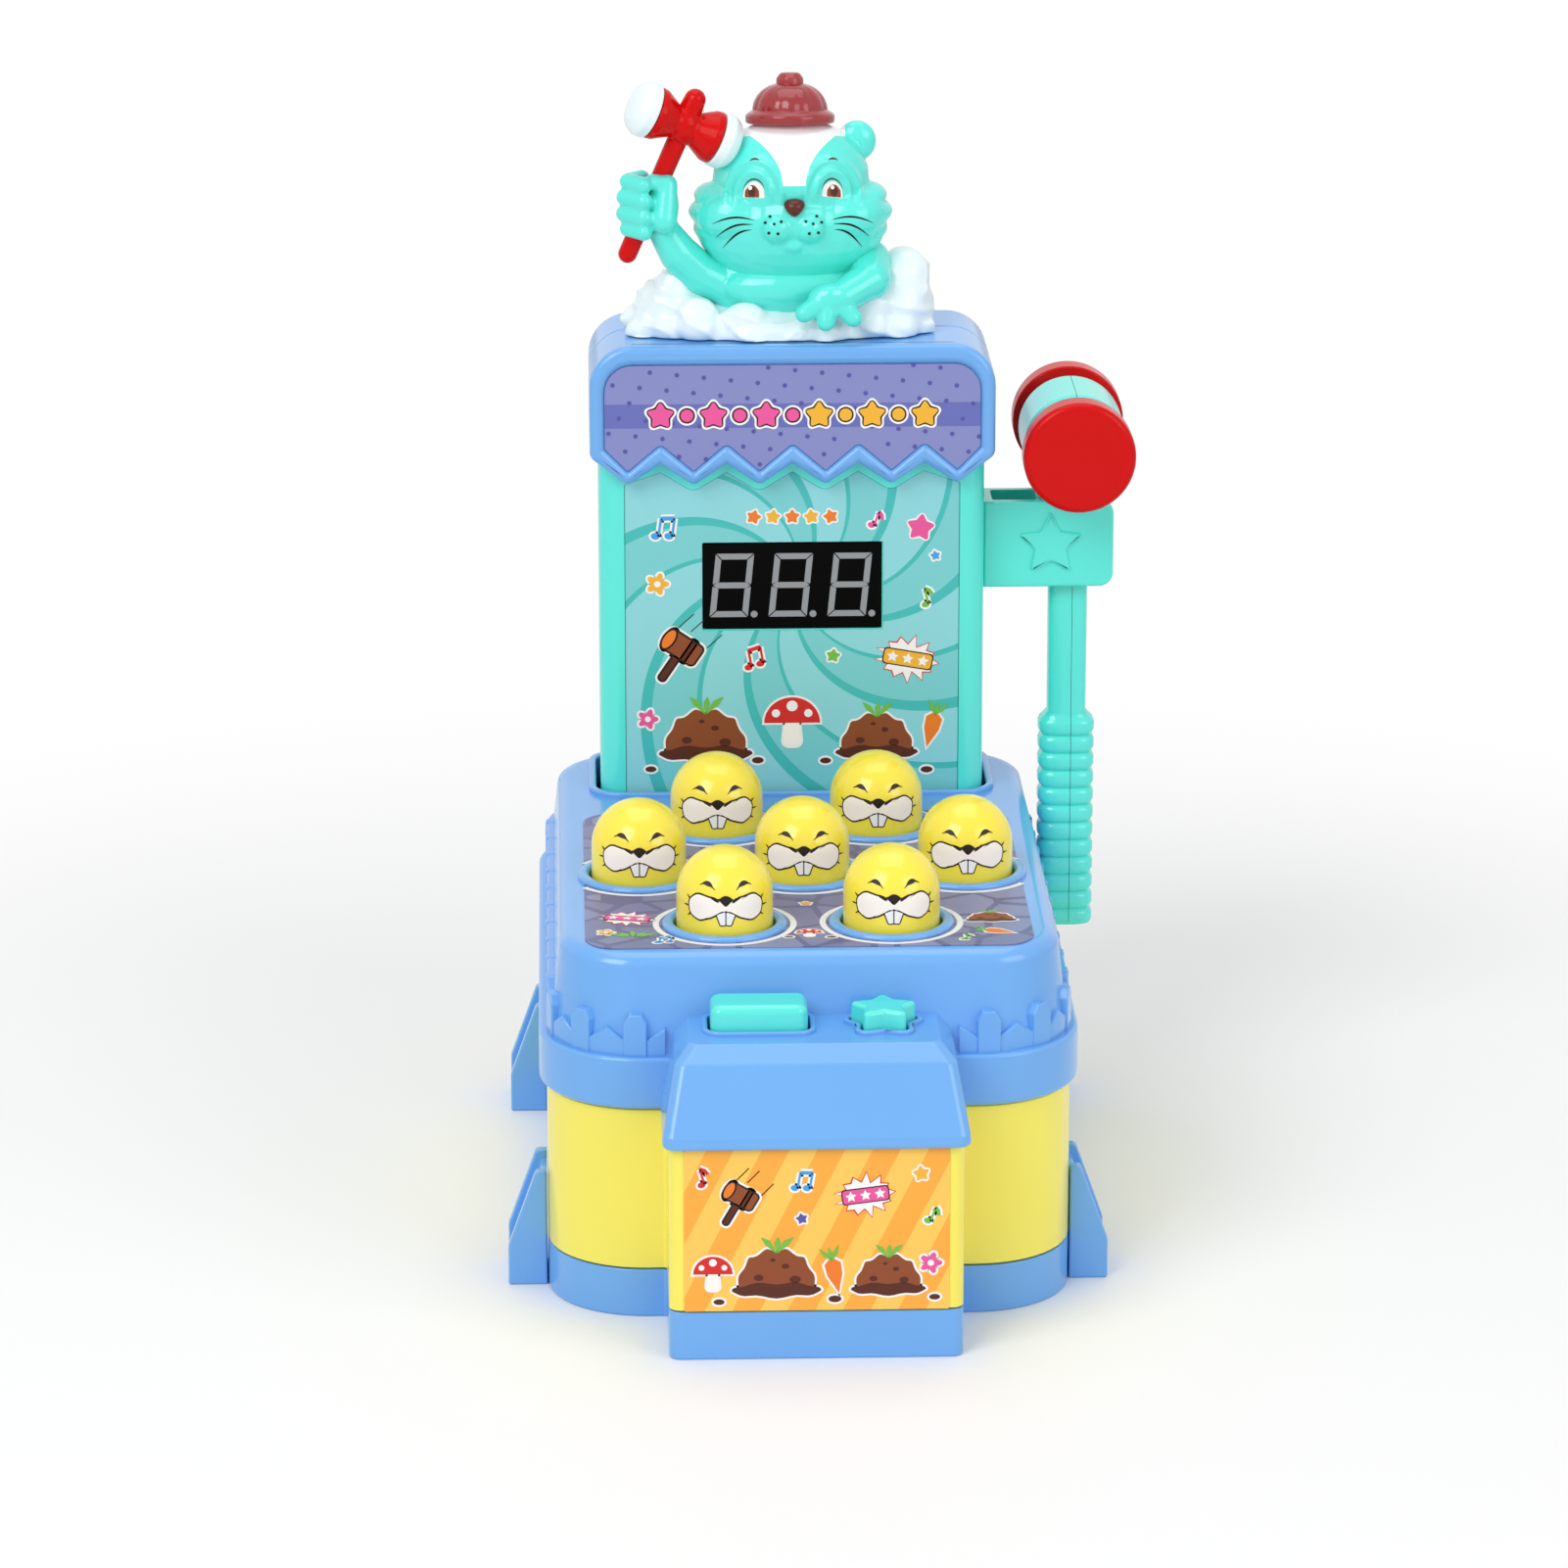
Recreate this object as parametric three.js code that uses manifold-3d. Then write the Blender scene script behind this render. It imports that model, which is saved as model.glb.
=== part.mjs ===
// Tabletop mole pounding game, a small battery arcade toy. A low cabinet carries seven sprung domes,
// a score tower stands behind them under a marquee with a pennant edge, a gopher with a lamp for a hat
// rises from a mound on top, and a hammer hangs in a holder on the tower.
// Millimetres, +Z up. The front faces -Y. The origin is on the underside, below the middle of the toy.

import * as THREE from 'three';
import { mergeVertices } from 'three/addons/utils/BufferGeometryUtils.js';
import Module from 'manifold-3d';

const wasm = await Module();
wasm.setup();

// Fits and thicknesses that all pieces share
const seatGap = 0.3; // left between pieces that rest on or beside each other
const runningGap = 0.5; // round a piece that slides in its hole
const overrun = 1; // how far a cutting solid runs past the face that it cuts
const wall = 2; // moulded wall of the casings
const labelThickness = 0.4;
const minFillet = 0.4;
const weldGap = 0.0001;
const screwRadius = 1.2;
const screwHeadRadius = 2.6;
const screwHeadHeight = 1.8;

// Mole field, which sets the size of the cabinet
const molePitch = 33.8; // across
const rowPitch = 33.4; // front to back
const moleSideMargin = 19.4; // outer mole to the yellow wall
const frontRowSetback = 23.4; // front wall to the front row
const moleRadius = 9.8;
const moleDomeHeight = 7.4; // centre of the dome above the ring
const moleShell = 1.6;
const moleFlange = 2.2;
const moleSkirt = 3.2;
const moleCeiling = 3.5; // roof of the hollow above the deck
const ringWidth = 2.4;
const ringHeight = 1.2;
const springRadius = 5;
const springWire = 1.1;

// Cabinet, from the floor up
const bodyCorner = 20;
const trayHeight = 10.1;
const wallHeight = 34.5;
const rimHeight = 10.9;
const rimProud = 1.5;
const rimRound = 1.3;
const ledge = 2.2;
const deckRise = 20;
const deckLean = 3.4;
const deckRound = 3.4;
const deckLabelMargin = 0.5;
const paleWidth = 4.8;
const paleHeight = 8.6;
const paleProud = 0.9;
const palePitch = 11.9;
const bossRadius = 3.4;
const bossInset = 10.2; // screw bosses from the outer wall
const rearBossSetback = 30.5;
const screwLength = 18;

// Console at the front, with its cover and buttons
const consoleWidth = 58.6;
const consoleReach = 24.3;
const consoleCorner = 2.5;
const coverSideLip = 1.3;
const coverFrontLip = 2;
const coverRise = 7.9; // cover top above the rim
const coverSlopeSide = 2.7;
const coverSlopeFront = 6.5;
const coverChamferSide = 3;
const coverChamferFront = 3.9;
const coverChamferDrop = 3.2;
const buttonSetback = 4.8; // middle of the buttons in front of the yellow wall
const modeButtonRise = 5.6;
const startButtonRise = 4.4;
const buttonTravel = 1.5;
const modeButtonWidth = 19.4;
const modeButtonDepth = 10.6;
const modeButtonX = -10.9;
const buttonFillet = 2;
const startButtonRadius = 6.4;
const startButtonX = 14;
const buttonCollar = 1.2;
const buttonCollarHeight = 0.9;
const buttonFlange = 0.7;
const boardThickness = 1.6;
const tactSide = 6;
const tactHeight = 3.6;
const consoleLabelMargin = 3;

// Feet that reach out at the sides
const footReach = 8.2;
const footHeight = 24.5;
const footToe = 8.4;
const footDepth = 15.6;
const footPlate = 2.2;
const footWebInset = 1.6;
const footRadius = 1.6;
const frontFootSetback = 18.8;
const rearFootSetback = 28;

// Score tower
const towerSideMargin = 12;
const towerStandoff = 25; // back row of moles to the tower
const towerDepth = 29;
const towerRearMargin = 9.5;
const towerCorner = 4.6;
const towerPlug = 17; // how far the tower reaches into the marquee
const recessGap = 0.9;
const recessLip = 1.5;
const recessLipHeight = 1.1;
const towerFlange = 1.2;
const towerFlangeThickness = 2;
const towerLabelMargin = 5.4;
const towerLabelDepth = 0.6;
const seamGap = 0.2;
const displayWidth = 37.8;
const displayHeight = 18.6;
const displayDepth = 8;
const displayRise = 37; // lower edge of the display above the deck

// Marquee
const marqueeRise = 99.6; // marquee top above the deck
const marqueeHeight = 29.1; // top to the tips of the pennants
const marqueeProud = 1.8;
const marqueeFace = 4;
const marqueeCorner = 9;
const marqueeFrame = 3.1;
const marqueeLabelDepth = 1.2;
const pennantCount = 6;
const pennantDepth = 4.7;
const pennantSideRise = 6;
const pennantMargin = 1;
const mitreShare = 1.35; // a drawn-in pennant rises by this much of its inset

// Hammer and its holder
const holderReach = 28.2;
const holderHeight = 19;
const holderDepth = 12.6;
const holderDrop = 37.3; // holder top below the marquee top
const holderSetback = 8.4; // holder front behind the tower front
const holderFillet = 3;
const holderWall = 1.6;
const holderStarRadius = 7;
const holderStarHeight = 0.8;
const holderStarX = 14.6;
const hammerOffset = 19.7; // handle centre from the tower side
const gripWidth = 11;
const gripDepth = 9.6;
const gripLength = 47.2;
const ribCount = 12;
const ribDepth = 0.8;
const handleWidth = 8.2;
const handleDepth = 7;
const handleLength = 96.6; // holder top to the end of the grip
const headLength = 42;
const headRadius = 12;
const barrelRadius = 11.2;
const barrelNeck = 9.6;
const barrelTaper = 5;
const barrelLift = 1.2; // barrel above the foot of the collar
const capLength = 7;
const capRound = 1.6;
const capPlug = 3;
const barrelWall = 1.8;
const collarWidth = 15.6;
const collarDepth = 10.6;

// Figure on the marquee
const moundWidth = 67;
const moundDepth = 27.5;
const moundHeight = 17;
const moundOffset = -2.5;
const moundForward = 0.5;
const figureBack = 16.2; // middle of the figure behind the marquee front
const headWidth = 37;
const headDepth = 27;
const headHeight = 33;
const chinRise = 11.6; // chin above the marquee top
const cheekRadius = 9.4;
const earRadius = 4.6;
const muzzleRadius = 6.6;
const torsoWidth = 41;
const torsoDepth = 20;
const torsoHeight = 25;
const torsoSetback = 1;
const armRadius = 4.2;
const fistRadius = 5.6;
const fingerRadius = 1.9;
const malletRadius = 1.9;
const malletHeadRadius = 5;
const malletHeadLength = 15;
const malletEndLength = 5;
const malletEndRadius = 5.7;
const lampRadius = 9.5;
const lampBrim = 2.6;
const lampDomeRadius = 8;
const lampSink = 1.5; // brim of the lamp below the crown of the head
const lampKnobRadius = 2.6;
const lampWall = 1.2;
const ledRadius = 2.4;

// Inside the cabinet and on its underside
const gameBoardDrop = 22; // board top below the deck
const boardMargin = 8.2;
const switchPostRadius = 2.4;
const switchPostHeight = 5;
const batteryRadius = 7.1;
const batteryLength = 50.2;
const batteryNubRadius = 2.6;
const batteryNubLength = 1.2;
const batteryCount = 3;
const batteryBayFront = 21;
const doorThickness = 1.6;
const doorRecess = 0.4;
const doorLedge = 2;
const doorScrewLength = 5;
const speakerRadius = 14;
const speakerHeight = 8;
const speakerX = -27;
const speakerY = -32;
const grilleSlot = 2;
const grilleCount = 5;
const switchX = 26;
const switchRise = 18; // switch above the tray
const switchKnob = 4;
const switchProud = 1.1;
const switchTravel = 3;
const switchPlateWidth = 14;
const switchPlateHeight = 9;

// How finely round shapes are cut
const cornerSteps = 6;
const arcSteps = 3; // three.js cuts a drawn arc into twice as many
const filletSteps = 2;
const holeSteps = 16;
const smallSteps = 8;
const ballSteps = 12;

// Levels
const wallBase = trayHeight;
const rimBase = wallBase + wallHeight;
const rimTop = rimBase + rimHeight;
const deckTop = rimTop + deckRise;
const deckUnderside = deckTop - wall;
const coverTop = rimTop + coverRise;
const marqueeTop = deckTop + marqueeRise;
const pennantTip = marqueeTop - marqueeHeight;
const holderTop = marqueeTop - holderDrop;
const boardTop = deckTop - gameBoardDrop;

// Plan, worked out from the mole field
const bodyHalf = molePitch + moleSideMargin;
const bodyDepth = frontRowSetback + 2 * rowPitch + towerStandoff + towerDepth + towerRearMargin;
const bodyFront = (consoleReach - bodyDepth - rimProud) / 2;
const bodyRear = bodyFront + bodyDepth;
const consoleFront = bodyFront - consoleReach;
const frontRow = bodyFront + frontRowSetback;
const middleRow = frontRow + rowPitch;
const backRow = middleRow + rowPitch;
const towerFront = backRow + towerStandoff;
const towerRear = towerFront + towerDepth;
const towerHalf = bodyHalf - towerSideMargin;
const towerMiddle = (towerFront + towerRear) / 2;
const marqueeHalf = towerHalf + marqueeProud;
const marqueeFront = towerFront - marqueeFace;
const marqueeRear = towerRear + marqueeProud;
const moleHole = moleRadius + runningGap;
const colours = {
  blue: 0x6aaaeb, yellow: 0xf7ea60, turquoise: 0x5ce6d6, red: 0xd71414, white: 0xe1faff, purple: 0x7f86c6,
  teal: 0x78cdcd, orange: 0xfdc85a, deckPrint: 0x77779c, black: 0x0a0a0a, board: 0x2f7d46, steel: 0xb9bcc0,
  lens: 0xc34b4b, cell: 0x40444a,
};

// Solids

// A closed solid of a geometry, with its corners welded and its faces turned outward.
function solid(geometry) {
  const bare = new THREE.BufferGeometry();
  bare.setAttribute('position', geometry.getAttribute('position'));
  if (geometry.index) bare.setIndex(geometry.index);
  const welded = mergeVertices(bare, weldGap);
  const place = welded.getAttribute('position');
  const corners = [];
  let volume = 0;
  for (let i = 0; i < welded.index.count; i += 3) {
    const [a, b, c] = [0, 1, 2].map((k) => welded.index.getX(i + k));
    if (a === b || b === c || c === a) continue;
    corners.push(a, b, c);
    const [p, q, r] = [a, b, c].map((k) => new THREE.Vector3().fromBufferAttribute(place, k));
    volume += p.dot(q.cross(r));
  }
  if (volume < 0) corners.reverse();
  return new wasm.Manifold(new wasm.Mesh({
    numProp: 3,
    vertProperties: new Float32Array(place.array),
    triVerts: new Uint32Array(corners),
  }));
}

function box(x0, x1, y0, y1, z0, z1) {
  const geometry = new THREE.BoxGeometry(x1 - x0, y1 - y0, z1 - z0);
  return solid(geometry.translate((x0 + x1) / 2, (y0 + y1) / 2, (z0 + z1) / 2));
}

// A shape drawn in X and Y, pulled up from z0 to z1.
function riser(shape, z0, z1, curveSegments = arcSteps) {
  const geometry = new THREE.ExtrudeGeometry(shape, { depth: z1 - z0, bevelEnabled: false, curveSegments });
  return solid(geometry.translate(0, 0, z0));
}

// A shape drawn in X and Z, pulled back from y0 to y1.
function slab(shape, y0, y1, curveSegments = arcSteps) {
  const geometry = new THREE.ExtrudeGeometry(shape, { depth: y1 - y0, bevelEnabled: false, curveSegments });
  return solid(geometry.rotateX(Math.PI / 2).translate(0, y1, 0));
}

// A profile of [radius, height] pairs turned about the Z axis.
function turned(profile, steps = holeSteps) {
  const points = profile.map(([radius, height]) => new THREE.Vector2(radius, height));
  return solid(new THREE.LatheGeometry(points, steps).rotateX(Math.PI / 2));
}

function disc(radius, z0, z1, steps = holeSteps) {
  return turned([[0, z0], [radius, z0], [radius, z1], [0, z1]], steps);
}

function ball(x, y, z, radiusX, radiusY = radiusX, radiusZ = radiusX, steps = ballSteps) {
  const geometry = new THREE.SphereGeometry(1, steps, Math.round(steps * 0.6));
  return solid(geometry.rotateX(Math.PI / 2).scale(radiusX, radiusY, radiusZ).translate(x, y, z));
}

// A round bar between two points, with a radius at each end and rounded ends.
function limb(from, to, fromRadius, toRadius = fromRadius, steps = smallSteps) {
  const along = to.clone().sub(from);
  const reach = along.length();
  const roundShare = 0.7;
  const points = [[0, -fromRadius], [fromRadius * roundShare, -fromRadius * roundShare], [fromRadius, 0],
    [toRadius, reach], [toRadius * roundShare, reach + toRadius * roundShare], [0, reach + toRadius]]
    .map(([radius, height]) => new THREE.Vector2(radius, height));
  const geometry = new THREE.LatheGeometry(points, steps);
  const turn = new THREE.Quaternion().setFromUnitVectors(new THREE.Vector3(0, 1, 0), along.normalize());
  return solid(geometry.applyQuaternion(turn).translate(from.x, from.y, from.z));
}

// Rings of equal count joined one above the other, closed by a fan at each end.
function loft(rings) {
  const count = rings[0].length;
  const points = rings.flat();
  const corners = [];
  for (let level = 0; level + 1 < rings.length; level += 1) {
    for (let i = 0; i < count; i += 1) {
      const a = level * count + i;
      const b = level * count + (i + 1) % count;
      corners.push(a, b, b + count, a, b + count, a + count);
    }
  }
  const last = (rings.length - 1) * count;
  for (let i = 1; i + 1 < count; i += 1) {
    corners.push(0, i + 1, i);
    corners.push(last, last + i, last + i + 1);
  }
  const geometry = new THREE.BufferGeometry().setFromPoints(points);
  geometry.setIndex(corners);
  return solid(geometry);
}

// A level ring of a rectangle with round corners.
function planRing(half, front, rear, radius, z) {
  const round = Math.max(radius, minFillet);
  const centres = [[half - round, front + round], [half - round, rear - round],
    [round - half, rear - round], [round - half, front + round]];
  return centres.flatMap(([x, y], corner) => Array.from({ length: cornerSteps + 1 }, (_, step) => {
    const angle = (corner - 1 + step / cornerSteps) * Math.PI / 2;
    return new THREE.Vector3(x + round * Math.cos(angle), y + round * Math.sin(angle), z);
  }));
}

function roundedShape(x0, x1, y0, y1, radius) {
  const round = Math.max(radius, minFillet);
  const shape = new THREE.Shape();
  shape.absarc(x1 - round, y0 + round, round, -Math.PI / 2, 0);
  shape.absarc(x1 - round, y1 - round, round, 0, Math.PI / 2);
  shape.absarc(x0 + round, y1 - round, round, Math.PI / 2, Math.PI);
  shape.absarc(x0 + round, y0 + round, round, Math.PI, Math.PI * 1.5);
  return shape;
}

function polygon(points) {
  return new THREE.Shape(points.map(([x, y]) => new THREE.Vector2(x, y)));
}

// A five-pointed star with one point toward +Y of its drawing.
function star(x, y, radius, innerShare = 0.56) {
  return polygon(Array.from({ length: 10 }, (_, i) => {
    const reach = i % 2 ? radius * innerShare : radius;
    const angle = Math.PI / 2 + i * Math.PI / 5;
    return [x + reach * Math.cos(angle), y + reach * Math.sin(angle)];
  }));
}

const joined = (...solids) => solids.reduce((sum, next) => sum.add(next));
const cut = (body, ...tools) => tools.reduce((rest, tool) => rest.subtract(tool), body);

// Outlines that several pieces share

// The cabinet with its console, drawn in by an inset.
function footprint(inset) {
  const half = bodyHalf - inset;
  const front = bodyFront + inset;
  const rear = bodyRear - inset;
  const corner = bodyCorner - inset;
  const consoleHalf = consoleWidth / 2 - inset;
  const consoleY = consoleFront + inset;
  const small = Math.max(consoleCorner - inset, minFillet);
  const shape = new THREE.Shape();
  shape.moveTo(consoleHalf, front);
  shape.lineTo(half - corner, front);
  shape.absarc(half - corner, front + corner, corner, -Math.PI / 2, 0);
  shape.absarc(half - corner, rear - corner, corner, 0, Math.PI / 2);
  shape.absarc(corner - half, rear - corner, corner, Math.PI / 2, Math.PI);
  shape.absarc(corner - half, front + corner, corner, Math.PI, Math.PI * 1.5);
  shape.lineTo(-consoleHalf, front);
  shape.absarc(small - consoleHalf, consoleY + small, small, Math.PI, Math.PI * 1.5);
  shape.absarc(consoleHalf - small, consoleY + small, small, -Math.PI / 2, 0);
  return shape;
}

function towerPlan(outset) {
  return roundedShape(-towerHalf - outset, towerHalf + outset, towerFront - outset, towerRear + outset,
    towerCorner + outset);
}

// The face of the marquee with its pennant edge, drawn in by an inset.
function pennantFace(inset) {
  const half = marqueeHalf - inset;
  const round = Math.max(marqueeCorner - inset, minFillet);
  const lift = inset * mitreShare;
  const pitch = (marqueeHalf - pennantMargin) * 2 / pennantCount;
  const shape = new THREE.Shape();
  shape.absarc(half - round, marqueeTop - inset - round, round, 0, Math.PI / 2);
  shape.absarc(round - half, marqueeTop - inset - round, round, Math.PI / 2, Math.PI);
  shape.lineTo(-half, pennantTip + pennantSideRise + inset);
  for (let i = 0; i < pennantCount; i += 1) {
    const tipX = pennantMargin - marqueeHalf + (i + 0.5) * pitch;
    if (i > 0) shape.lineTo(tipX - pitch / 2, pennantTip + pennantDepth + lift);
    shape.lineTo(tipX, pennantTip + lift);
  }
  shape.lineTo(half, pennantTip + pennantSideRise + inset);
  return shape;
}

// The print on the tower, whose top follows the pennants above it.
function towerLabelShape(clearance) {
  const half = towerHalf - towerLabelMargin - clearance;
  const base = deckTop + clearance;
  const pitch = (marqueeHalf - pennantMargin) * 2 / pennantCount;
  const tip = pennantTip - pennantDepth * 0.7 - clearance;
  const shape = new THREE.Shape();
  shape.moveTo(-half, base);
  shape.lineTo(half, base);
  shape.lineTo(half, tip + pennantDepth * 0.6);
  for (let i = pennantCount - 2; i > 0; i -= 1) {
    const tipX = pennantMargin - marqueeHalf + (i + 0.5) * pitch;
    shape.lineTo(tipX + pitch / 2, tip + pennantDepth);
    shape.lineTo(tipX, tip);
  }
  shape.lineTo(1.5 * pitch + pennantMargin - marqueeHalf - pitch / 2, tip + pennantDepth);
  shape.lineTo(-half, tip + pennantDepth * 0.6);
  return shape;
}

const displayBase = deckTop + displayRise;
const displayHole = (clearance) => box(-displayWidth / 2 - clearance, displayWidth / 2 + clearance,
  towerFront - overrun, towerFront + wall + overrun, displayBase - clearance,
  displayBase + displayHeight + clearance);

const moles = [
  [-molePitch / 2, frontRow], [molePitch / 2, frontRow],
  [-molePitch, middleRow], [0, middleRow], [molePitch, middleRow],
  [-molePitch / 2, backRow], [molePitch / 2, backRow],
];

const screwPlaces = [-1, 1].flatMap((side) => [
  [side * (bodyHalf - bossInset), bodyFront + bossInset + rimProud],
  [side * (bodyHalf - wall - seatGap - bossRadius), bodyRear - rearBossSetback],
]);

// Cabinet

const bayRear = batteryBayFront + batteryCount * (2 * batteryRadius + seatGap) + seatGap;
const bayHalf = batteryLength / 2 + batteryNubLength + 2 * seatGap;
const doorTop = doorRecess + doorThickness;
const bayTop = doorTop + 2 * batteryRadius + 2 * seatGap;

const doorScrewY = batteryBayFront - doorLedge;
const lugRadius = screwHeadRadius + wall / 2;
const lugTop = doorRecess + screwHeadHeight + wall / 2;

function batteryBay() {
  return box(-bayHalf - wall, bayHalf + wall, batteryBayFront - wall, bayRear + wall, 0, bayTop + wall);
}

function batteryBayHollow() {
  return box(-bayHalf, bayHalf, batteryBayFront, bayRear, -overrun, bayTop);
}

function doorRecessCut() {
  return box(-bayHalf - doorLedge - seatGap, bayHalf + doorLedge + seatGap,
    batteryBayFront - doorLedge - seatGap, bayRear + doorLedge + seatGap, -overrun, doorTop + seatGap);
}

function speakerGrille(z0, z1) {
  return Array.from({ length: grilleCount }, (_, i) => {
    const y = speakerY + (i - (grilleCount - 1) / 2) * 2 * grilleSlot;
    const half = speakerRadius * 0.62;
    return box(speakerX - half, speakerX + half, y - grilleSlot / 2, y + grilleSlot / 2, z0, z1);
  });
}

function baseTray() {
  const floorTop = doorTop + seatGap + wall;
  const outer = riser(footprint(0), 0, trayHeight);
  const hollow = riser(footprint(wall), floorTop - wall, trayHeight + overrun);
  const posts = screwPlaces.map(([x, y]) => disc(bossRadius, wall / 2, trayHeight, smallSteps)
    .translate(x, y, 0));
  const ledgeFrame = box(-bayHalf - wall - doorLedge, bayHalf + wall + doorLedge,
    batteryBayFront - wall - doorLedge, bayRear + wall + doorLedge, 0, floorTop);
  const doorPost = disc(lugRadius + wall, wall / 2, trayHeight).translate(0, doorScrewY, 0);
  const body = joined(cut(outer, hollow), ledgeFrame, batteryBay(), doorPost, ...posts);
  const holes = screwPlaces.flatMap(([x, y]) => [
    disc(screwHeadRadius + seatGap, -overrun, screwHeadHeight + 2 * seatGap, smallSteps).translate(x, y, 0),
    disc(screwRadius + seatGap, -overrun, trayHeight + overrun, smallSteps).translate(x, y, 0),
  ]);
  const doorHole = joined(disc(screwRadius + runningGap, -overrun, trayHeight + overrun, smallSteps),
    disc(lugRadius + seatGap, -overrun, lugTop + seatGap, holeSteps)).translate(0, doorScrewY, 0);
  return cut(body, batteryBayHollow(), doorRecessCut(), doorHole, ...holes,
    ...speakerGrille(-overrun, floorTop));
}

function bodyShell() {
  const z0 = wallBase + seatGap;
  const z1 = rimBase - seatGap;
  const shell = cut(riser(footprint(0), z0, z1), riser(footprint(wall), z0 - overrun, z1 + overrun));
  const z = wallBase + switchRise;
  const halfSlot = (switchKnob + switchTravel) / 2 + runningGap;
  const slot = box(switchX - halfSlot, switchX + halfSlot, bodyRear - wall - overrun, bodyRear + overrun,
    z - switchKnob / 2 - runningGap, z + switchKnob / 2 + runningGap);
  return cut(shell, slot);
}

function deckRing(inset, z) {
  return planRing(bodyHalf + rimProud - inset, bodyFront - rimProud + inset, bodyRear + rimProud - inset,
    bodyCorner + rimProud - inset, z);
}

function deckBody() {
  const lean = ledge + deckLean;
  const rings = [deckRing(rimRound, rimBase), deckRing(0, rimBase + rimRound), deckRing(0, rimTop),
    deckRing(ledge, rimTop)];
  for (let i = 0; i <= 3; i += 1) {
    const angle = i / 3 * Math.PI / 2;
    const drop = deckRound * (1 - Math.sin(angle));
    rings.push(deckRing(lean + deckRound * (1 - Math.cos(angle)), deckTop - drop));
  }
  return loft(rings);
}

function deckHollow() {
  return loft([deckRing(wall, rimBase - overrun), deckRing(wall, rimTop - wall),
    deckRing(wall + ledge, rimTop), deckRing(wall + ledge + deckLean, deckTop - deckRound),
    deckRing(ledge + deckLean + deckRound, deckUnderside)]);
}

function coverRing(side, front, z) {
  const rear = bodyFront + ledge + deckLean;
  return planRing(consoleWidth / 2 + coverSideLip - side, consoleFront - coverFrontLip + front, rear,
    consoleCorner, z);
}

function coverBody() {
  const sideIn = coverSlopeSide + coverChamferSide;
  const frontIn = coverSlopeFront + coverChamferFront;
  return loft([coverRing(rimRound / 2, rimRound / 2, rimBase), coverRing(0, 0, rimBase + rimRound),
    coverRing(coverSlopeSide, coverSlopeFront, coverTop - coverChamferDrop),
    coverRing(sideIn, frontIn, coverTop)]);
}

function coverHollow() {
  const sideIn = coverSlopeSide + coverChamferSide;
  const frontIn = coverSlopeFront + coverChamferFront;
  return loft([coverRing(wall, wall, rimBase - overrun), coverRing(wall, wall, rimBase + rimRound),
    coverRing(wall + coverSlopeSide, wall + coverSlopeFront, coverTop - coverChamferDrop - wall / 2),
    coverRing(wall / 2 + sideIn, wall / 2 + frontIn, coverTop - wall)]);
}

const buttonY = bodyFront - buttonSetback;
const ribX = (modeButtonX + modeButtonWidth / 2 + startButtonX - startButtonRadius) / 2;
const modeButtonShape = (grow) => roundedShape(modeButtonX - modeButtonWidth / 2 - grow,
  modeButtonX + modeButtonWidth / 2 + grow, buttonY - modeButtonDepth / 2 - grow,
  buttonY + modeButtonDepth / 2 + grow, buttonFillet + grow);
const startButtonShape = (grow) => star(startButtonX, buttonY, startButtonRadius + 1.3 * grow);

// A low ring with a rounded crown round each mole.
function moleRing(x, y) {
  const inner = moleHole;
  const outer = moleHole + ringWidth;
  const base = deckTop - wall / 2;
  const crown = deckTop + ringHeight;
  return turned([[inner, base], [outer, base], [outer, crown - ringHeight / 2],
    [outer - ringWidth / 2, crown], [inner, crown - ringHeight / 4], [inner, base]]).translate(x, y, 0);
}

// A pale of the low fence that stands on the rim against the leaning wall of the deck.
function pale({ x, y, angle }) {
  const half = paleWidth / 2;
  const base = rimTop - wall / 2;
  const shoulder = rimTop + paleHeight * 0.8;
  const shape = polygon([[-half, base], [half, base], [half, shoulder], [half * 0.4, rimTop + paleHeight],
    [-half * 0.4, rimTop + paleHeight], [-half, shoulder]]);
  const turn = THREE.MathUtils.radToDeg(angle);
  return slab(shape, -paleProud, wall * 1.2).rotate([0, 0, turn]).translate(x, y, 0);
}

// The line that the fence follows, from the middle of the front round to the middle of the rear
const fenceInset = ledge - rimProud;
const fenceHalf = bodyHalf - fenceInset;
const fenceCorner = bodyCorner - fenceInset;
const fenceFront = bodyFront + fenceInset;
const fenceRear = bodyRear - fenceInset;
const fenceFlat = fenceHalf - fenceCorner;
const fenceQuarter = fenceCorner * Math.PI / 2;
const fenceSide = fenceRear - fenceFront - 2 * fenceCorner;

// The place on that line at a distance from its start, on the side toward +X.
function alongFence(distance) {
  let rest = distance;
  if (rest < fenceFlat) return { x: rest, y: fenceFront, angle: 0 };
  rest -= fenceFlat;
  if (rest < fenceQuarter) {
    const angle = rest / fenceCorner;
    const y = fenceFront + fenceCorner * (1 - Math.cos(angle));
    return { x: fenceFlat + fenceCorner * Math.sin(angle), y, angle };
  }
  rest -= fenceQuarter;
  if (rest < fenceSide) return { x: fenceHalf, y: fenceFront + fenceCorner + rest, angle: Math.PI / 2 };
  rest -= fenceSide;
  if (rest < fenceQuarter) {
    const angle = rest / fenceCorner + Math.PI / 2;
    const y = fenceRear - fenceCorner * (1 + Math.cos(angle));
    return { x: fenceFlat + fenceCorner * Math.sin(angle), y, angle };
  }
  return { x: fenceFlat - (rest - fenceQuarter), y: fenceRear, angle: Math.PI };
}

function fence() {
  const start = consoleWidth / 2 + coverSideLip + paleWidth;
  const end = 2 * (fenceFlat + fenceQuarter) + fenceSide;
  const count = Math.floor((end - start) / palePitch) + 1;
  return Array.from({ length: count }, (_, i) => alongFence(start + i * palePitch)).flatMap((place) =>
    [pale(place), pale({ x: -place.x, y: place.y, angle: -place.angle })]);
}

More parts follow.
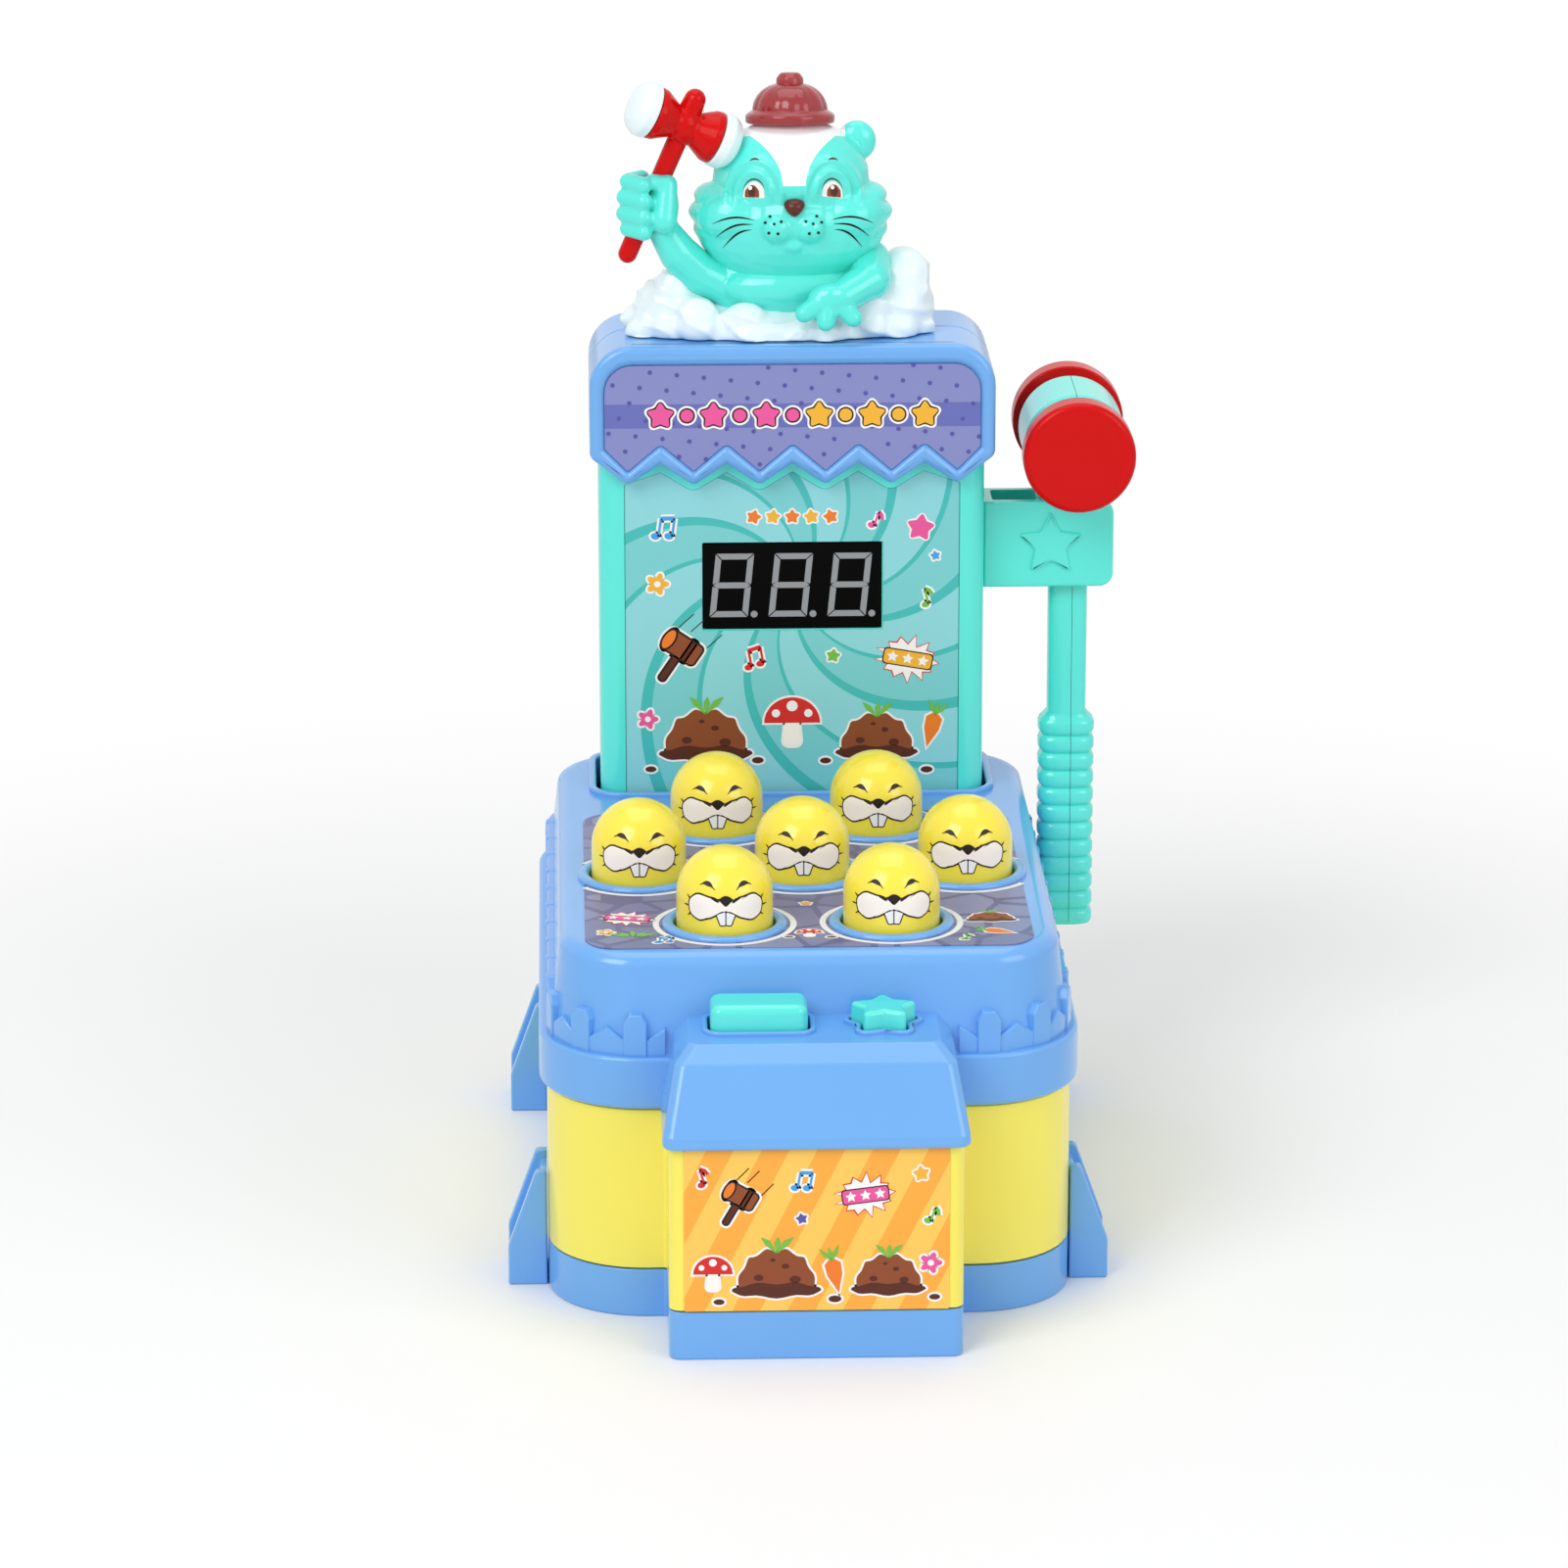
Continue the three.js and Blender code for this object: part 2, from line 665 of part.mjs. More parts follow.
function upperShell() {
  const hollowed = cut(joined(deckBody(), coverBody(), ...fence()), deckHollow(), coverHollow());
  const boardBosses = [-1, 1].flatMap((side) => [frontRow, backRow].map((y) =>
    disc(bossRadius - minFillet, boardTop + seatGap, deckTop - wall / 2, smallSteps)
      .translate(side * (molePitch + wall), y, 0)));
  const screwBosses = screwPlaces.map(([x, y]) => disc(bossRadius, trayHeight + seatGap, deckTop - wall / 2,
    smallSteps).translate(x, y, 0));
  const screwHoles = screwPlaces.map(([x, y]) => disc(screwRadius + seatGap, trayHeight,
    trayHeight + screwLength, smallSteps).translate(x, y, 0));
  const rib = box(ribX - wall / 2, ribX + wall / 2, buttonY - modeButtonDepth / 2,
    buttonY + modeButtonDepth / 2, buttonBoardTop + seatGap, coverTop - wall / 2);
  const lip = riser(towerPlan(recessGap + recessLip), deckTop - wall / 2, deckTop + recessLipHeight);
  const collars = [modeButtonShape(buttonCollar), startButtonShape(buttonCollar)]
    .map((shape) => riser(shape, coverTop - wall / 2, coverTop + buttonCollarHeight, filletSteps));
  const rings = moles.map(([x, y]) => moleRing(x, y));
  const holes = moles.map(([x, y]) => disc(moleHole, deckUnderside - overrun, deckTop + ringHeight * 2)
    .translate(x, y, 0));
  const buttonHoles = [modeButtonShape(runningGap), startButtonShape(runningGap)]
    .map((shape) => riser(shape, coverTop - wall - overrun, coverTop + buttonCollarHeight + overrun,
      filletSteps));
  const towerHole = riser(towerPlan(recessGap), deckUnderside - overrun, deckTop + overrun + recessLipHeight);
  const whole = joined(hollowed, ...boardBosses, ...screwBosses, rib, lip, ...collars);
  return joined(cut(whole, ...holes, ...buttonHoles, towerHole, ...screwHoles), ...rings);
}

const deckTopInset = ledge - rimProud + deckLean + deckRound;

function deckLabel() {
  const half = bodyHalf - deckTopInset - deckLabelMargin;
  const front = bodyFront + deckTopInset + deckLabelMargin;
  const rear = backRow + moleRadius + 2 * deckLabelMargin;
  const z0 = deckTop;
  const sheet = riser(roundedShape(-half, half, front, rear, bodyCorner / 3), z0, z0 + labelThickness);
  const holes = moles.map(([x, y]) => disc(moleHole + ringWidth + seatGap, z0 - overrun, z0 + overrun)
    .translate(x, y, 0));
  return cut(sheet, ...holes);
}

function consoleLabel() {
  const half = consoleWidth / 2 - consoleLabelMargin;
  return box(-half, half, consoleFront - labelThickness, consoleFront, wallBase + seatGap, rimBase - seatGap);
}

function sideFoot(side, setback) {
  const inner = bodyHalf + seatGap;
  const outer = bodyHalf + footReach;
  const profile = (inset) => polygon([[inner, 0], [outer - inset, 0], [outer - inset, footToe],
    [inner + footRadius - inset / 2, footHeight - inset], [inner, footHeight - inset]]);
  const front = bodyFront + setback;
  const body = joined(slab(profile(0), front, front + footPlate),
    slab(profile(footWebInset), front + footPlate / 2, front + footDepth - footPlate / 2),
    slab(profile(0), front + footDepth - footPlate, front + footDepth));
  return side > 0 ? body : body.mirror([1, 0, 0]);
}

// Moles

function mole(x, y) {
  const flangeTop = deckUnderside - seatGap;
  const domeBase = deckTop + ringHeight + moleDomeHeight;
  const inner = moleRadius - moleShell;
  const ceiling = deckTop + moleCeiling;
  const flangeBase = flangeTop - moleShell;
  const profile = [[0, ceiling], [inner, ceiling], [inner, flangeBase - moleSkirt],
    [moleRadius, flangeBase - moleSkirt], [moleRadius, flangeBase], [moleRadius + moleFlange, flangeBase],
    [moleRadius + moleFlange, flangeTop], [moleRadius, flangeTop]];
  const arc = 4;
  for (let i = 0; i <= arc; i += 1) {
    const angle = i / arc * Math.PI / 2;
    profile.push([moleRadius * Math.cos(angle), domeBase + moleRadius * Math.sin(angle)]);
  }
  profile[profile.length - 1][0] = 0;
  return turned(profile).translate(x, y, 0);
}

function moleSpring(x, y) {
  const z0 = boardTop + seatGap;
  const z1 = deckTop + moleCeiling - seatGap;
  const inner = springRadius - springWire;
  return turned([[inner, z0], [springRadius, z0], [springRadius, z1], [inner, z1], [inner, z0]], smallSteps)
    .translate(x, y, 0);
}

function gameBoard() {
  const half = bodyHalf - boardMargin - wall;
  const z0 = boardTop - boardThickness;
  const sheet = box(-half, half, frontRow - boardMargin, backRow + boardMargin, z0, boardTop);
  const posts = moles.map(([x, y]) => disc(switchPostRadius, z0 + boardThickness / 2,
    boardTop + switchPostHeight, smallSteps).translate(x, y, 0));
  return joined(sheet, ...posts);
}

// Buttons

const flangeTop = coverTop - wall - seatGap;
const buttonFoot = flangeTop - wall;
const tactTop = buttonFoot - buttonTravel - seatGap;
const buttonBoardTop = tactTop - tactHeight;

function button(shapeOf, rise) {
  const cap = riser(shapeOf(0), buttonFoot, coverTop + rise, filletSteps);
  const flange = riser(shapeOf(buttonFlange + runningGap), buttonFoot + wall / 4, flangeTop, filletSteps);
  return joined(cap, flange);
}

function buttonBoard() {
  const left = modeButtonX - modeButtonWidth / 2;
  const right = startButtonX + startButtonRadius;
  const z0 = buttonBoardTop - boardThickness;
  const sheet = box(left, right, buttonY - tactSide, buttonY + tactSide, z0, buttonBoardTop);
  const half = tactSide / 2;
  const switches = [modeButtonX, startButtonX].map((x) => box(x - half, x + half, buttonY - half,
    buttonY + half, z0 + boardThickness / 2, tactTop));
  return joined(sheet, ...switches);
}

// Tower and marquee

const towerFoot = deckUnderside - seatGap - towerFlangeThickness;
const towerTop = pennantTip + towerPlug;
const beforeSeam = box(-bodyHalf, bodyHalf, bodyFront, towerMiddle - seamGap / 2, 0, marqueeTop + overrun);
const behindSeam = box(-bodyHalf, bodyHalf, towerMiddle + seamGap / 2, bodyRear, 0, marqueeTop + overrun);

function towerShell() {
  const room = deckTopInset + rimProud + seatGap;
  const flange = riser(towerPlan(recessGap + towerFlange), towerFoot, towerFoot + towerFlangeThickness)
    .intersect(loft([deckRing(room, towerFoot - overrun), deckRing(room, deckTop)]));
  const skin = joined(riser(towerPlan(0), towerFoot, towerTop), flange);
  return cut(skin, riser(towerPlan(-wall), towerFoot - overrun, towerTop + overrun));
}

function towerFrontHalf() {
  const recess = slab(towerLabelShape(0), towerFront - overrun, towerFront + towerLabelDepth);
  return cut(towerShell().intersect(beforeSeam), recess, displayHole(seatGap));
}

function towerRearHalf() {
  return towerShell().intersect(behindSeam);
}

function towerLabel() {
  const y1 = towerFront + towerLabelDepth - seatGap / 3;
  const sheet = slab(towerLabelShape(seatGap / 2), y1 - labelThickness, y1);
  return cut(sheet, displayHole(seatGap));
}

function displayModule() {
  const half = displayWidth / 2;
  return box(-half, half, towerFront + seatGap / 3, towerFront + displayDepth, displayBase,
    displayBase + displayHeight);
}

function displayBoard() {
  const half = displayWidth / 2 + 2 * wall;
  const y0 = towerFront + displayDepth + seatGap;
  return box(-half, half, y0, y0 + boardThickness, displayBase - 2 * wall,
    displayBase + displayHeight + 2 * wall);
}

function marqueeShell() {
  const face = slab(pennantFace(0), marqueeFront, towerFront - seatGap);
  const sideBase = pennantTip + pennantSideRise;
  const hood = roundedShape(-marqueeHalf, marqueeHalf, sideBase, marqueeTop, marqueeCorner);
  const square = box(-marqueeHalf, marqueeHalf, towerFront - wall, marqueeRear, sideBase,
    marqueeTop - marqueeCorner);
  const inside = roundedShape(wall / 2 - marqueeHalf, marqueeHalf - wall / 2, pennantTip - 2 * marqueeCorner,
    marqueeTop - wall, marqueeCorner - wall / 2);
  const room = riser(towerPlan(seatGap), pennantTip - overrun, marqueeTop)
    .intersect(slab(inside, marqueeFront, marqueeRear));
  const roof = slab(hood, towerFront - wall, marqueeRear);
  const behind = box(-marqueeHalf, marqueeHalf, towerFront - seatGap, marqueeRear + overrun,
    pennantTip - overrun, sideBase);
  return cut(joined(face, roof, square), cut(room, box(-marqueeHalf, marqueeHalf, marqueeFront,
    towerFront - seatGap, 0, marqueeTop)), behind);
}

function marqueeFrontHalf() {
  const recess = slab(pennantFace(marqueeFrame), marqueeFront - overrun, marqueeFront + marqueeLabelDepth);
  return cut(marqueeShell().intersect(beforeSeam), recess);
}

function marqueeRearHalf() {
  return marqueeShell().intersect(behindSeam);
}

function marqueeLabel() {
  const y1 = marqueeFront + marqueeLabelDepth - seatGap / 3;
  return slab(pennantFace(marqueeFrame + seatGap / 2), y1 - labelThickness, y1);
}

// Hammer and holder

const holderFront = towerFront + holderSetback;
const hammerX = towerHalf + hammerOffset;
const slotFront = holderFront + holderWall;
const hammerY = slotFront + gripDepth / 2 + runningGap;
const slotHalf = gripWidth / 2 + runningGap;

function hammerHolder() {
  const x0 = towerHalf + seatGap;
  const x1 = towerHalf + holderReach;
  const z0 = holderTop - holderHeight;
  const plate = roundedShape(x0 - holderFillet, x1, z0, holderTop, holderFillet);
  const body = cut(slab(plate, holderFront, holderFront + holderDepth),
    box(x0 - 2 * holderFillet, x0, holderFront - overrun, holderFront + holderDepth + overrun, z0 - overrun,
      holderTop + overrun));
  const slot = box(hammerX - slotHalf, hammerX + slotHalf, slotFront, holderFront + holderDepth + overrun,
    z0 - overrun, holderTop + overrun);
  const badge = slab(star(towerHalf + holderStarX, holderTop - holderHeight / 2, holderStarRadius, 0.5),
    holderFront - holderStarHeight, holderFront + holderWall / 2);
  return joined(cut(body, slot), badge);
}

const headZ = holderTop + seatGap + barrelLift + barrelRadius;

// A level oval ring of the hammer's handle.
function handleRing(halfX, halfY, z) {
  const count = 12;
  return Array.from({ length: count }, (_, i) => {
    const angle = (i + 0.5) / count * Math.PI * 2;
    const squareness = 0.7;
    const along = (value) => Math.sign(value) * Math.abs(value) ** squareness;
    return new THREE.Vector3(hammerX + halfX * along(Math.cos(angle)),
      hammerY + halfY * along(Math.sin(angle)), z);
  });
}

function handle() {
  const gripEnd = holderTop - handleLength;
  const ribPitch = gripLength / ribCount;
  const crestX = gripWidth / 2;
  const crestY = gripDepth / 2;
  const rings = [handleRing(crestX - ribDepth * 2, crestY - ribDepth * 2, gripEnd)];
  for (let i = 0; i < ribCount; i += 1) {
    const z = gripEnd + i * ribPitch;
    rings.push(handleRing(crestX, crestY, z + ribPitch * 0.5));
    rings.push(handleRing(crestX - ribDepth, crestY - ribDepth, z + ribPitch));
  }
  rings.push(handleRing(handleWidth / 2, handleDepth / 2, gripEnd + gripLength + ribDepth));
  rings.push(handleRing(handleWidth / 2, handleDepth / 2, headZ));
  return loft(rings);
}

// A turned solid laid along Y, its middle at the hammer's head.
function alongHead(profile, steps) {
  const points = profile.map(([radius, height]) => new THREE.Vector2(radius, height));
  return solid(new THREE.LatheGeometry(points, steps).translate(hammerX, hammerY, headZ));
}

const barrelHalf = headLength / 2 - capLength;

function hammerHandleAndBarrel() {
  const shoulderY = barrelHalf - barrelTaper;
  const barrel = alongHead([[0, -barrelHalf], [barrelNeck, -barrelHalf], [barrelRadius, -shoulderY],
    [barrelRadius, shoulderY], [barrelNeck, barrelHalf], [0, barrelHalf]], holeSteps);
  const collar = box(hammerX - collarWidth / 2, hammerX + collarWidth / 2, hammerY - collarDepth / 2,
    hammerY + collarDepth / 2, holderTop + seatGap, headZ - barrelRadius / 2);
  const bore = barrelNeck - barrelWall;
  const hollow = alongHead([[0, -barrelHalf - overrun], [bore, -barrelHalf - overrun],
    [bore, barrelHalf + overrun], [0, barrelHalf + overrun]], 16);
  const core = box(hammerX - handleWidth / 2 + barrelWall, hammerX + handleWidth / 2 - barrelWall,
    hammerY - handleDepth / 2 + barrelWall, hammerY + handleDepth / 2 - barrelWall,
    holderTop - handleLength + 2 * barrelWall, headZ);
  return cut(joined(handle(), barrel, collar), hollow, core);
}

function hammerHalf(side) {
  const near = seamGap / 2;
  const x0 = side > 0 ? hammerX + near : hammerX - 2 * headRadius;
  const x1 = side > 0 ? hammerX + 2 * headRadius : hammerX - near;
  const keep = box(x0, x1, hammerY - headLength, hammerY + headLength, 0, headZ + 2 * headRadius);
  return hammerHandleAndBarrel().intersect(keep);
}

function hammerCap(side) {
  const plug = barrelNeck - barrelWall - seatGap;
  const near = barrelHalf + seatGap;
  const far = headLength / 2;
  return alongHead([[0, side * (barrelHalf - capPlug)], [plug, side * (barrelHalf - capPlug)],
    [plug, side * near], [headRadius - minFillet, side * near], [headRadius, side * (near + minFillet)],
    [headRadius, side * (far - capRound)], [headRadius - capRound * 0.3, side * (far - capRound * 0.3)],
    [headRadius - capRound, side * far], [0, side * far]], 24);
}

// Figure on the marquee

const figureY = marqueeFront + figureBack;
const chin = marqueeTop + chinRise;
const headMiddle = chin + headHeight / 2;
const lampBase = chin + headHeight - lampSink;
const lampTop = lampBase + lampBrim + lampDomeRadius + lampKnobRadius / 2;
const moundY = figureY - moundForward;

// The mound is a stack of rings whose reach swells and shrinks as it goes round.
function mound() {
  const levelShares = [[0, 0.97], [0.18, 1], [0.5, 0.93], [0.8, 0.8], [1, 0.62]];
  const count = 24;
  const rings = levelShares.map(([rise, reach], level) => Array.from({ length: count }, (_, i) => {
    const angle = i / count * Math.PI * 2;
    const lump = 1 + (level === 0 ? 0 : 0.035) * Math.sin(7 * angle + 2 * level);
    const boxy = (value) => Math.sign(value) * Math.abs(value) ** 0.75;
    const x = reach * lump * boxy(Math.cos(angle)) * moundWidth / 2;
    const y = reach * lump * boxy(Math.sin(angle)) * moundDepth / 2;
    const swell = 0.72 + 0.28 * Math.cos(angle) ** 2;
    return new THREE.Vector3(moundOffset + x, moundY + y, marqueeTop + seatGap + rise * swell * moundHeight);
  }));
  return cut(loft(rings), torso(seatGap), arms(seatGap));
}

function torso(grow) {
  return ball(0, figureY + torsoSetback, marqueeTop + moundHeight * 0.55, torsoWidth / 2 + grow,
    torsoDepth / 2 + grow, torsoHeight / 2 + grow);
}

// A joint of an arm, across and forward by shares of the torso's width and depth.
const armPoint = (acrossShare, forwardShare, z) => new THREE.Vector3(torsoWidth * acrossShare,
  figureY - torsoDepth * forwardShare, z);
const shoulder = armPoint(-0.33, 0.15, marqueeTop + moundHeight * 0.78);
const elbow = armPoint(-0.62, 0.3, marqueeTop + moundHeight);
const fist = armPoint(-0.74, 0.45, chin + headHeight * 0.54);
const otherShoulder = armPoint(0.4, 0.1, marqueeTop + moundHeight * 0.9);
const palm = armPoint(0.2, 0.71, marqueeTop + moundHeight * 0.52);
const malletTilt = new THREE.Vector3(0.44, 0, 0.9).normalize();
const malletAcross = new THREE.Vector3(0.9, 0.2, -0.42).normalize();

function arms(grow) {
  const thick = armRadius * 1.1 + grow;
  const finger = fingerRadius + grow;
  const fingers = [-1, 0, 1].map((spread) => limb(palm, palm.clone().add(new THREE.Vector3(
    spread * fingerRadius * 1.9, -fingerRadius * 0.8, -fingerRadius * 2.2)), finger, finger, 6));
  return joined(limb(shoulder, elbow, thick, armRadius + grow), limb(elbow, fist, armRadius * 0.9 + grow),
    ball(fist.x, fist.y, fist.z, fistRadius + grow, fistRadius * 0.9 + grow, fistRadius + grow, 10),
    limb(otherShoulder, palm, thick, armRadius * 0.7 + grow), ...fingers);
}

function headBall(grow) {
  return ball(0, figureY, headMiddle, headWidth / 2 + grow, headDepth / 2 + grow, headHeight / 2 + grow, 16);
}

function headWithFeatures(grow) {
  const cheeks = [-1, 1].map((side) => ball(side * headWidth * 0.3, figureY - headDepth * 0.14,
    chin + headHeight * 0.46, cheekRadius + grow, cheekRadius * 0.9 + grow, cheekRadius * 0.8 + grow, 10));
  return joined(headBall(grow), ...cheeks);
}

function gopherHead() {
  const ears = [-1, 1].map((side) => ball(side * headWidth * 0.42, figureY + headDepth * 0.07,
    chin + headHeight * 0.88, earRadius, earRadius * 0.7, earRadius, smallSteps));
  const muzzle = ball(0, figureY - headDepth * 0.42, chin + headHeight * 0.4, muzzleRadius * 1.3,
    muzzleRadius, muzzleRadius, 10);
  const crown = disc(lampRadius + overrun, lampBase - seatGap, lampTop, smallSteps).translate(0, figureY, 0);
  return cut(joined(headWithFeatures(0), ...ears, muzzle), crown, mallet(seatGap), malletEnd(1, seatGap));
}

function gopherBody() {
  const solidBody = joined(torso(0), arms(0));
  const floor = box(-moundWidth, moundWidth, figureY - moundDepth, figureY + moundDepth, 0,
    marqueeTop + 2 * seatGap);
  return cut(solidBody, headWithFeatures(seatGap), malletHandle(seatGap), floor);
}

const malletMiddle = fist.clone().addScaledVector(malletTilt, fistRadius * 3.1);

function malletHandle(grow) {
  const low = fist.clone().addScaledVector(malletTilt, -fistRadius * 2);
  const high = malletMiddle.clone().addScaledVector(malletTilt, malletHeadRadius + malletRadius);
  return limb(low, high, malletRadius + grow);
}

// A turned solid laid along the mallet's head.
function acrossMallet(profile, steps) {
  const points = profile.map(([radius, height]) => new THREE.Vector2(radius, height));
  const turn = new THREE.Quaternion().setFromUnitVectors(new THREE.Vector3(0, 1, 0), malletAcross);
  const geometry = new THREE.LatheGeometry(points, steps).applyQuaternion(turn);
  return solid(geometry.translate(malletMiddle.x, malletMiddle.y, malletMiddle.z));
}

function mallet(grow) {
  const half = malletHeadLength / 2;
  const wide = malletHeadRadius + grow;
  const waist = malletHeadRadius * 0.66 + grow;
  const head = acrossMallet([[0, -half], [wide, -half], [waist, -half / 2], [waist, half / 2], [wide, half],
    [0, half]], 12);
  return joined(malletHandle(grow), head);
}

function malletEnd(side, grow = 0) {
  const near = malletHeadLength / 2 + seatGap - grow;
  const far = malletHeadLength / 2 + malletEndLength + grow;
  const radius = malletEndRadius + grow;
  return acrossMallet([[0, side * near], [radius * 0.9, side * near], [radius, side * (near + far) / 2],
    [radius * 0.75, side * (far - malletEndLength * 0.12)], [0, side * far]], 12);
}

function hatLamp() {
  const brimTop = lampBase + lampBrim;
  const inner = lampDomeRadius - lampWall;
  const knob = lampTop - brimTop - lampDomeRadius;
  const profile = [[0, brimTop + inner - lampWall], [inner * 0.7, brimTop + inner * 0.6], [inner, brimTop],
    [inner, lampBase], [lampRadius - minFillet, lampBase], [lampRadius, lampBase + lampBrim / 2],
    [lampRadius - minFillet, brimTop], [lampDomeRadius, brimTop]];
  for (const angle of [0.35, 0.7, 1.05]) {
    profile.push([lampDomeRadius * Math.cos(angle), brimTop + lampDomeRadius * Math.sin(angle)]);
  }
  profile.push([lampKnobRadius, lampTop - knob * 1.2], [lampKnobRadius * 0.8, lampTop - knob * 0.3],
    [0, lampTop]);
  return turned(profile, 20).translate(0, figureY, 0);
}

function lampLed() {
  const z0 = lampBase;
  return turned([[0, z0], [ledRadius, z0], [ledRadius, z0 + ledRadius * 2],
    [ledRadius * 0.7, z0 + ledRadius * 2.7], [0, z0 + ledRadius * 3]], smallSteps).translate(0, figureY, 0);
}

// Inside and underside

function battery(index) {
  const y = batteryBayFront + seatGap + (index + 0.5) * (2 * batteryRadius + seatGap);
  const half = batteryLength / 2;
  const points = [[0, -half], [batteryRadius, -half], [batteryRadius, half], [batteryNubRadius, half],
    [batteryNubRadius, half + batteryNubLength], [0, half + batteryNubLength]]
    .map(([radius, along]) => new THREE.Vector2(radius, along));
  const turn = index % 2 ? Math.PI / 2 : -Math.PI / 2;
  const geometry = new THREE.LatheGeometry(points, 12).rotateZ(turn);
  return solid(geometry.translate(0, y, doorTop + seatGap + batteryRadius));
}

const doorFront = batteryBayFront - doorLedge;
const doorRear = bayRear + doorLedge;

function batteryDoor() {
  const half = bayHalf + doorLedge;
  const plate = box(-half, half, doorFront, doorRear, doorRecess, doorTop);
  const lug = disc(lugRadius, doorRecess, lugTop).translate(0, doorScrewY, 0);
  const hole = joined(disc(screwRadius + seatGap, -overrun, lugTop + overrun, smallSteps),
    disc(screwHeadRadius + seatGap, -overrun, doorRecess + screwHeadHeight + seatGap / 2, holeSteps));
  return cut(joined(plate, lug), hole.translate(0, doorScrewY, 0));
}

function screw(x, y, headBase, length) {
  const headTop = headBase + screwHeadHeight;
  return turned([[0, headBase], [screwHeadRadius, headBase], [screwHeadRadius, headTop],
    [screwRadius, headTop], [screwRadius, headBase + length], [0, headBase + length]], smallSteps)
    .translate(x, y, 0);
}

function speaker() {
  const z0 = wall + seatGap;
  return turned([[0, z0], [speakerRadius, z0], [speakerRadius, z0 + speakerHeight * 0.3],
    [speakerRadius * 0.55, z0 + speakerHeight * 0.6], [speakerRadius * 0.55, z0 + speakerHeight],
    [0, z0 + speakerHeight]], 16).translate(speakerX, speakerY, 0);
}

function powerSwitch() {
  const z = wallBase + switchRise;
  const half = switchKnob / 2;
  const x = switchX - switchTravel / 2;
  const behindWall = bodyRear - wall - seatGap;
  const knob = box(x - half, x + half, behindWall - wall / 2, bodyRear + switchProud, z - half, z + half);
  const plate = box(x - switchPlateWidth / 2, x + switchPlateWidth / 2, behindWall - wall, behindWall,
    z - switchPlateHeight / 2, z + switchPlateHeight / 2);
  return joined(knob, plate);
}

// Assembly

const toy = new THREE.Group();

function add(name, body, colour, roughness = 0.3, metalness = 0) {
  const { vertProperties, triVerts } = body.getMesh();
  const geometry = new THREE.BufferGeometry();
  geometry.setAttribute('position', new THREE.BufferAttribute(new Float32Array(vertProperties), 3));
  geometry.setIndex(new THREE.BufferAttribute(new Uint32Array(triVerts), 1));
  geometry.computeVertexNormals();
  const material = new THREE.MeshStandardMaterial({ color: colour, roughness, metalness });
  const mesh = new THREE.Mesh(geometry, material);
  mesh.name = name;
  toy.add(mesh);
}

add('base_tray', baseTray(), colours.blue);
add('body_shell', bodyShell(), colours.yellow);
add('upper_shell', upperShell(), colours.blue);
add('deck_label', deckLabel(), colours.deckPrint);
add('console_label', consoleLabel(), colours.orange);
add('foot_front_left', sideFoot(-1, frontFootSetback), colours.blue);
add('foot_front_right', sideFoot(1, frontFootSetback), colours.blue);
add('foot_rear_left', sideFoot(-1, bodyDepth - rearFootSetback), colours.blue);
add('foot_rear_right', sideFoot(1, bodyDepth - rearFootSetback), colours.blue);
moles.forEach(([x, y], index) => {
  add(`mole_${index + 1}`, mole(x, y), colours.yellow);
  add(`mole_spring_${index + 1}`, moleSpring(x, y), colours.steel, 0.3, 1);
});
add('game_board', gameBoard(), colours.board, 0.6);
add('mode_button', button(modeButtonShape, modeButtonRise), colours.turquoise);
add('start_button', button(startButtonShape, startButtonRise), colours.turquoise);
add('button_board', buttonBoard(), colours.board, 0.6);
add('tower_front', towerFrontHalf(), colours.turquoise);
add('tower_rear', towerRearHalf(), colours.turquoise);
add('tower_label', towerLabel(), colours.teal);
add('display_module', displayModule(), colours.black);
add('display_board', displayBoard(), colours.board, 0.6);
add('marquee_front', marqueeFrontHalf(), colours.blue);
add('marquee_rear', marqueeRearHalf(), colours.blue);
add('marquee_label', marqueeLabel(), colours.purple);
add('hammer_holder', hammerHolder(), colours.turquoise);
add('hammer_left_half', hammerHalf(-1), colours.turquoise);
add('hammer_right_half', hammerHalf(1), colours.turquoise);
add('hammer_front_cap', hammerCap(-1), colours.red);
add('hammer_rear_cap', hammerCap(1), colours.red);
add('mound', mound(), colours.white);
add('gopher_body', gopherBody(), colours.turquoise);
add('gopher_head', gopherHead(), colours.turquoise);
add('mallet', mallet(0), colours.red);
add('mallet_left_end', malletEnd(-1), colours.white);
add('mallet_right_end', malletEnd(1), colours.white);
add('hat_lamp', hatLamp(), colours.lens, 0.15);
add('lamp_led', lampLed(), colours.white, 0.2);
add('speaker', speaker(), colours.black, 0.6);
add('battery_door', batteryDoor(), colours.blue);
add('battery_door_screw', screw(0, doorScrewY, doorRecess, doorScrewLength), colours.steel, 0.3, 1);
for (let index = 0; index < batteryCount; index += 1) {
  add(`battery_${index + 1}`, battery(index), colours.cell, 0.4);
}
add('power_switch', powerSwitch(), colours.black);
screwPlaces.forEach(([x, y], index) => {
  add(`base_screw_${index + 1}`, screw(x, y, seatGap, screwLength), colours.steel, 0.3, 1);
});

export default toy;
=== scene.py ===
"""Looks of a tabletop mole pounding game, for Blender 4.5.

The part's solids stand as a fixed frame. Each class below builds the fine meshes of one sub-assembly, which
replace its solids in the same place, and dresses them. Lengths are in millimetres until a mesh is made.
"""

import logging
import math
from collections.abc import Callable, Iterable, Sequence
from dataclasses import dataclass
from enum import Enum

import bmesh
import bpy
from mathutils import Matrix, Vector, noise
from mathutils.bvhtree import BVHTree
from mathutils.geometry import tessellate_polygon


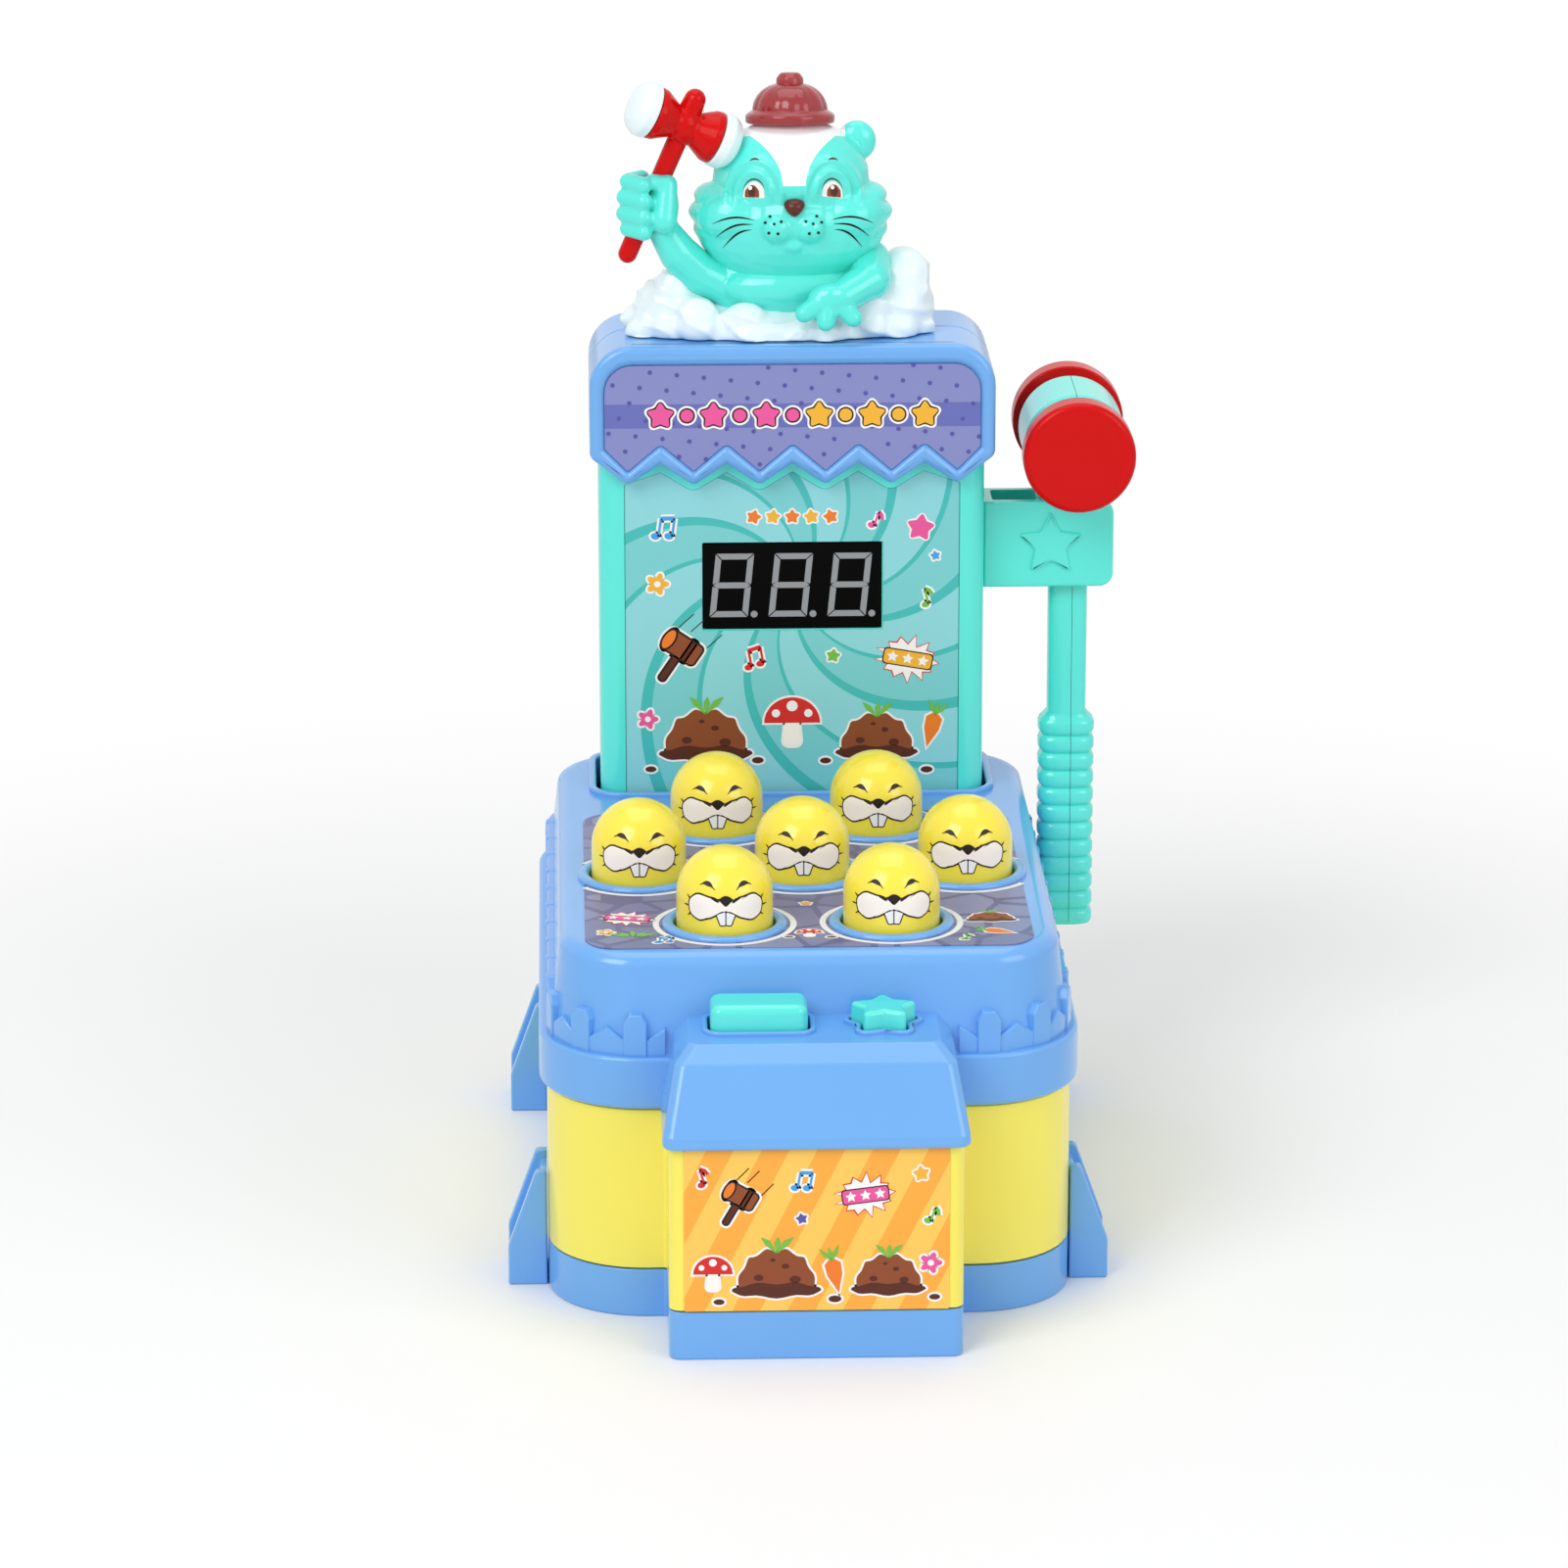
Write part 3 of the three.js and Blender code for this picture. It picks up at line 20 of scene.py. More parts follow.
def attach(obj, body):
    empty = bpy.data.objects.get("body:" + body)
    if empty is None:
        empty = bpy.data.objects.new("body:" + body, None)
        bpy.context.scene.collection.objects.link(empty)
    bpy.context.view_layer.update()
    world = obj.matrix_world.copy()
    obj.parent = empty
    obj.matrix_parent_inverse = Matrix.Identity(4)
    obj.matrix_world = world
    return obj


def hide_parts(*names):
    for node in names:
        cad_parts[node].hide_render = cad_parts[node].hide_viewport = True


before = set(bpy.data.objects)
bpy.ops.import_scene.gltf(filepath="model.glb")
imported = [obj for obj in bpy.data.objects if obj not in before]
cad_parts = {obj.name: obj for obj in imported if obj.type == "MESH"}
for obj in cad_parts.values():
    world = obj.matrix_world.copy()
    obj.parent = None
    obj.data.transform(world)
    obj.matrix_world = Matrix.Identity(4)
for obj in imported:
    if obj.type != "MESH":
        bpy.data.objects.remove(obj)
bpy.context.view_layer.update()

LOG = logging.getLogger("mole_game")
MM = 0.001
Point = tuple[float, float]
Row = tuple[float, ...]
Outline = list[Point]
Wrap = Callable[[float, float, float], Vector]


class Plane(Enum):
    """How a drawing lies in the frame: the directions of its x, its y and its thickness."""

    TOP = ((1.0, 0.0, 0.0), (0.0, 1.0, 0.0), (0.0, 0.0, 1.0))
    FRONT = ((1.0, 0.0, 0.0), (0.0, 0.0, 1.0), (0.0, -1.0, 0.0))

    def place(self, x: float = 0.0, y: float = 0.0, z: float = 0.0) -> Matrix:
        """The matrix that lays a drawing in this plane, moved by x, y and z."""
        return Matrix.Translation((x, y, z)) @ Matrix(self.value).transposed().to_4x4()


class Ink(Enum):
    """Inks of the printed labels, as sRGB colours."""

    WHITE = "#F6F4F2"
    DARK = "#241512"
    BROWN = "#8F4C2C"
    SOIL = "#592B20"
    CREAM = "#FFF6EC"
    PINK = "#EA5A9E"
    ORANGE = "#EE7F2B"
    GOLD = "#F1B53A"
    RED = "#D62F2C"
    BLUE = "#4AA3E2"
    GREEN = "#74BE4C"
    LILAC = "#6A70B8"
    VIOLET = "#5A57A6"

    @property
    def slot(self) -> int:
        """The material slot of this ink on a printed piece, whose base is slot 0."""
        return 1 + list(Ink).index(self)


def linear(code: str) -> tuple[float, float, float, float]:
    """The linear colour of an sRGB code.

    Args:
        code: Six hexadecimal digits after a hash.

    Returns:
        Red, green, blue and an alpha of 1.
    """
    parts = [int(code[i:i + 2], 16) / 255 for i in (1, 3, 5)]
    red, green, blue = (c / 12.92 if c <= 0.04045 else ((c + 0.055) / 1.055) ** 2.4 for c in parts)
    return red, green, blue, 1.0


class Draw:
    """Outlines in millimetres, each a list of points that goes anticlockwise."""

    least_mitre = 0.35

    @staticmethod
    def bent(corners: Sequence[Sequence[float]], steps: int = 6, closed: bool = False) -> list[Vector]:
        """A path whose corners are rounded.

        Args:
            corners: The coordinates of each corner, and then its radius.
            steps: Pieces in each arc.
            closed: Whether the last corner joins the first.

        Returns:
            The points of the path.
        """
        path = []
        count = len(corners)
        for i, corner in enumerate(corners):
            here, radius = Vector(corner[:-1]), corner[-1]
            if radius <= 0 or (not closed and i in (0, count - 1)):
                path.append(here)
                continue
            back = Vector(corners[i - 1][:-1]) - here
            on = Vector(corners[(i + 1) % count][:-1]) - here
            half = back.angle(on) / 2
            before, after = corners[i - 1][-1], corners[(i + 1) % count][-1]
            reach = min(radius / math.tan(half), back.length * radius / (radius + before),
                        on.length * radius / (radius + after))
            radius = reach * math.tan(half)
            middle = here + (back.normalized() + on.normalized()).normalized() * radius / math.sin(half)
            start = here + back.normalized() * reach - middle
            end = here + on.normalized() * reach - middle
            sweep = start.angle(end)
            for step in range(steps + 1):
                share = step / steps
                swing = start * math.sin((1 - share) * sweep) + end * math.sin(share * sweep)
                path.append(middle + swing / math.sin(sweep))
        return path

    @staticmethod
    def mirrored(corners: Sequence[Row]) -> list[Row]:
        """The same corners on the other side, in the order that goes on round the outline."""
        return [(-x, y, radius) for x, y, radius in reversed(corners)]

    @staticmethod
    def ring(outline: Outline, level: float) -> list[Vector]:
        """The points of an outline at a level."""
        return [Vector((x, y, level)) for x, y in outline]

    @staticmethod
    def filleted(corners: Sequence[Sequence[float]], steps: int = 6) -> Outline:
        """A closed outline with rounded corners.

        Args:
            corners: x, y and radius of each corner, anticlockwise.
            steps: Pieces in each arc.

        Returns:
            The outline.
        """
        return [(p.x, p.y) for p in Draw.bent(corners, steps, closed=True)]

    @staticmethod
    def rounded(x0: float, x1: float, y0: float, y1: float, radius: float, steps: int = 8) -> Outline:
        """A rectangle from x0 to x1 and y0 to y1 with round corners."""
        return Draw.filleted([(x1, y0, radius), (x1, y1, radius), (x0, y1, radius), (x0, y0, radius)], steps)

    @staticmethod
    def ellipse(x: float, y: float, across: float, up: float = 0.0, steps: int = 40) -> Outline:
        """An ellipse about x and y, a circle where up is left out."""
        angles = [i / steps * math.tau for i in range(steps)]
        return [(x + across * math.cos(a), y + (up or across) * math.sin(a)) for a in angles]

    @staticmethod
    def star(x: float, y: float, radius: float, inner_share: float = 0.56, tip: float = 0.0,
             turn: float = 0.0, points: int = 5) -> Outline:
        """A star with one point up.

        Args:
            x: Its middle, across.
            y: Its middle, up.
            radius: Reach of the points.
            inner_share: Reach of the notches as a share of the radius.
            tip: Radius that rounds points and notches.
            turn: Angle in degrees that it is turned by.
            points: How many points it has.

        Returns:
            The outline.
        """
        corners = []
        for i in range(2 * points):
            reach = radius * inner_share if i % 2 else radius
            angle = math.pi / 2 + math.radians(turn) + i * math.pi / points
            corners.append((x + reach * math.cos(angle), y + reach * math.sin(angle), tip))
        return Draw.filleted(corners, 4)

    @staticmethod
    def inset(outline: Outline, distance: float) -> Outline:
        """An outline drawn in by a distance, or let out where the distance is negative."""
        drawn = []
        for i, (x, y) in enumerate(outline):
            before = Vector((x - outline[i - 1][0], y - outline[i - 1][1]))
            after_x, after_y = outline[(i + 1) % len(outline)]
            after = Vector((after_x - x, after_y - y))
            first = Vector((-before.y, before.x)).normalized()
            second = Vector((-after.y, after.x)).normalized()
            mitre = (first + second) / max(1 + first.dot(second), Draw.least_mitre)
            drawn.append((x + mitre.x * distance, y + mitre.y * distance))
        return drawn

    @staticmethod
    def holds(outline: Outline, x: float, y: float, margin: float) -> bool:
        """Whether a place lies inside an outline, a margin from its edge."""
        inside = False
        for i, (bx, by) in enumerate(outline):
            ax, ay = outline[i - 1]
            if (ay > y) != (by > y) and x < (bx - ax) * (y - ay) / (by - ay) + ax:
                inside = not inside
            if (Vector((bx, by)) - Vector((x, y))).length < margin:
                return False
        return inside

    @staticmethod
    def turned(outline: Iterable[Point], x: float, y: float, degrees: float = 0.0,
               size: float = 1.0) -> Outline:
        """An outline drawn about the origin, sized, turned and moved to x and y."""
        c, s = math.cos(math.radians(degrees)), math.sin(math.radians(degrees))
        return [(x + size * (c * px - s * py), y + size * (s * px + c * py)) for px, py in outline]


class Form:
    """A mesh in the making, in millimetres, with a material slot for each face."""

    doubled = 0.002
    sliver = 0.001

    def __init__(self) -> None:
        """Starts empty."""
        self.points: list[Vector] = []
        self.faces: list[tuple[int, ...]] = []
        self.slots: list[int] = []

    def add(self, points: Iterable[Vector], faces: Iterable[tuple[int, ...]], slot: int = 0) -> None:
        """Adds points and the faces that join them."""
        start = len(self.points)
        self.points.extend(points)
        for face in faces:
            self.faces.append(tuple(start + i for i in face))
            self.slots.append(slot)

    def loft(self, rings: Sequence[Sequence[Vector]], slot: int = 0, closed: bool = True,
             capped: bool = False) -> None:
        """Adds the skin between rings of equal count.

        Args:
            rings: Rings that run anticlockwise, seen from where the last one lies.
            slot: Material slot.
            closed: Whether each ring's last point joins its first.
            capped: Whether the first and the last ring are filled.
        """
        count = len(rings[0])
        faces = []
        for level in range(len(rings) - 1):
            for i in range(count if closed else count - 1):
                a, b = level * count + i, level * count + (i + 1) % count
                faces.append((a, b, b + count, a + count))
        if capped:
            last = (len(rings) - 1) * count
            faces.append(tuple(reversed(range(count))))
            faces.append(tuple(range(last, last + count)))
        self.add([p for ring in rings for p in ring], faces, slot)

    def cap(self, loops: Sequence[Outline], level: float, place: Matrix, up: bool = True,
            slot: int = 0) -> None:
        """Adds a flat face with holes.

        Args:
            loops: The outer outline, and then the holes.
            level: Where it lies along its plane's thickness.
            place: The plane's matrix.
            up: Whether it faces the way that the thickness grows.
            slot: Material slot.
        """
        flat = [Draw.ring(loop, level) for loop in loops]
        points = [p for loop in flat for p in loop]
        faces = []
        for a, b, c in tessellate_polygon(flat):
            turn = (points[b] - points[a]).cross(points[c] - points[a]).z
            faces.append((a, b, c) if (turn > 0) == up else (a, c, b))
        self.add((place @ p for p in points), faces, slot)

    def plate(self, outline: Outline, base: float, top: float, place: Matrix = Plane.TOP.place(),
              holes: Sequence[Outline] = (), edge: float = 0.0, foot: float = 0.0, slot: int = 0) -> "Form":
        """Adds a plate with rounded edges.

        Args:
            outline: Its outer outline.
            base: Its lower level along the plane's thickness.
            top: Its upper level.
            place: The plane's matrix.
            holes: Outlines of the holes through it.
            edge: Radius round its top edges.
            foot: Radius round its bottom edges.
            slot: Material slot.

        Returns:
            The form.
        """
        turns = [math.radians(angle) for angle in (0, 30, 60, 90)]
        low, high = [(0.0, base)], [(0.0, top)]
        if foot:
            low = [(foot * (1 - math.sin(t)), base + foot * (1 - math.cos(t))) for t in turns]
        if edge:
            high = [(edge * (1 - math.cos(t)), top - edge * (1 - math.sin(t))) for t in turns]
        rise = low + high
        for loop, side in ((outline, 1), *((hole, -1) for hole in holes)):
            self.loft([[place @ p for p in Draw.ring(Draw.inset(loop, side * d), z)]
                       for d, z in rise[::side]], slot)
        for inset, level, up in ((edge, top, True), (foot, base, False)):
            loops = [Draw.inset(outline, inset), *(Draw.inset(hole, -inset) for hole in holes)]
            self.cap(loops, level, place, up, slot)
        return self

    def slab(self, outline: Outline, near: float, far: float, holes: Sequence[Outline] = (),
             edge: float = 0.0, foot: float = 0.0) -> "Form":
        """Adds a plate that faces the front, from a near to a far depth."""
        return self.plate(outline, -far, -near, Plane.FRONT.place(), holes, edge, foot)

    def turned(self, profile: Iterable[Sequence[float]], place: Matrix, steps: int = 64, slot: int = 0,
               flutes: int = 0, depth: float = 0.0) -> None:
        """Adds a solid of revolution.

        Args:
            profile: Radius and height of each point, from the bottom up the outside.
            place: The matrix that carries its axis, which is Z.
            steps: Points in each ring.
            slot: Material slot.
            flutes: How many flutes go round it.
            depth: Depth of the flutes as a share of the radius.
        """
        rings = []
        for radius, height in profile:
            ring = []
            for i in range(steps):
                angle = i / steps * math.tau
                reach = radius * (1 - depth * (0.5 + 0.5 * math.cos(flutes * angle)) ** 3)
                ring.append(place @ Vector((reach * math.cos(angle), reach * math.sin(angle), height)))
            rings.append(ring)
        self.loft(rings, slot)

    def ball(self, middle: Sequence[float], radii: Sequence[float], slot: int = 0, steps: int = 24,
             crown: float = 1.0) -> None:
        """Adds an ellipsoid about a middle, whose upper half is lower by the share crown."""
        rise = [i / (steps // 2) * math.pi for i in range(steps // 2 + 1)]
        place = Matrix.Translation(middle) @ Matrix.Diagonal((*radii, 1.0))
        self.turned([(math.sin(t), -math.cos(t) * (crown if t > math.pi / 2 else 1.0)) for t in rise],
                    place, steps, slot)

    def limb(self, start: Sequence[float], end: Sequence[float], first: float, last: float,
             slot: int = 0, steps: int = 20) -> None:
        """Adds a round bar with a radius at each end and rounded ends."""
        along = Vector(end) - Vector(start)
        quarter = [math.radians(angle) for angle in range(0, 91, 15)]
        profile = [(first * math.sin(t), -first * math.cos(t)) for t in quarter]
        profile += [(last * math.cos(t), along.length + last * math.sin(t)) for t in quarter]
        turn = Vector((0, 0, 1)).rotation_difference(along).to_matrix().to_4x4()
        self.turned(profile, Matrix.Translation(start) @ turn, steps, slot)

    def build(self, name: str) -> bpy.types.Object:
        """Makes the object, in metres, with its doubled points merged."""
        mesh = bpy.data.meshes.new(name)
        mesh.from_pydata([p * MM for p in self.points], [], self.faces)
        mesh.polygons.foreach_set("material_index", self.slots)
        shape = bmesh.new()
        shape.from_mesh(mesh)
        bmesh.ops.remove_doubles(shape, verts=shape.verts, dist=self.doubled * MM)
        bmesh.ops.dissolve_degenerate(shape, edges=shape.edges, dist=self.sliver * MM)
        shape.to_mesh(mesh)
        shape.free()
        piece = bpy.data.objects.new(name, mesh)
        bpy.context.scene.collection.objects.link(piece)
        return piece


def bake(piece: bpy.types.Object) -> None:
    """Applies a piece's modifiers to its mesh."""
    mesh = bpy.data.meshes.new_from_object(piece.evaluated_get(bpy.context.evaluated_depsgraph_get()))
    piece.modifiers.clear()
    piece.data = mesh


def smooth(piece: bpy.types.Object, sharp: float) -> None:
    """Shades a piece smooth, except at edges sharper than an angle in degrees, with flats kept flat."""
    piece.data.shade_smooth()
    piece.data.set_sharp_from_angle(angle=math.radians(sharp))
    weighted = piece.modifiers.new("Flats", "WEIGHTED_NORMAL")
    weighted.keep_sharp = True
    bake(piece)


def carve(piece: bpy.types.Object, tools: Sequence[Form]) -> None:
    """Cuts forms out of a piece."""
    cutters = [tool.build("cutter") for tool in tools]
    for cutter in cutters:
        step = piece.modifiers.new("Cut", "BOOLEAN")
        step.object = cutter
        step.operation = "DIFFERENCE"
        step.solver = "EXACT"
        step.use_self = True
    bake(piece)
    for cutter in cutters:
        bpy.data.objects.remove(cutter)


def fuse(piece: bpy.types.Object, voxel: float, passes: int) -> None:
    """Melts the overlapping forms of a piece into one skin.

    Args:
        piece: The piece.
        voxel: Size of the remeshed faces, in millimetres.
        passes: How often the skin is smoothed.
    """
    melt = piece.modifiers.new("Melt", "REMESH")
    melt.mode = "VOXEL"
    melt.voxel_size = voxel * MM
    calm = piece.modifiers.new("Calm", "SMOOTH")
    calm.factor = 0.5
    calm.iterations = passes
    bake(piece)


def displace(piece: bpy.types.Object, height: Callable[[Vector], float]) -> None:
    """Lifts the skin of a piece along its normals by the height at each place, in millimetres."""
    normals = [vertex.normal.copy() for vertex in piece.data.vertices]
    for vertex, normal in zip(piece.data.vertices, normals):
        vertex.co += normal * height(vertex.co / MM) * MM


class Nodes:
    """A node tree with short ways to add and link nodes."""

    def __init__(self, tree: bpy.types.NodeTree) -> None:
        """Takes the tree and empties it."""
        self.tree = tree
        tree.nodes.clear()

    def add(self, kind: str, inputs: dict | None = None, **settings: object) -> bpy.types.Node:
        """Adds a node.

        Args:
            kind: The node's type.
            inputs: A value or an output socket for each named or numbered input.
            settings: Properties of the node.

        Returns:
            The node.
        """
        node = self.tree.nodes.new(kind)
        for key, value in settings.items():
            setattr(node, key, value)
        for key, value in (inputs or {}).items():
            if isinstance(value, bpy.types.NodeSocket):
                self.tree.links.new(value, node.inputs[key])
            else:
                node.inputs[key].default_value = value
        return node

    def math(self, operation: str, *values: object) -> bpy.types.NodeSocket:
        """The result of a math operation on values or sockets."""
        return self.add("ShaderNodeMath", dict(enumerate(values)), operation=operation).outputs[0]

    def plus(self, first: object, second: object) -> bpy.types.NodeSocket:
        """The sum of two values or sockets."""
        return self.math("ADD", first, second)

    def minus(self, first: object, second: object) -> bpy.types.NodeSocket:
        """The difference of two values or sockets."""
        return self.math("SUBTRACT", first, second)

    def times(self, first: object, second: object) -> bpy.types.NodeSocket:
        """The product of two values or sockets."""
        return self.math("MULTIPLY", first, second)

    def mix(self, share: object, first: object, second: object) -> bpy.types.NodeSocket:
        """The colour between two colours at a share."""
        return self.add("ShaderNodeMix", {0: share, 6: first, 7: second}, data_type="RGBA").outputs[2]

    def noise(self, **inputs: object) -> bpy.types.NodeSocket:
        """Noise over the surface."""
        return self.add("ShaderNodeTexNoise", {"Vector": self.where(), **inputs}).outputs[0]

    def where(self) -> bpy.types.NodeSocket:
        """The place of the surface in the frame, in metres."""
        return self.add("ShaderNodeTexCoord").outputs["Object"]

    def place(self) -> list[bpy.types.NodeSocket]:
        """Its x, y and z apart."""
        return list(self.add("ShaderNodeSeparateXYZ", {0: self.where()}).outputs)


@dataclass(frozen=True)
class MouldedSkin:
    """The group that gives moulded plastic its drift of tone, its handling marks and its faint waviness.

    Each row of noise holds its scale as a share of the group's, and its detail.
    """

    name: str = "Moulded skin"
    inputs: tuple[str, ...] = ("Drift", "Roughness", "Smudge", "Scale")
    outputs: tuple[str, ...] = ("Roughness", "Height")
    tone_detail: float = 3.0
    tone_level: float = 0.35
    marks: Point = (6.0, 5.0)
    marks_roughness: float = 0.62
    marks_level: float = 0.5
    wave: Point = (4.0, 1.0)
    darker_value: float = 0.86
    darker_saturation: float = 1.06

    def group(self) -> bpy.types.NodeTree:
        """The group, made on first use."""
        found = bpy.data.node_groups.get(self.name)
        if found:
            return found
        tree = bpy.data.node_groups.new(self.name, "ShaderNodeTree")
        for way, names in (("INPUT", self.inputs), ("OUTPUT", self.outputs)):
            tree.interface.new_socket("Colour", in_out=way, socket_type="NodeSocketColor")
            for name in names:
                tree.interface.new_socket(name, in_out=way, socket_type="NodeSocketFloat")
        nodes = Nodes(tree)
        entry = nodes.add("NodeGroupInput").outputs
        tone = nodes.noise(Scale=entry["Scale"], Detail=self.tone_detail)
        share, detail = self.marks
        marks = nodes.noise(Scale=nodes.times(entry["Scale"], share), Detail=detail,
                            Roughness=self.marks_roughness)
        share, detail = self.wave
        wave = nodes.noise(Scale=nodes.times(entry["Scale"], share), Detail=detail)
        darker = nodes.add("ShaderNodeHueSaturation", {
            "Value": self.darker_value, "Saturation": self.darker_saturation,
            "Color": entry["Colour"]}).outputs[0]
        worn = nodes.math("MAXIMUM", nodes.times(nodes.minus(tone, self.tone_level), entry["Drift"]), 0.0)
        smudge = nodes.times(nodes.minus(marks, self.marks_level), entry["Smudge"])
        nodes.add("NodeGroupOutput", {"Colour": nodes.mix(worn, entry["Colour"], darker),
                                      "Roughness": nodes.plus(entry["Roughness"], smudge), "Height": wave})
        return tree


@dataclass(frozen=True)
class Finish:
    """A surface finish of glossy moulded plastic, and the base of the other finishes."""

    name: str
    colour: str
    roughness: float = 0.19
    drift: float = 0.4
    smudge: float = 0.1
    scale: float = 28.0
    peel: float = 0.02
    peel_depth: float = 0.0004
    coat: float = 0.2
    coat_roughness: float = 0.08
    shine: float = 0.5
    metallic: float = 0.0
    clear: float = 0.0
    ior: float = 1.5

    def material(self) -> bpy.types.Material:
        """The finish's material, made on first use."""
        found = bpy.data.materials.get(self.name)
        if found:
            return found
        material = bpy.data.materials.new(self.name)
        material.use_nodes = True
        nodes = Nodes(material.node_tree)
        skin = nodes.add("ShaderNodeGroup", {
            "Colour": self.pattern(nodes), "Drift": self.drift, "Roughness": self.roughness,
            "Smudge": self.smudge, "Scale": self.scale}, node_tree=MouldedSkin().group()).outputs
        bump = nodes.add("ShaderNodeBump", {"Strength": self.peel, "Distance": self.peel_depth,
                                            "Height": skin["Height"]})
        shader = nodes.add("ShaderNodeBsdfPrincipled", {
            "Base Color": skin["Colour"], "Roughness": skin["Roughness"], "Normal": bump.outputs[0],
            "Metallic": self.metallic, "Coat Weight": self.coat, "Coat Roughness": self.coat_roughness,
            "Specular IOR Level": self.shine, "Transmission Weight": self.clear, "IOR": self.ior})
        nodes.add("ShaderNodeOutputMaterial", {"Surface": shader.outputs[0]})
        return material

    def pattern(self, nodes: Nodes) -> bpy.types.NodeSocket | Row:
        """The colour before wear, plain here."""
        return linear(self.colour)


@dataclass(frozen=True)
class TintedLens(Finish):
    """Translucent tinted plastic."""

    clear: float = 0.5
    ior: float = 1.45


@dataclass(frozen=True)
class SwirlPrint(Finish):
    """A label of curved rays round a point behind the score window.

    Each ray bends by the twist, in degrees for a millimetre. It begins with a line, and the stops are where
    its two colours and the line between them begin.
    """

    second: str = "#8FD7DD"
    line: str = "#46BDBA"
    middle: Point = (1.0, 121.0)
    rays: float = 7.0
    twist: float = 1.5
    whole_turns: float = 2.0
    stops: Row = (0.0, 0.09, 0.5, 0.55)

    def pattern(self, nodes: Nodes) -> bpy.types.NodeSocket:
        """Rays that bend as they go out."""
        x, _, z = nodes.place()
        across = nodes.minus(x, self.middle[0] * MM)
        up = nodes.minus(z, self.middle[1] * MM)
        reach = nodes.math("SQRT", nodes.plus(nodes.times(across, across), nodes.times(up, up)))
        angle = nodes.math("DIVIDE", nodes.math("ARCTAN2", up, across), math.tau)
        turns = nodes.plus(nodes.minus(angle, nodes.times(reach, self.twist / 360 / MM)), self.whole_turns)
        ramp = nodes.add("ShaderNodeValToRGB", {0: nodes.math("FRACT", nodes.times(turns, self.rays))})
        ramp.color_ramp.interpolation = "CONSTANT"
        for stop in self.stops[2:]:
            ramp.color_ramp.elements.new(stop)
        codes = (self.line, self.colour, self.line, self.second)
        for element, stop, code in zip(ramp.color_ramp.elements, self.stops, codes):
            element.position, element.color = stop, linear(code)
        return ramp.outputs[0]


@dataclass(frozen=True)
class PaintedHead(Finish):
    """Plastic with a white crown and a white blaze that narrows down to the nose.

    Its levels are measured square to a line that leans, along which the paint is laid on.
    """

    paint: str = "#F3F5F8"
    lean: float = 16.65
    middle: float = 0.4
    foot: float = 214.1
    crown: float = 225.2
    foot_half: float = 2.4
    spread: float = 6.6
    flare: float = 2.0
    rear: float = 61.0
    crown_half: float = 11.2

    def pattern(self, nodes: Nodes) -> bpy.types.NodeSocket:
        """The blaze and the crown over the plain colour."""
        x, y, z = nodes.place()
        lean = math.radians(self.lean)
        away = nodes.math("ABSOLUTE", nodes.minus(x, self.middle * MM))
        level = nodes.plus(nodes.times(z, math.cos(lean)), nodes.times(y, math.sin(lean)))
        height = (self.crown - self.foot) * MM
        share = nodes.math("DIVIDE", nodes.minus(level, self.foot * MM), height)
        flare = nodes.math("POWER", nodes.math("MAXIMUM", share, 0.0), self.flare)
        half = nodes.plus(nodes.times(flare, self.spread * MM), self.foot_half * MM)
        ahead = nodes.times(nodes.math("GREATER_THAN", share, 0.0),
                            nodes.math("LESS_THAN", y, self.rear * MM))
        blaze = nodes.times(nodes.math("LESS_THAN", away, half), ahead)
        crown = nodes.times(nodes.math("GREATER_THAN", share, 1.0),
                            nodes.math("LESS_THAN", away, self.crown_half * MM))
        return nodes.mix(nodes.math("MAXIMUM", blaze, crown), linear(self.colour), linear(self.paint))


@dataclass(frozen=True)
class StripePrint(Finish):
    """A label of slanted stripes."""

    second: str = "#FAAC40"
    pitch: float = 11.0
    lean: float = 0.5
    share: float = 0.5
    whole_pitches: float = 20.0

    def pattern(self, nodes: Nodes) -> bpy.types.NodeSocket:
        """Stripes that lean to the right."""
        x, _, z = nodes.place()
        along = nodes.minus(x, nodes.times(z, self.lean))
        count = nodes.plus(nodes.math("DIVIDE", along, self.pitch * MM), self.whole_pitches)
        first = nodes.math("LESS_THAN", nodes.math("FRACT", count), self.share)
        return nodes.mix(first, linear(self.colour), linear(self.second))


@dataclass(frozen=True)
class StonePrint(Finish):
    """A label of flat stones with darker joints."""

    second: str = "#5F5E92"
    stones: float = 95.0
    tones: float = 0.55
    joint: float = 0.06

    def pattern(self, nodes: Nodes) -> bpy.types.NodeSocket:
        """Stones of a few close tones."""
        cells = {"Vector": nodes.where(), "Scale": self.stones}
        stone = nodes.add("ShaderNodeTexVoronoi", cells).outputs["Color"]
        edge = nodes.add("ShaderNodeTexVoronoi", cells, feature="DISTANCE_TO_EDGE").outputs[0]
        tone = nodes.add("ShaderNodeSeparateColor", {0: stone}).outputs[0]
        stones = nodes.mix(nodes.times(tone, self.tones), linear(self.colour), linear(self.second))
        return nodes.mix(nodes.math("LESS_THAN", edge, self.joint), stones, linear(self.second))


@dataclass(frozen=True)
class SolderMask(Finish):
    """A circuit board with copper tracks under its mask."""

    track: str = "#5BA86B"
    track_scale: float = 180.0
    track_width: float = 0.03

    def pattern(self, nodes: Nodes) -> bpy.types.NodeSocket:
        """Tracks in a lighter green."""
        mask = linear(self.colour)
        tracks = nodes.add("ShaderNodeTexBrick", {
            "Vector": nodes.where(), "Scale": self.track_scale, "Mortar Size": self.track_width,
            "Color1": mask, "Color2": mask, "Mortar": linear(self.track)})
        return tracks.outputs[0]


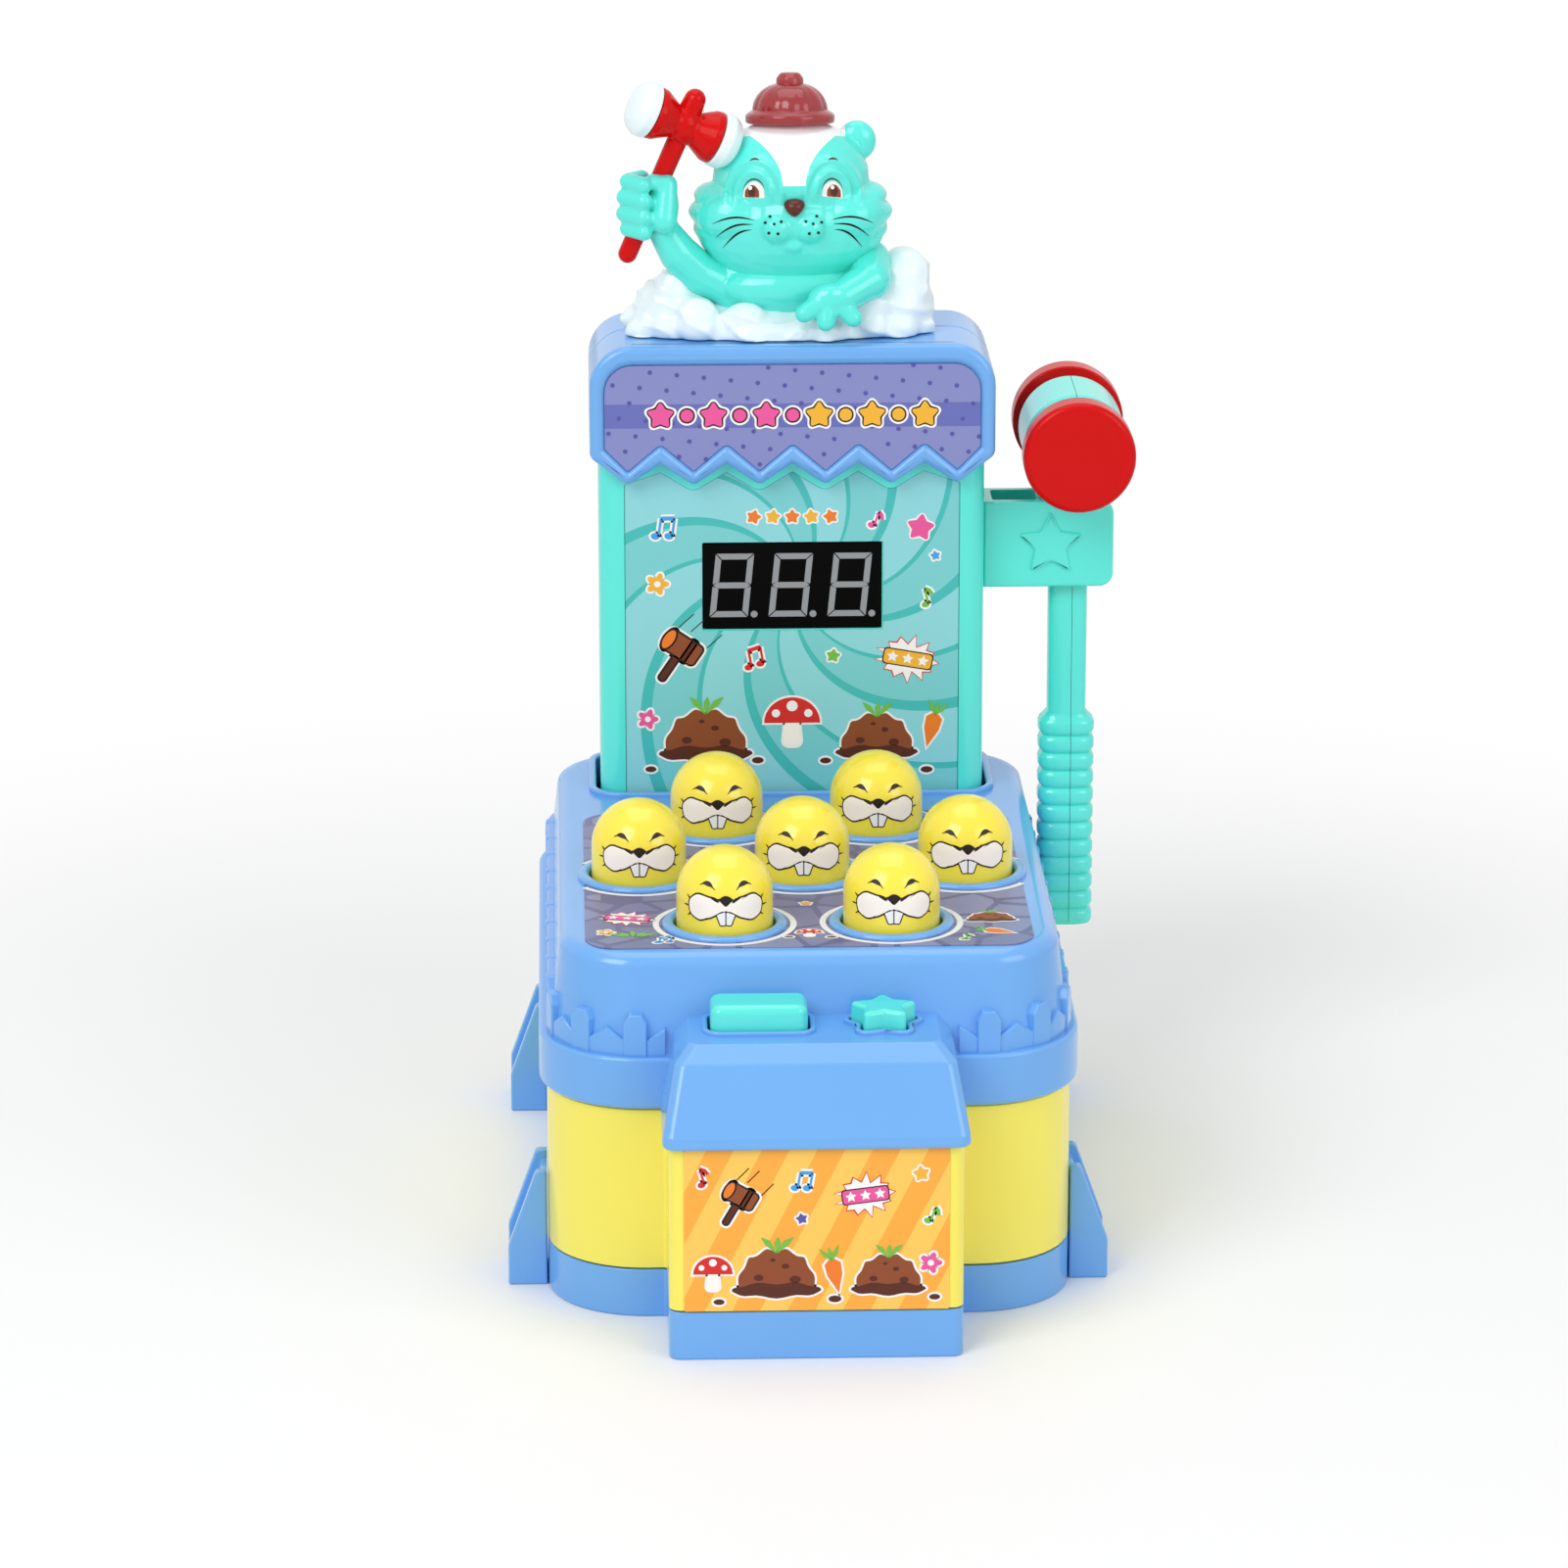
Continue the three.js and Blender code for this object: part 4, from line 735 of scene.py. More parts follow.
BLUE = Finish("Blue plastic", "#6CABEC")
YELLOW = Finish("Yellow plastic", "#F7EA5E")
DOME_YELLOW = Finish("Dome yellow plastic", "#FCE745", drift=0.12)
TURQUOISE = Finish("Turquoise plastic", "#58EADD")
FACE = PaintedHead("Painted turquoise plastic", "#58EADD")
RED = Finish("Red plastic", "#D00909", roughness=0.2, drift=0.2, coat=0.0, shine=0.14)
WHITE = Finish("Icy white plastic", "#E9F7FB", roughness=0.3, drift=0.15)
NOSE = Finish("Brown paint", "#5C2419", coat=0.0, shine=0.3)
LENS = TintedLens("Red lens", "#C23C42", roughness=0.14)
CLEAR = TintedLens("Clear lens", "#F4F6F8", roughness=0.08, clear=0.9)
BLACK = Finish("Black plastic", "#101112", roughness=0.35, drift=0.2)
WINDOW = Finish("Window black", "#030304", roughness=0.3, drift=0.1, coat=0.0, shine=0.05)
SEGMENT = Finish("Unlit segment", "#95989D", roughness=0.5, drift=0.3, coat=0.0, shine=0.2)
STEEL = Finish("Plated steel", "#C4C7CA", roughness=0.26, metallic=1.0, coat=0.0)
BOARD = SolderMask("Solder mask", "#2F7D46", roughness=0.35)
SLEEVE = Finish("Battery sleeve", "#43484F", roughness=0.3)
TOWER_PRINT = SwirlPrint("Swirl print", "#7BCFD2", roughness=0.34, drift=0.2, coat=0.0, shine=0.35)
CONSOLE_PRINT = StripePrint("Stripe print", "#FDC95C", roughness=0.34, drift=0.2, coat=0.0, shine=0.35)
DECK_PRINT = StonePrint("Stone print", "#8489B2", roughness=0.3, drift=0.3, coat=0.0, shine=0.4)
MARQUEE_PRINT = Finish("Violet print", "#868CC4", roughness=0.34, drift=0.25, coat=0.0, shine=0.35)


def inks() -> list[Finish]:
    """The finishes of the inks, in the order of their slots."""
    return [Finish(f"Ink {ink.name.lower()}", ink.value, roughness=0.4, drift=0.1, peel=0.0, coat=0.0,
                   shine=0.25) for ink in Ink]


class Print:
    """Ink shapes on a surface. Each layer lies a hair above the one below it."""

    hair = 0.03
    steps = 14
    disc_rows = 6
    taper = 0.04

    def __init__(self, form: Form, wrap: Wrap) -> None:
        """Takes the form that gets the shapes, and how a drawing's x, y and lift lie on the surface."""
        self.form = form
        self.wrap = wrap

    @classmethod
    def shares(cls) -> list[float]:
        """The shares of a line at which its points lie."""
        return [i / cls.steps for i in range(cls.steps + 1)]

    def patch(self, lower: Outline, upper: Outline, ink: Ink, layer: int = 1, rows: int = 1) -> None:
        """Fills the space between a lower and an upper line of equal count, both from left to right."""
        rings = []
        for row in range(rows + 1):
            share = row / rows
            rings.append([self.wrap(a + (c - a) * share, b + (d - b) * share, layer * self.hair)
                          for (a, b), (c, d) in zip(lower, upper)])
        self.form.loft(rings, ink.slot, closed=False)

    def stroke(self, path: Sequence[Point], width: float, ink: Ink, layer: int = 1,
               taper: bool = False) -> None:
        """Draws a line along a path, thin at both ends if it tapers."""
        lower, upper = [], []
        last = len(path) - 1
        for i, (x, y) in enumerate(path):
            before, after = path[max(i - 1, 0)], path[min(i + 1, last)]
            along = Vector((after[0] - before[0], after[1] - before[1])).normalized()
            swell = math.sin(math.pi * (self.taper + (1 - 2 * self.taper) * i / last)) if taper else 1
            half = width / 2 * swell
            lower.append((x + along.y * half, y - along.x * half))
            upper.append((x - along.y * half, y + along.x * half))
        self.patch(lower, upper, ink, layer)

    def arc(self, x: float, y: float, across: float, up: float, start: float, end: float, width: float,
            ink: Ink, layer: int = 1, taper: bool = False) -> None:
        """Draws part of an ellipse between two angles in degrees."""
        angles = [math.radians(start + (end - start) * share) for share in self.shares()]
        path = [(x + across * math.cos(a), y + up * math.sin(a)) for a in angles]
        self.stroke(path, width, ink, layer, taper)

    def disc(self, x: float, y: float, across: float, up: float, ink: Ink, layer: int = 1) -> None:
        """Fills an ellipse."""
        angles = [math.pi * share for share in self.shares()]
        lower, upper = ([(x - across * math.cos(a), y + side * up * math.sin(a)) for a in angles]
                        for side in (-1, 1))
        self.patch(lower, upper, ink, layer, rows=self.disc_rows)

    def shape(self, outline: Outline, ink: Ink, layer: int = 1, rows: int = 1) -> None:
        """Fills an outline that its middle can see all round."""
        x = sum(p[0] for p in outline) / len(outline)
        y = sum(p[1] for p in outline) / len(outline)
        rings = []
        for share in [1 - row / rows for row in range(rows + 1)]:
            rings.append([self.wrap(x + (px - x) * share, y + (py - y) * share, layer * self.hair)
                          for px, py in outline])
        self.form.loft(rings, ink.slot)


class Motif(Enum):
    """The motifs of the labels, each with the name of the method that draws it."""

    STAR = "star"
    BEAD = "bead"
    NOTE = "note"
    NOTES = "notes"
    BURST = "burst"
    MALLET = "mallet"
    HILL = "hill"
    TOADSTOOL = "toadstool"
    FLOWER = "flower"
    CARROT = "carrot"
    GRASS = "grass"
    CLOD = "clod"


@dataclass(frozen=True)
class Spot:
    """A motif on a label: its place, its size, its ink and its turn in degrees."""

    motif: Motif
    x: float
    y: float
    size: float
    ink: Ink = Ink.GOLD
    turn: float = 0.0


def half_turns(steps: int) -> list[float]:
    """Angles from 0 to half a turn."""
    return [math.pi * i / steps for i in range(steps + 1)]


class Motifs(Print):
    """Generic garden and music motifs.

    Each is drawn about the origin, in shares of its size, and then sized, turned and moved. Rows of dots hold
    a place and a radius, and rows of bars hold left, right, bottom, top and corner radius.
    """

    border = 0.45
    star_share, star_soft = 0.56, 0.12
    star_reach, star_notch = 1.3, 1.05
    single = ((-0.1, -0.8),)
    pair = ((-0.5, -0.8), (0.75, -0.62))
    note_head = (0.42, 0.32)
    note_stem = (0.3, 1.75)  # aside and high
    stem_width, beam_width = 0.24, 0.4
    flag = ((0.2, 0.95), (0.62, 0.66), (0.84, 0.16))
    spikes = 26
    spike_foot, spike_wander = 0.66, (0.1, 2.3)  # share of the reach, and its wander and beat
    puff_flat, puff_edge = 0.74, 0.35
    puff_bars = (((-0.82, 0.82, -0.28, 0.28, 0.12), Ink.DARK), ((-0.78, 0.78, -0.24, 0.24, 0.1), Ink.GOLD))
    puff_stars = (-0.5, 0.0, 0.5)
    puff_star = (0.2, 0.5)  # radius and inner share
    wood = ((Draw.rounded(-0.12, 0.12, -1.25, 0.1, 0.1, 3), Ink.SOIL),
            (Draw.rounded(-0.72, 0.72, -0.1, 0.75, 0.16, 4), Ink.BROWN),
            (Draw.rounded(0.2, 0.34, -0.1, 0.75, 0.02, 2), Ink.SOIL),
            (Draw.ellipse(-0.66, 0.32, 0.2, 0.42, 20), Ink.ORANGE))
    wood_edge = 0.08
    swing = (-0.5, 0.0, 0.9)
    swing_start, swing_sink, swing_length, swing_lean, swing_width = 1.05, 0.25, 0.8, 0.1, 0.22
    heap_clods = ((-0.48, 0.36, 0.13), (0.24, 0.68, 0.1), (0.5, 0.3, 0.15), (-0.1, 0.86, 0.07))
    heap_high, heap_power = 1.15, 0.7
    heap_lumps = ((0.04, 9), (0.05, 11))  # share and beat, across and up
    heap_foot = (1.2, 0.2, 0.04, 14)  # across, up, lump and beat
    clod_flat = 0.7
    sprout_leans = (-0.4, 0.05, 0.45)
    sprout = (1.05, 0.6, 1.35, 1.5, 0.17)  # start, bend, middle, end and width
    stem = Draw.filleted([(-0.34, -0.95, 0.2), (0.34, -0.95, 0.2), (0.24, 0.1, 0.0), (-0.24, 0.1, 0.0)], 4)
    cap = [(math.cos(a), 0.95 * math.sin(a) - 0.08) for a in half_turns(24)]
    cap_dots = ((0.0, 0.55, 0.2), (-0.58, 0.28, 0.15), (0.58, 0.28, 0.15))
    petals = 5
    petal_reach, petal_swell, flower_eye = 0.78, 0.22, 0.28
    root = ((0.0, -1.6), (0.5, -0.3), (0.55, 0.5), (0.2, 0.8), (-0.2, 0.8), (-0.55, 0.5), (-0.5, -0.3))
    root_leans = (-0.5, 0.0, 0.5)
    root_leaf = ((0.0, 0.7), (0.7, 1.2), (1.3, 1.7))  # share of the lean, and height
    root_leaf_width = 0.3
    grass_leans = (-1.0, -0.55, 0.0, 0.55, 1.0)
    grass_leaf = ((0.4, 0.0, 0.0), (0.8, 0.65, 0.25), (1.5, 1.2, 0.5))  # also how far a lean sinks it
    grass_width = 0.4
    loose_clod = Draw.ellipse(0.0, 0.0, 1.0, 0.55, 14)

    def __init__(self, form: Form, wrap: Wrap, ground: int = 0, edge: float = 0.0) -> None:
        """Takes also how many layers lie below the motifs, and how wide a dark edge stars and beads have."""
        super().__init__(form, wrap)
        self.ground = ground
        self.edge = edge

    def lay(self, spots: Iterable[Spot]) -> None:
        """Draws the motifs of a label."""
        for spot in spots:
            getattr(self, spot.motif.value)(spot)

    def edges(self, ink: Ink) -> list[tuple[float, Ink, int]]:
        """How far border, edge and fill of a shape reach past it, with the ink and the layer of each."""
        steps = [(self.edge + self.border, Ink.WHITE), (self.edge, Ink.DARK), (0.0, ink)]
        return [(grow, colour, self.ground + layer) for layer, (grow, colour) in enumerate(steps, 1)]

    def fill(self, outline: Sequence[Point], spot: Spot, ink: Ink, layer: int, border: float = 0.0) -> None:
        """Fills an outline of a motif on a layer, with a white border on the first layer if it has one."""
        placed = Draw.turned(outline, spot.x, spot.y, spot.turn, spot.size)
        if border:
            self.shape(Draw.inset(placed, -border), Ink.WHITE, 1)
        self.shape(placed, ink, layer)

    def line(self, path: Sequence[Point], spot: Spot, width: float, ink: Ink, layer: int,
             taper: bool = False) -> None:
        """Draws a line of a motif."""
        self.stroke(Draw.turned(path, spot.x, spot.y, spot.turn, spot.size), width, ink, layer, taper)

    def star(self, spot: Spot) -> None:
        """A star with soft tips."""
        for grow, ink, layer in self.edges(spot.ink):
            reach = spot.size + grow * self.star_reach
            inner = (spot.size * self.star_share + grow * self.star_notch) / reach
            soft = spot.size * self.star_soft + grow
            self.shape(Draw.star(spot.x, spot.y, reach, inner, soft, spot.turn), ink, layer)

    def bead(self, spot: Spot) -> None:
        """A round bead."""
        for grow, ink, layer in self.edges(spot.ink):
            self.shape(Draw.ellipse(spot.x, spot.y, spot.size + grow, steps=24), ink, layer)

    def notes(self, spot: Spot) -> None:
        """Two music notes under one beam."""
        self.note(spot, self.pair)

    def note(self, spot: Spot, heads: Sequence[Point] = single) -> None:
        """A music note with a flag, or more of them under a beam."""
        aside, high = self.note_stem
        stems = [((x + aside, y), (x + aside, y + high)) for x, y in heads]
        top = self.flag if len(heads) == 1 else (stems[0][1], stems[-1][1])
        bars = [*((stem, self.stem_width) for stem in stems), (top, self.beam_width)]
        for grow, ink, layer in ((self.border, Ink.WHITE, 1), (0.0, spot.ink, 2)):
            for x, y in heads:
                across, up = (radius + grow / spot.size for radius in self.note_head)
                self.fill(Draw.ellipse(x, y, across, up, 18), spot, ink, layer)
            for path, width in bars:
                self.line(path, spot, width * spot.size + 2 * grow, ink, layer)

    def burst(self, spot: Spot) -> None:
        """A spiky puff of a blow with a bar of three small stars on it."""
        wander, beat = self.spike_wander
        for grow, ink, layer in ((self.puff_edge / spot.size, Ink.RED, 1), (0.0, Ink.WHITE, 2)):
            puff = []
            for i in range(self.spikes):
                angle = i / self.spikes * math.tau
                reach = (self.spike_foot if i % 2 else 1.0) + wander * math.sin(i * beat)
                puff.append(((reach + grow) * math.cos(angle),
                             (self.puff_flat * reach + grow) * math.sin(angle)))
            self.fill(puff, spot, ink, layer)
        for layer, (bar, ink) in enumerate(self.puff_bars, 3):
            self.fill(Draw.rounded(*bar, 3), spot, spot.ink if ink is Ink.GOLD else ink, layer)
        for x in self.puff_stars:
            self.fill(Draw.star(x, 0.0, *self.puff_star), spot, Ink.WHITE, 5)

    def mallet(self, spot: Spot) -> None:
        """A wooden mallet with three lines of its swing."""
        for layer, (outline, ink) in enumerate(self.wood, 3):
            self.fill(Draw.inset(outline, -self.wood_edge), spot, Ink.DARK, layer - 1, self.border)
            self.fill(outline, spot, spot.ink if ink is Ink.BROWN else ink, layer)
        for shift in self.swing:
            start = self.swing_start - self.swing_sink * abs(shift)
            path = [(shift - self.swing_lean, start), (shift + self.swing_lean, start + self.swing_length)]
            self.line(path, spot, self.swing_width, Ink.DARK, 1)

    def hill(self, spot: Spot) -> None:
        """A heap of soil with clods on it and a sprout at its top."""
        (wide, wide_beat), (high, high_beat) = self.heap_lumps
        heap = [(math.cos(a) * (1 + wide * math.sin(wide_beat * a)),
                 self.heap_high * math.sin(a) ** self.heap_power * (1 + high * math.sin(high_beat * a)))
                for a in half_turns(40)]
        across, up, lump, beat = self.heap_foot
        foot = [(across * math.cos(2 * a), (up + lump * math.sin(beat * a)) * math.sin(2 * a))
                for a in half_turns(40)[:-1]]
        self.fill(heap, spot, spot.ink, 2, self.border)
        self.fill(foot, spot, Ink.SOIL, 3, self.border)
        for x, y, size in self.heap_clods:
            self.fill(Draw.ellipse(x, y, size, size * self.clod_flat, 16), spot, Ink.SOIL, 3)
        start, bend, middle, end, width = self.sprout
        for lean in self.sprout_leans:
            leaf = [(0.0, start), (lean * bend, middle), (lean, end)]
            self.line(leaf, spot, width * spot.size, Ink.GREEN, 3, True)

    def toadstool(self, spot: Spot) -> None:
        """A toadstool with pale dots."""
        self.fill(self.stem, spot, Ink.CREAM, 2, self.border)
        self.fill(self.cap, spot, spot.ink, 3, self.border)
        for x, y, size in self.cap_dots:
            self.fill(Draw.ellipse(x, y, size, steps=16), spot, Ink.WHITE, 4)

    def flower(self, spot: Spot) -> None:
        """A flower with round petals."""
        turns = [math.tau * i / 60 for i in range(60)]
        reach = [self.petal_reach + self.petal_swell * math.cos(self.petals * a) for a in turns]
        petals = [(r * math.cos(a), r * math.sin(a)) for a, r in zip(turns, reach)]
        self.fill(petals, spot, spot.ink, 2, self.border)
        self.fill(Draw.ellipse(0.0, 0.0, self.flower_eye, steps=16), spot, Ink.WHITE, 3)

    def carrot(self, spot: Spot) -> None:
        """A carrot with its leaves."""
        self.fill(self.root, spot, Ink.ORANGE, 2, self.border)
        for lean in self.root_leans:
            leaf = [(lean * x, y) for x, y in self.root_leaf]
            self.line(leaf, spot, spot.size * self.root_leaf_width, Ink.GREEN, 3, True)

    def grass(self, spot: Spot) -> None:
        """A tuft of leaves."""
        for lean in self.grass_leans:
            leaf = [(lean * x, y - abs(lean) * sink) for x, y, sink in self.grass_leaf]
            self.line(leaf, spot, spot.size * self.grass_width, Ink.GREEN, 2, True)

    def clod(self, spot: Spot) -> None:
        """A loose clod of soil."""
        self.fill(self.loose_clod, spot, Ink.SOIL, 2, self.border)


@dataclass
class SubAssembly:
    """Pieces that are built and dressed together, with the levels that they all share."""

    body_half: float = 53.2
    body_front: float = -65.45
    body_rear: float = 88.25
    console_half: float = 29.3
    console_front: float = -89.75
    tray_top: float = 10.1
    rim_base: float = 44.6
    rim_top: float = 55.5
    deck_top: float = 75.5
    cover_top: float = 63.4
    mole_hole: float = 10.3
    mole_front: float = -42.05
    mole_pitch: Point = (33.8, 33.4)
    mole_counts: tuple[int, ...] = (2, 3, 2)
    tower_half: float = 41.2
    tower_front: float = 49.75
    tower_rear: float = 78.75
    tower_corner: float = 4.6
    seam: float = 64.25
    marquee_half: float = 43.0
    marquee_front: float = 45.75
    marquee_top: float = 175.1
    pennant_tip: float = 144.8
    pennant_pitch: float = 14.0
    pennant_depth: float = 4.7
    pennant_margin: float = 1.0
    gap: float = 0.3
    cabinet: str = "cabinet"

    @property
    def moles(self) -> list[Point]:
        """The middles of the moles, from the front left."""
        across, back = self.mole_pitch
        return [((i - (count - 1) / 2) * across, self.mole_front + row * back)
                for row, count in enumerate(self.mole_counts) for i in range(count)]

    def pennant_x(self, index: float) -> float:
        """The place across of a pennant's tip, counted from the left, or of the valley half a step away."""
        return self.pennant_margin - self.marquee_half + (index + 0.5) * self.pennant_pitch

    def piece(self, name: str, form: Form, finishes: Sequence[Finish], replaces: Sequence[str] = (),
              body: str = "", cuts: Sequence[Form] = (), sharp: float = 38.0) -> bpy.types.Object:
        """Builds a piece, dresses it and makes it ride.

        Args:
            name: Its name.
            form: Its mesh.
            finishes: The finish of each material slot.
            replaces: The solids that it stands for.
            body: The body that it rides on, the cabinet if none is named.
            cuts: Forms that are cut out of it.
            sharp: The angle in degrees from which an edge shows as sharp.

        Returns:
            The piece.
        """
        piece = form.build(name)
        if cuts:
            carve(piece, cuts)
        return self.settle(piece, finishes, replaces, body, sharp)

    def settle(self, piece: bpy.types.Object, finishes: Sequence[Finish], replaces: Sequence[str] = (),
               body: str = "", sharp: float = 38.0) -> bpy.types.Object:
        """Shades, dresses and places a piece whose mesh is ready. The arguments are those of piece."""
        for finish in finishes:
            piece.data.materials.append(finish.material())
        smooth(piece, sharp)
        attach(piece, body or self.cabinet)
        if replaces:
            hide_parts(*replaces)
        LOG.info("%s: %d faces", piece.name, len(piece.data.polygons))
        return piece

    def dress(self, finish: Finish, *nodes: str) -> None:
        """Gives solids that stay in sight a finish."""
        for node in nodes:
            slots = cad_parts[node].material_slots
            for slot in slots:
                slot.material = finish.material()
            LOG.info("%s: dressed", node)


@dataclass
class Cabinet(SubAssembly):
    """Tray, yellow wall, upper shell with its fence and cover, labels and feet."""

    corner: float = 20.0
    console_corner: float = 2.4
    inner_corner: float = 0.8
    wall: float = 2.0
    tray_edge: float = 0.35
    tray_foot: float = 0.5
    wall_edge: float = 0.3
    door_half: float = 29.2
    door_span: Point = (18.7, 67.1)
    door_corner: float = 0.4
    latch_half: float = 3.9
    latch_front: float = 15.1
    latch_corner: float = 3.6
    screw_hole: float = 3.1
    screw_places: tuple[Point, ...] = ((43.0, -53.75), (47.5, 57.75))
    grille_span: Point = (-35.7, -18.3)
    grille_rows: int = 5
    grille_front: float = -40.0
    grille_pitch: float = 4.0
    slit_half: float = 1.0
    slit_round: float = 0.95
    switch_slot: Row = (22.0, 30.0, 25.6, 30.6)  # left, right, bottom and top
    slot_round: float = 0.8
    cut_reach: float = 4.0
    rim_proud: float = 1.5
    rim_lip: float = 3.6
    rim_foot_round: float = 1.3
    rim_crown_round: float = 0.8
    ledge: float = 2.2
    ledge_round: float = 0.4
    top_inset: float = 6.3
    side_steep: float = 1.9
    top_round: float = 3.7
    deck_reach: float = 12.0
    under_inset: float = 9.0
    recess_gap: float = 0.9
    recess_drop: float = 5.0
    hole_drop: float = 3.0
    seat: float = 0.4
    collar_width: float = 1.6
    collar_height: float = 1.1
    collar_edge: float = 0.5
    ring_width: float = 2.4
    ring_height: float = 1.2
    ring_rounds: Point = (0.9, 0.8)  # outside and inside
    cover_proud: float = 1.3
    cover_nose: float = 2.0
    cover_tail: float = 5.6
    # Inset at the sides and at the front, level and radius of each corner.
    cover_slope: tuple[Row, ...] = ((0.2, 0.4, 47.0, 1.5), (2.7, 6.5, 60.2, 1.6))
    # Insets of the edge of the top and of the flat within it.
    cover_crown: tuple[Point, Point] = ((5.7, 10.4), (9.0, 14.0))
    cover_round: float = 1.2
    key_gap: float = 0.5
    key_drop: float = 2.5
    key_collar: float = 1.1
    key_collar_height: float = 0.9
    key_collar_sunk: float = 0.3
    key_collar_edge: float = 0.4
    pale_width: float = 4.8
    pale_height: float = 8.6
    pale_pitch: float = 11.9
    pale_proud: float = 0.7
    pale_back: float = 2.6
    pale_point: float = 1.9
    pale_edge: float = 0.35
    pale_rounds: Point = (1.0, 0.6)  # at the shoulder and at the point
    fence_sunk: float = 0.6
    fence_closes: float = 0.75
    side_drop: float = 0.12
    grass_low: float = 3.3
    grass_rise: float = 2.3
    grass_share: float = 0.3
    grass_step: float = 0.595
    grass_face: float = 0.45
    grass_crown: float = 0.15
    grass_bevel: float = 0.3
    grass_back: float = 3.2
    circle_radius: float = 13.95
    circle_width: float = 1.25
    circle_step: int = 3
    circle_overlap: float = 0.2
    label_inset: float = 6.8
    label_margin: float = 0.5
    label_rear: float = 35.55
    label_corner: float = 6.7
    label_lift: float = 0.02
    label_thickness: float = 0.25
    label_edge: float = 0.1
    console_margin: float = 3.0
    console_seat: float = 0.05
    console_proud: float = 0.3
    console_label_corner: float = 0.4
    foot_gap: float = 0.25
    foot_reach: float = 8.2
    foot_height: float = 24.5
    foot_depth: float = 15.6
    foot_rib: float = 2.4
    foot_sunk: float = 1.7
    foot_knee: float = 8.4
    foot_crown: float = 2.2
    foot_ease: float = 0.6
    foot_rounds: Row = (0.5, 2.0, 0.9)  # toe, knee and crown
    foot_edge: float = 0.45
    foot_fronts: Point = (-46.65, 60.25)
    deck_spots: tuple[Spot, ...] = (
        Spot(Motif.BURST, -36.6, -38.2, 5.8, Ink.PINK, -12), Spot(Motif.FLOWER, -41.0, -47.2, 1.8, Ink.GOLD),
        Spot(Motif.GRASS, -35.6, -50.4, 3.4), Spot(Motif.NOTES, -29.8, -52.6, 1.8, Ink.BLUE),
        Spot(Motif.TOADSTOOL, 0.0, -48.6, 2.6, Ink.RED), Spot(Motif.CLOD, 4.4, -51.6, 1.0),
        Spot(Motif.CLOD, -4.2, -51.2, 0.9), Spot(Motif.STAR, 0.0, -29.2, 1.4, Ink.GOLD),
        Spot(Motif.HILL, 37.2, -41.6, 4.4, Ink.BROWN), Spot(Motif.CARROT, 37.6, -48.6, 2.6, Ink.ORANGE, 70),
        Spot(Motif.NOTE, 31.2, -52.4, 1.8, Ink.GREEN), Spot(Motif.GRASS, 18.0, -14.0, 2.2),
        Spot(Motif.NOTE, -17.0, -12.5, 1.9, Ink.PINK), Spot(Motif.FLOWER, -38.4, 13.6, 1.9, Ink.PINK),
        Spot(Motif.GRASS, 39.0, 12.0, 2.6), Spot(Motif.STAR, 0.0, 15.0, 1.7, Ink.GREEN))
    console_spots: tuple[Spot, ...] = (
        Spot(Motif.TOADSTOOL, -20.6, 18.6, 3.9, Ink.RED), Spot(Motif.HILL, -8.0, 14.8, 7.4, Ink.BROWN),
        Spot(Motif.CARROT, 3.4, 18.8, 3.0, Ink.ORANGE, 12), Spot(Motif.HILL, 14.2, 14.8, 6.2, Ink.BROWN),
        Spot(Motif.FLOWER, 22.6, 20.2, 2.3, Ink.PINK), Spot(Motif.MALLET, -15.6, 33.4, 4.2, Ink.BROWN, -30),
        Spot(Motif.BURST, 9.6, 34.6, 5.8, Ink.PINK, 7), Spot(Motif.NOTES, -3.2, 37.6, 1.9, Ink.BLUE, -10),
        Spot(Motif.NOTE, -23.0, 38.6, 1.9, Ink.RED, 16), Spot(Motif.STAR, 20.6, 39.0, 1.8, Ink.GOLD, 8),
        Spot(Motif.NOTE, 22.6, 30.4, 1.8, Ink.GREEN, -20), Spot(Motif.STAR, -3.0, 29.8, 1.3, Ink.VIOLET, 12),
        Spot(Motif.CLOD, -19.4, 12.4, 1.1), Spot(Motif.CLOD, 3.6, 12.8, 1.3),
        Spot(Motif.CLOD, 23.4, 13.0, 1.1))

    def build(self) -> None:
        """Builds every piece of the cabinet."""
        self.tray()
        self.wall_shell()
        self.upper_shell()
        self.deck_label()
        self.console_label()
        for side, word in ((-1, "left"), (1, "right")):
            for front, place in zip(self.foot_fronts, ("front", "rear")):
                self.foot(side, front, f"foot_{place}_{word}")

    def footprint(self, inset: float = 0.0) -> Outline:
        """The outline of cabinet and console, drawn in by an inset."""
        half, console = self.body_half, self.console_half
        right = [(console, self.console_front, self.console_corner),
                 (console, self.body_front, self.inner_corner),
                 (half, self.body_front, self.corner), (half, self.body_rear, self.corner)]
        return Draw.inset(Draw.filleted(right + Draw.mirrored(right), 14), inset)

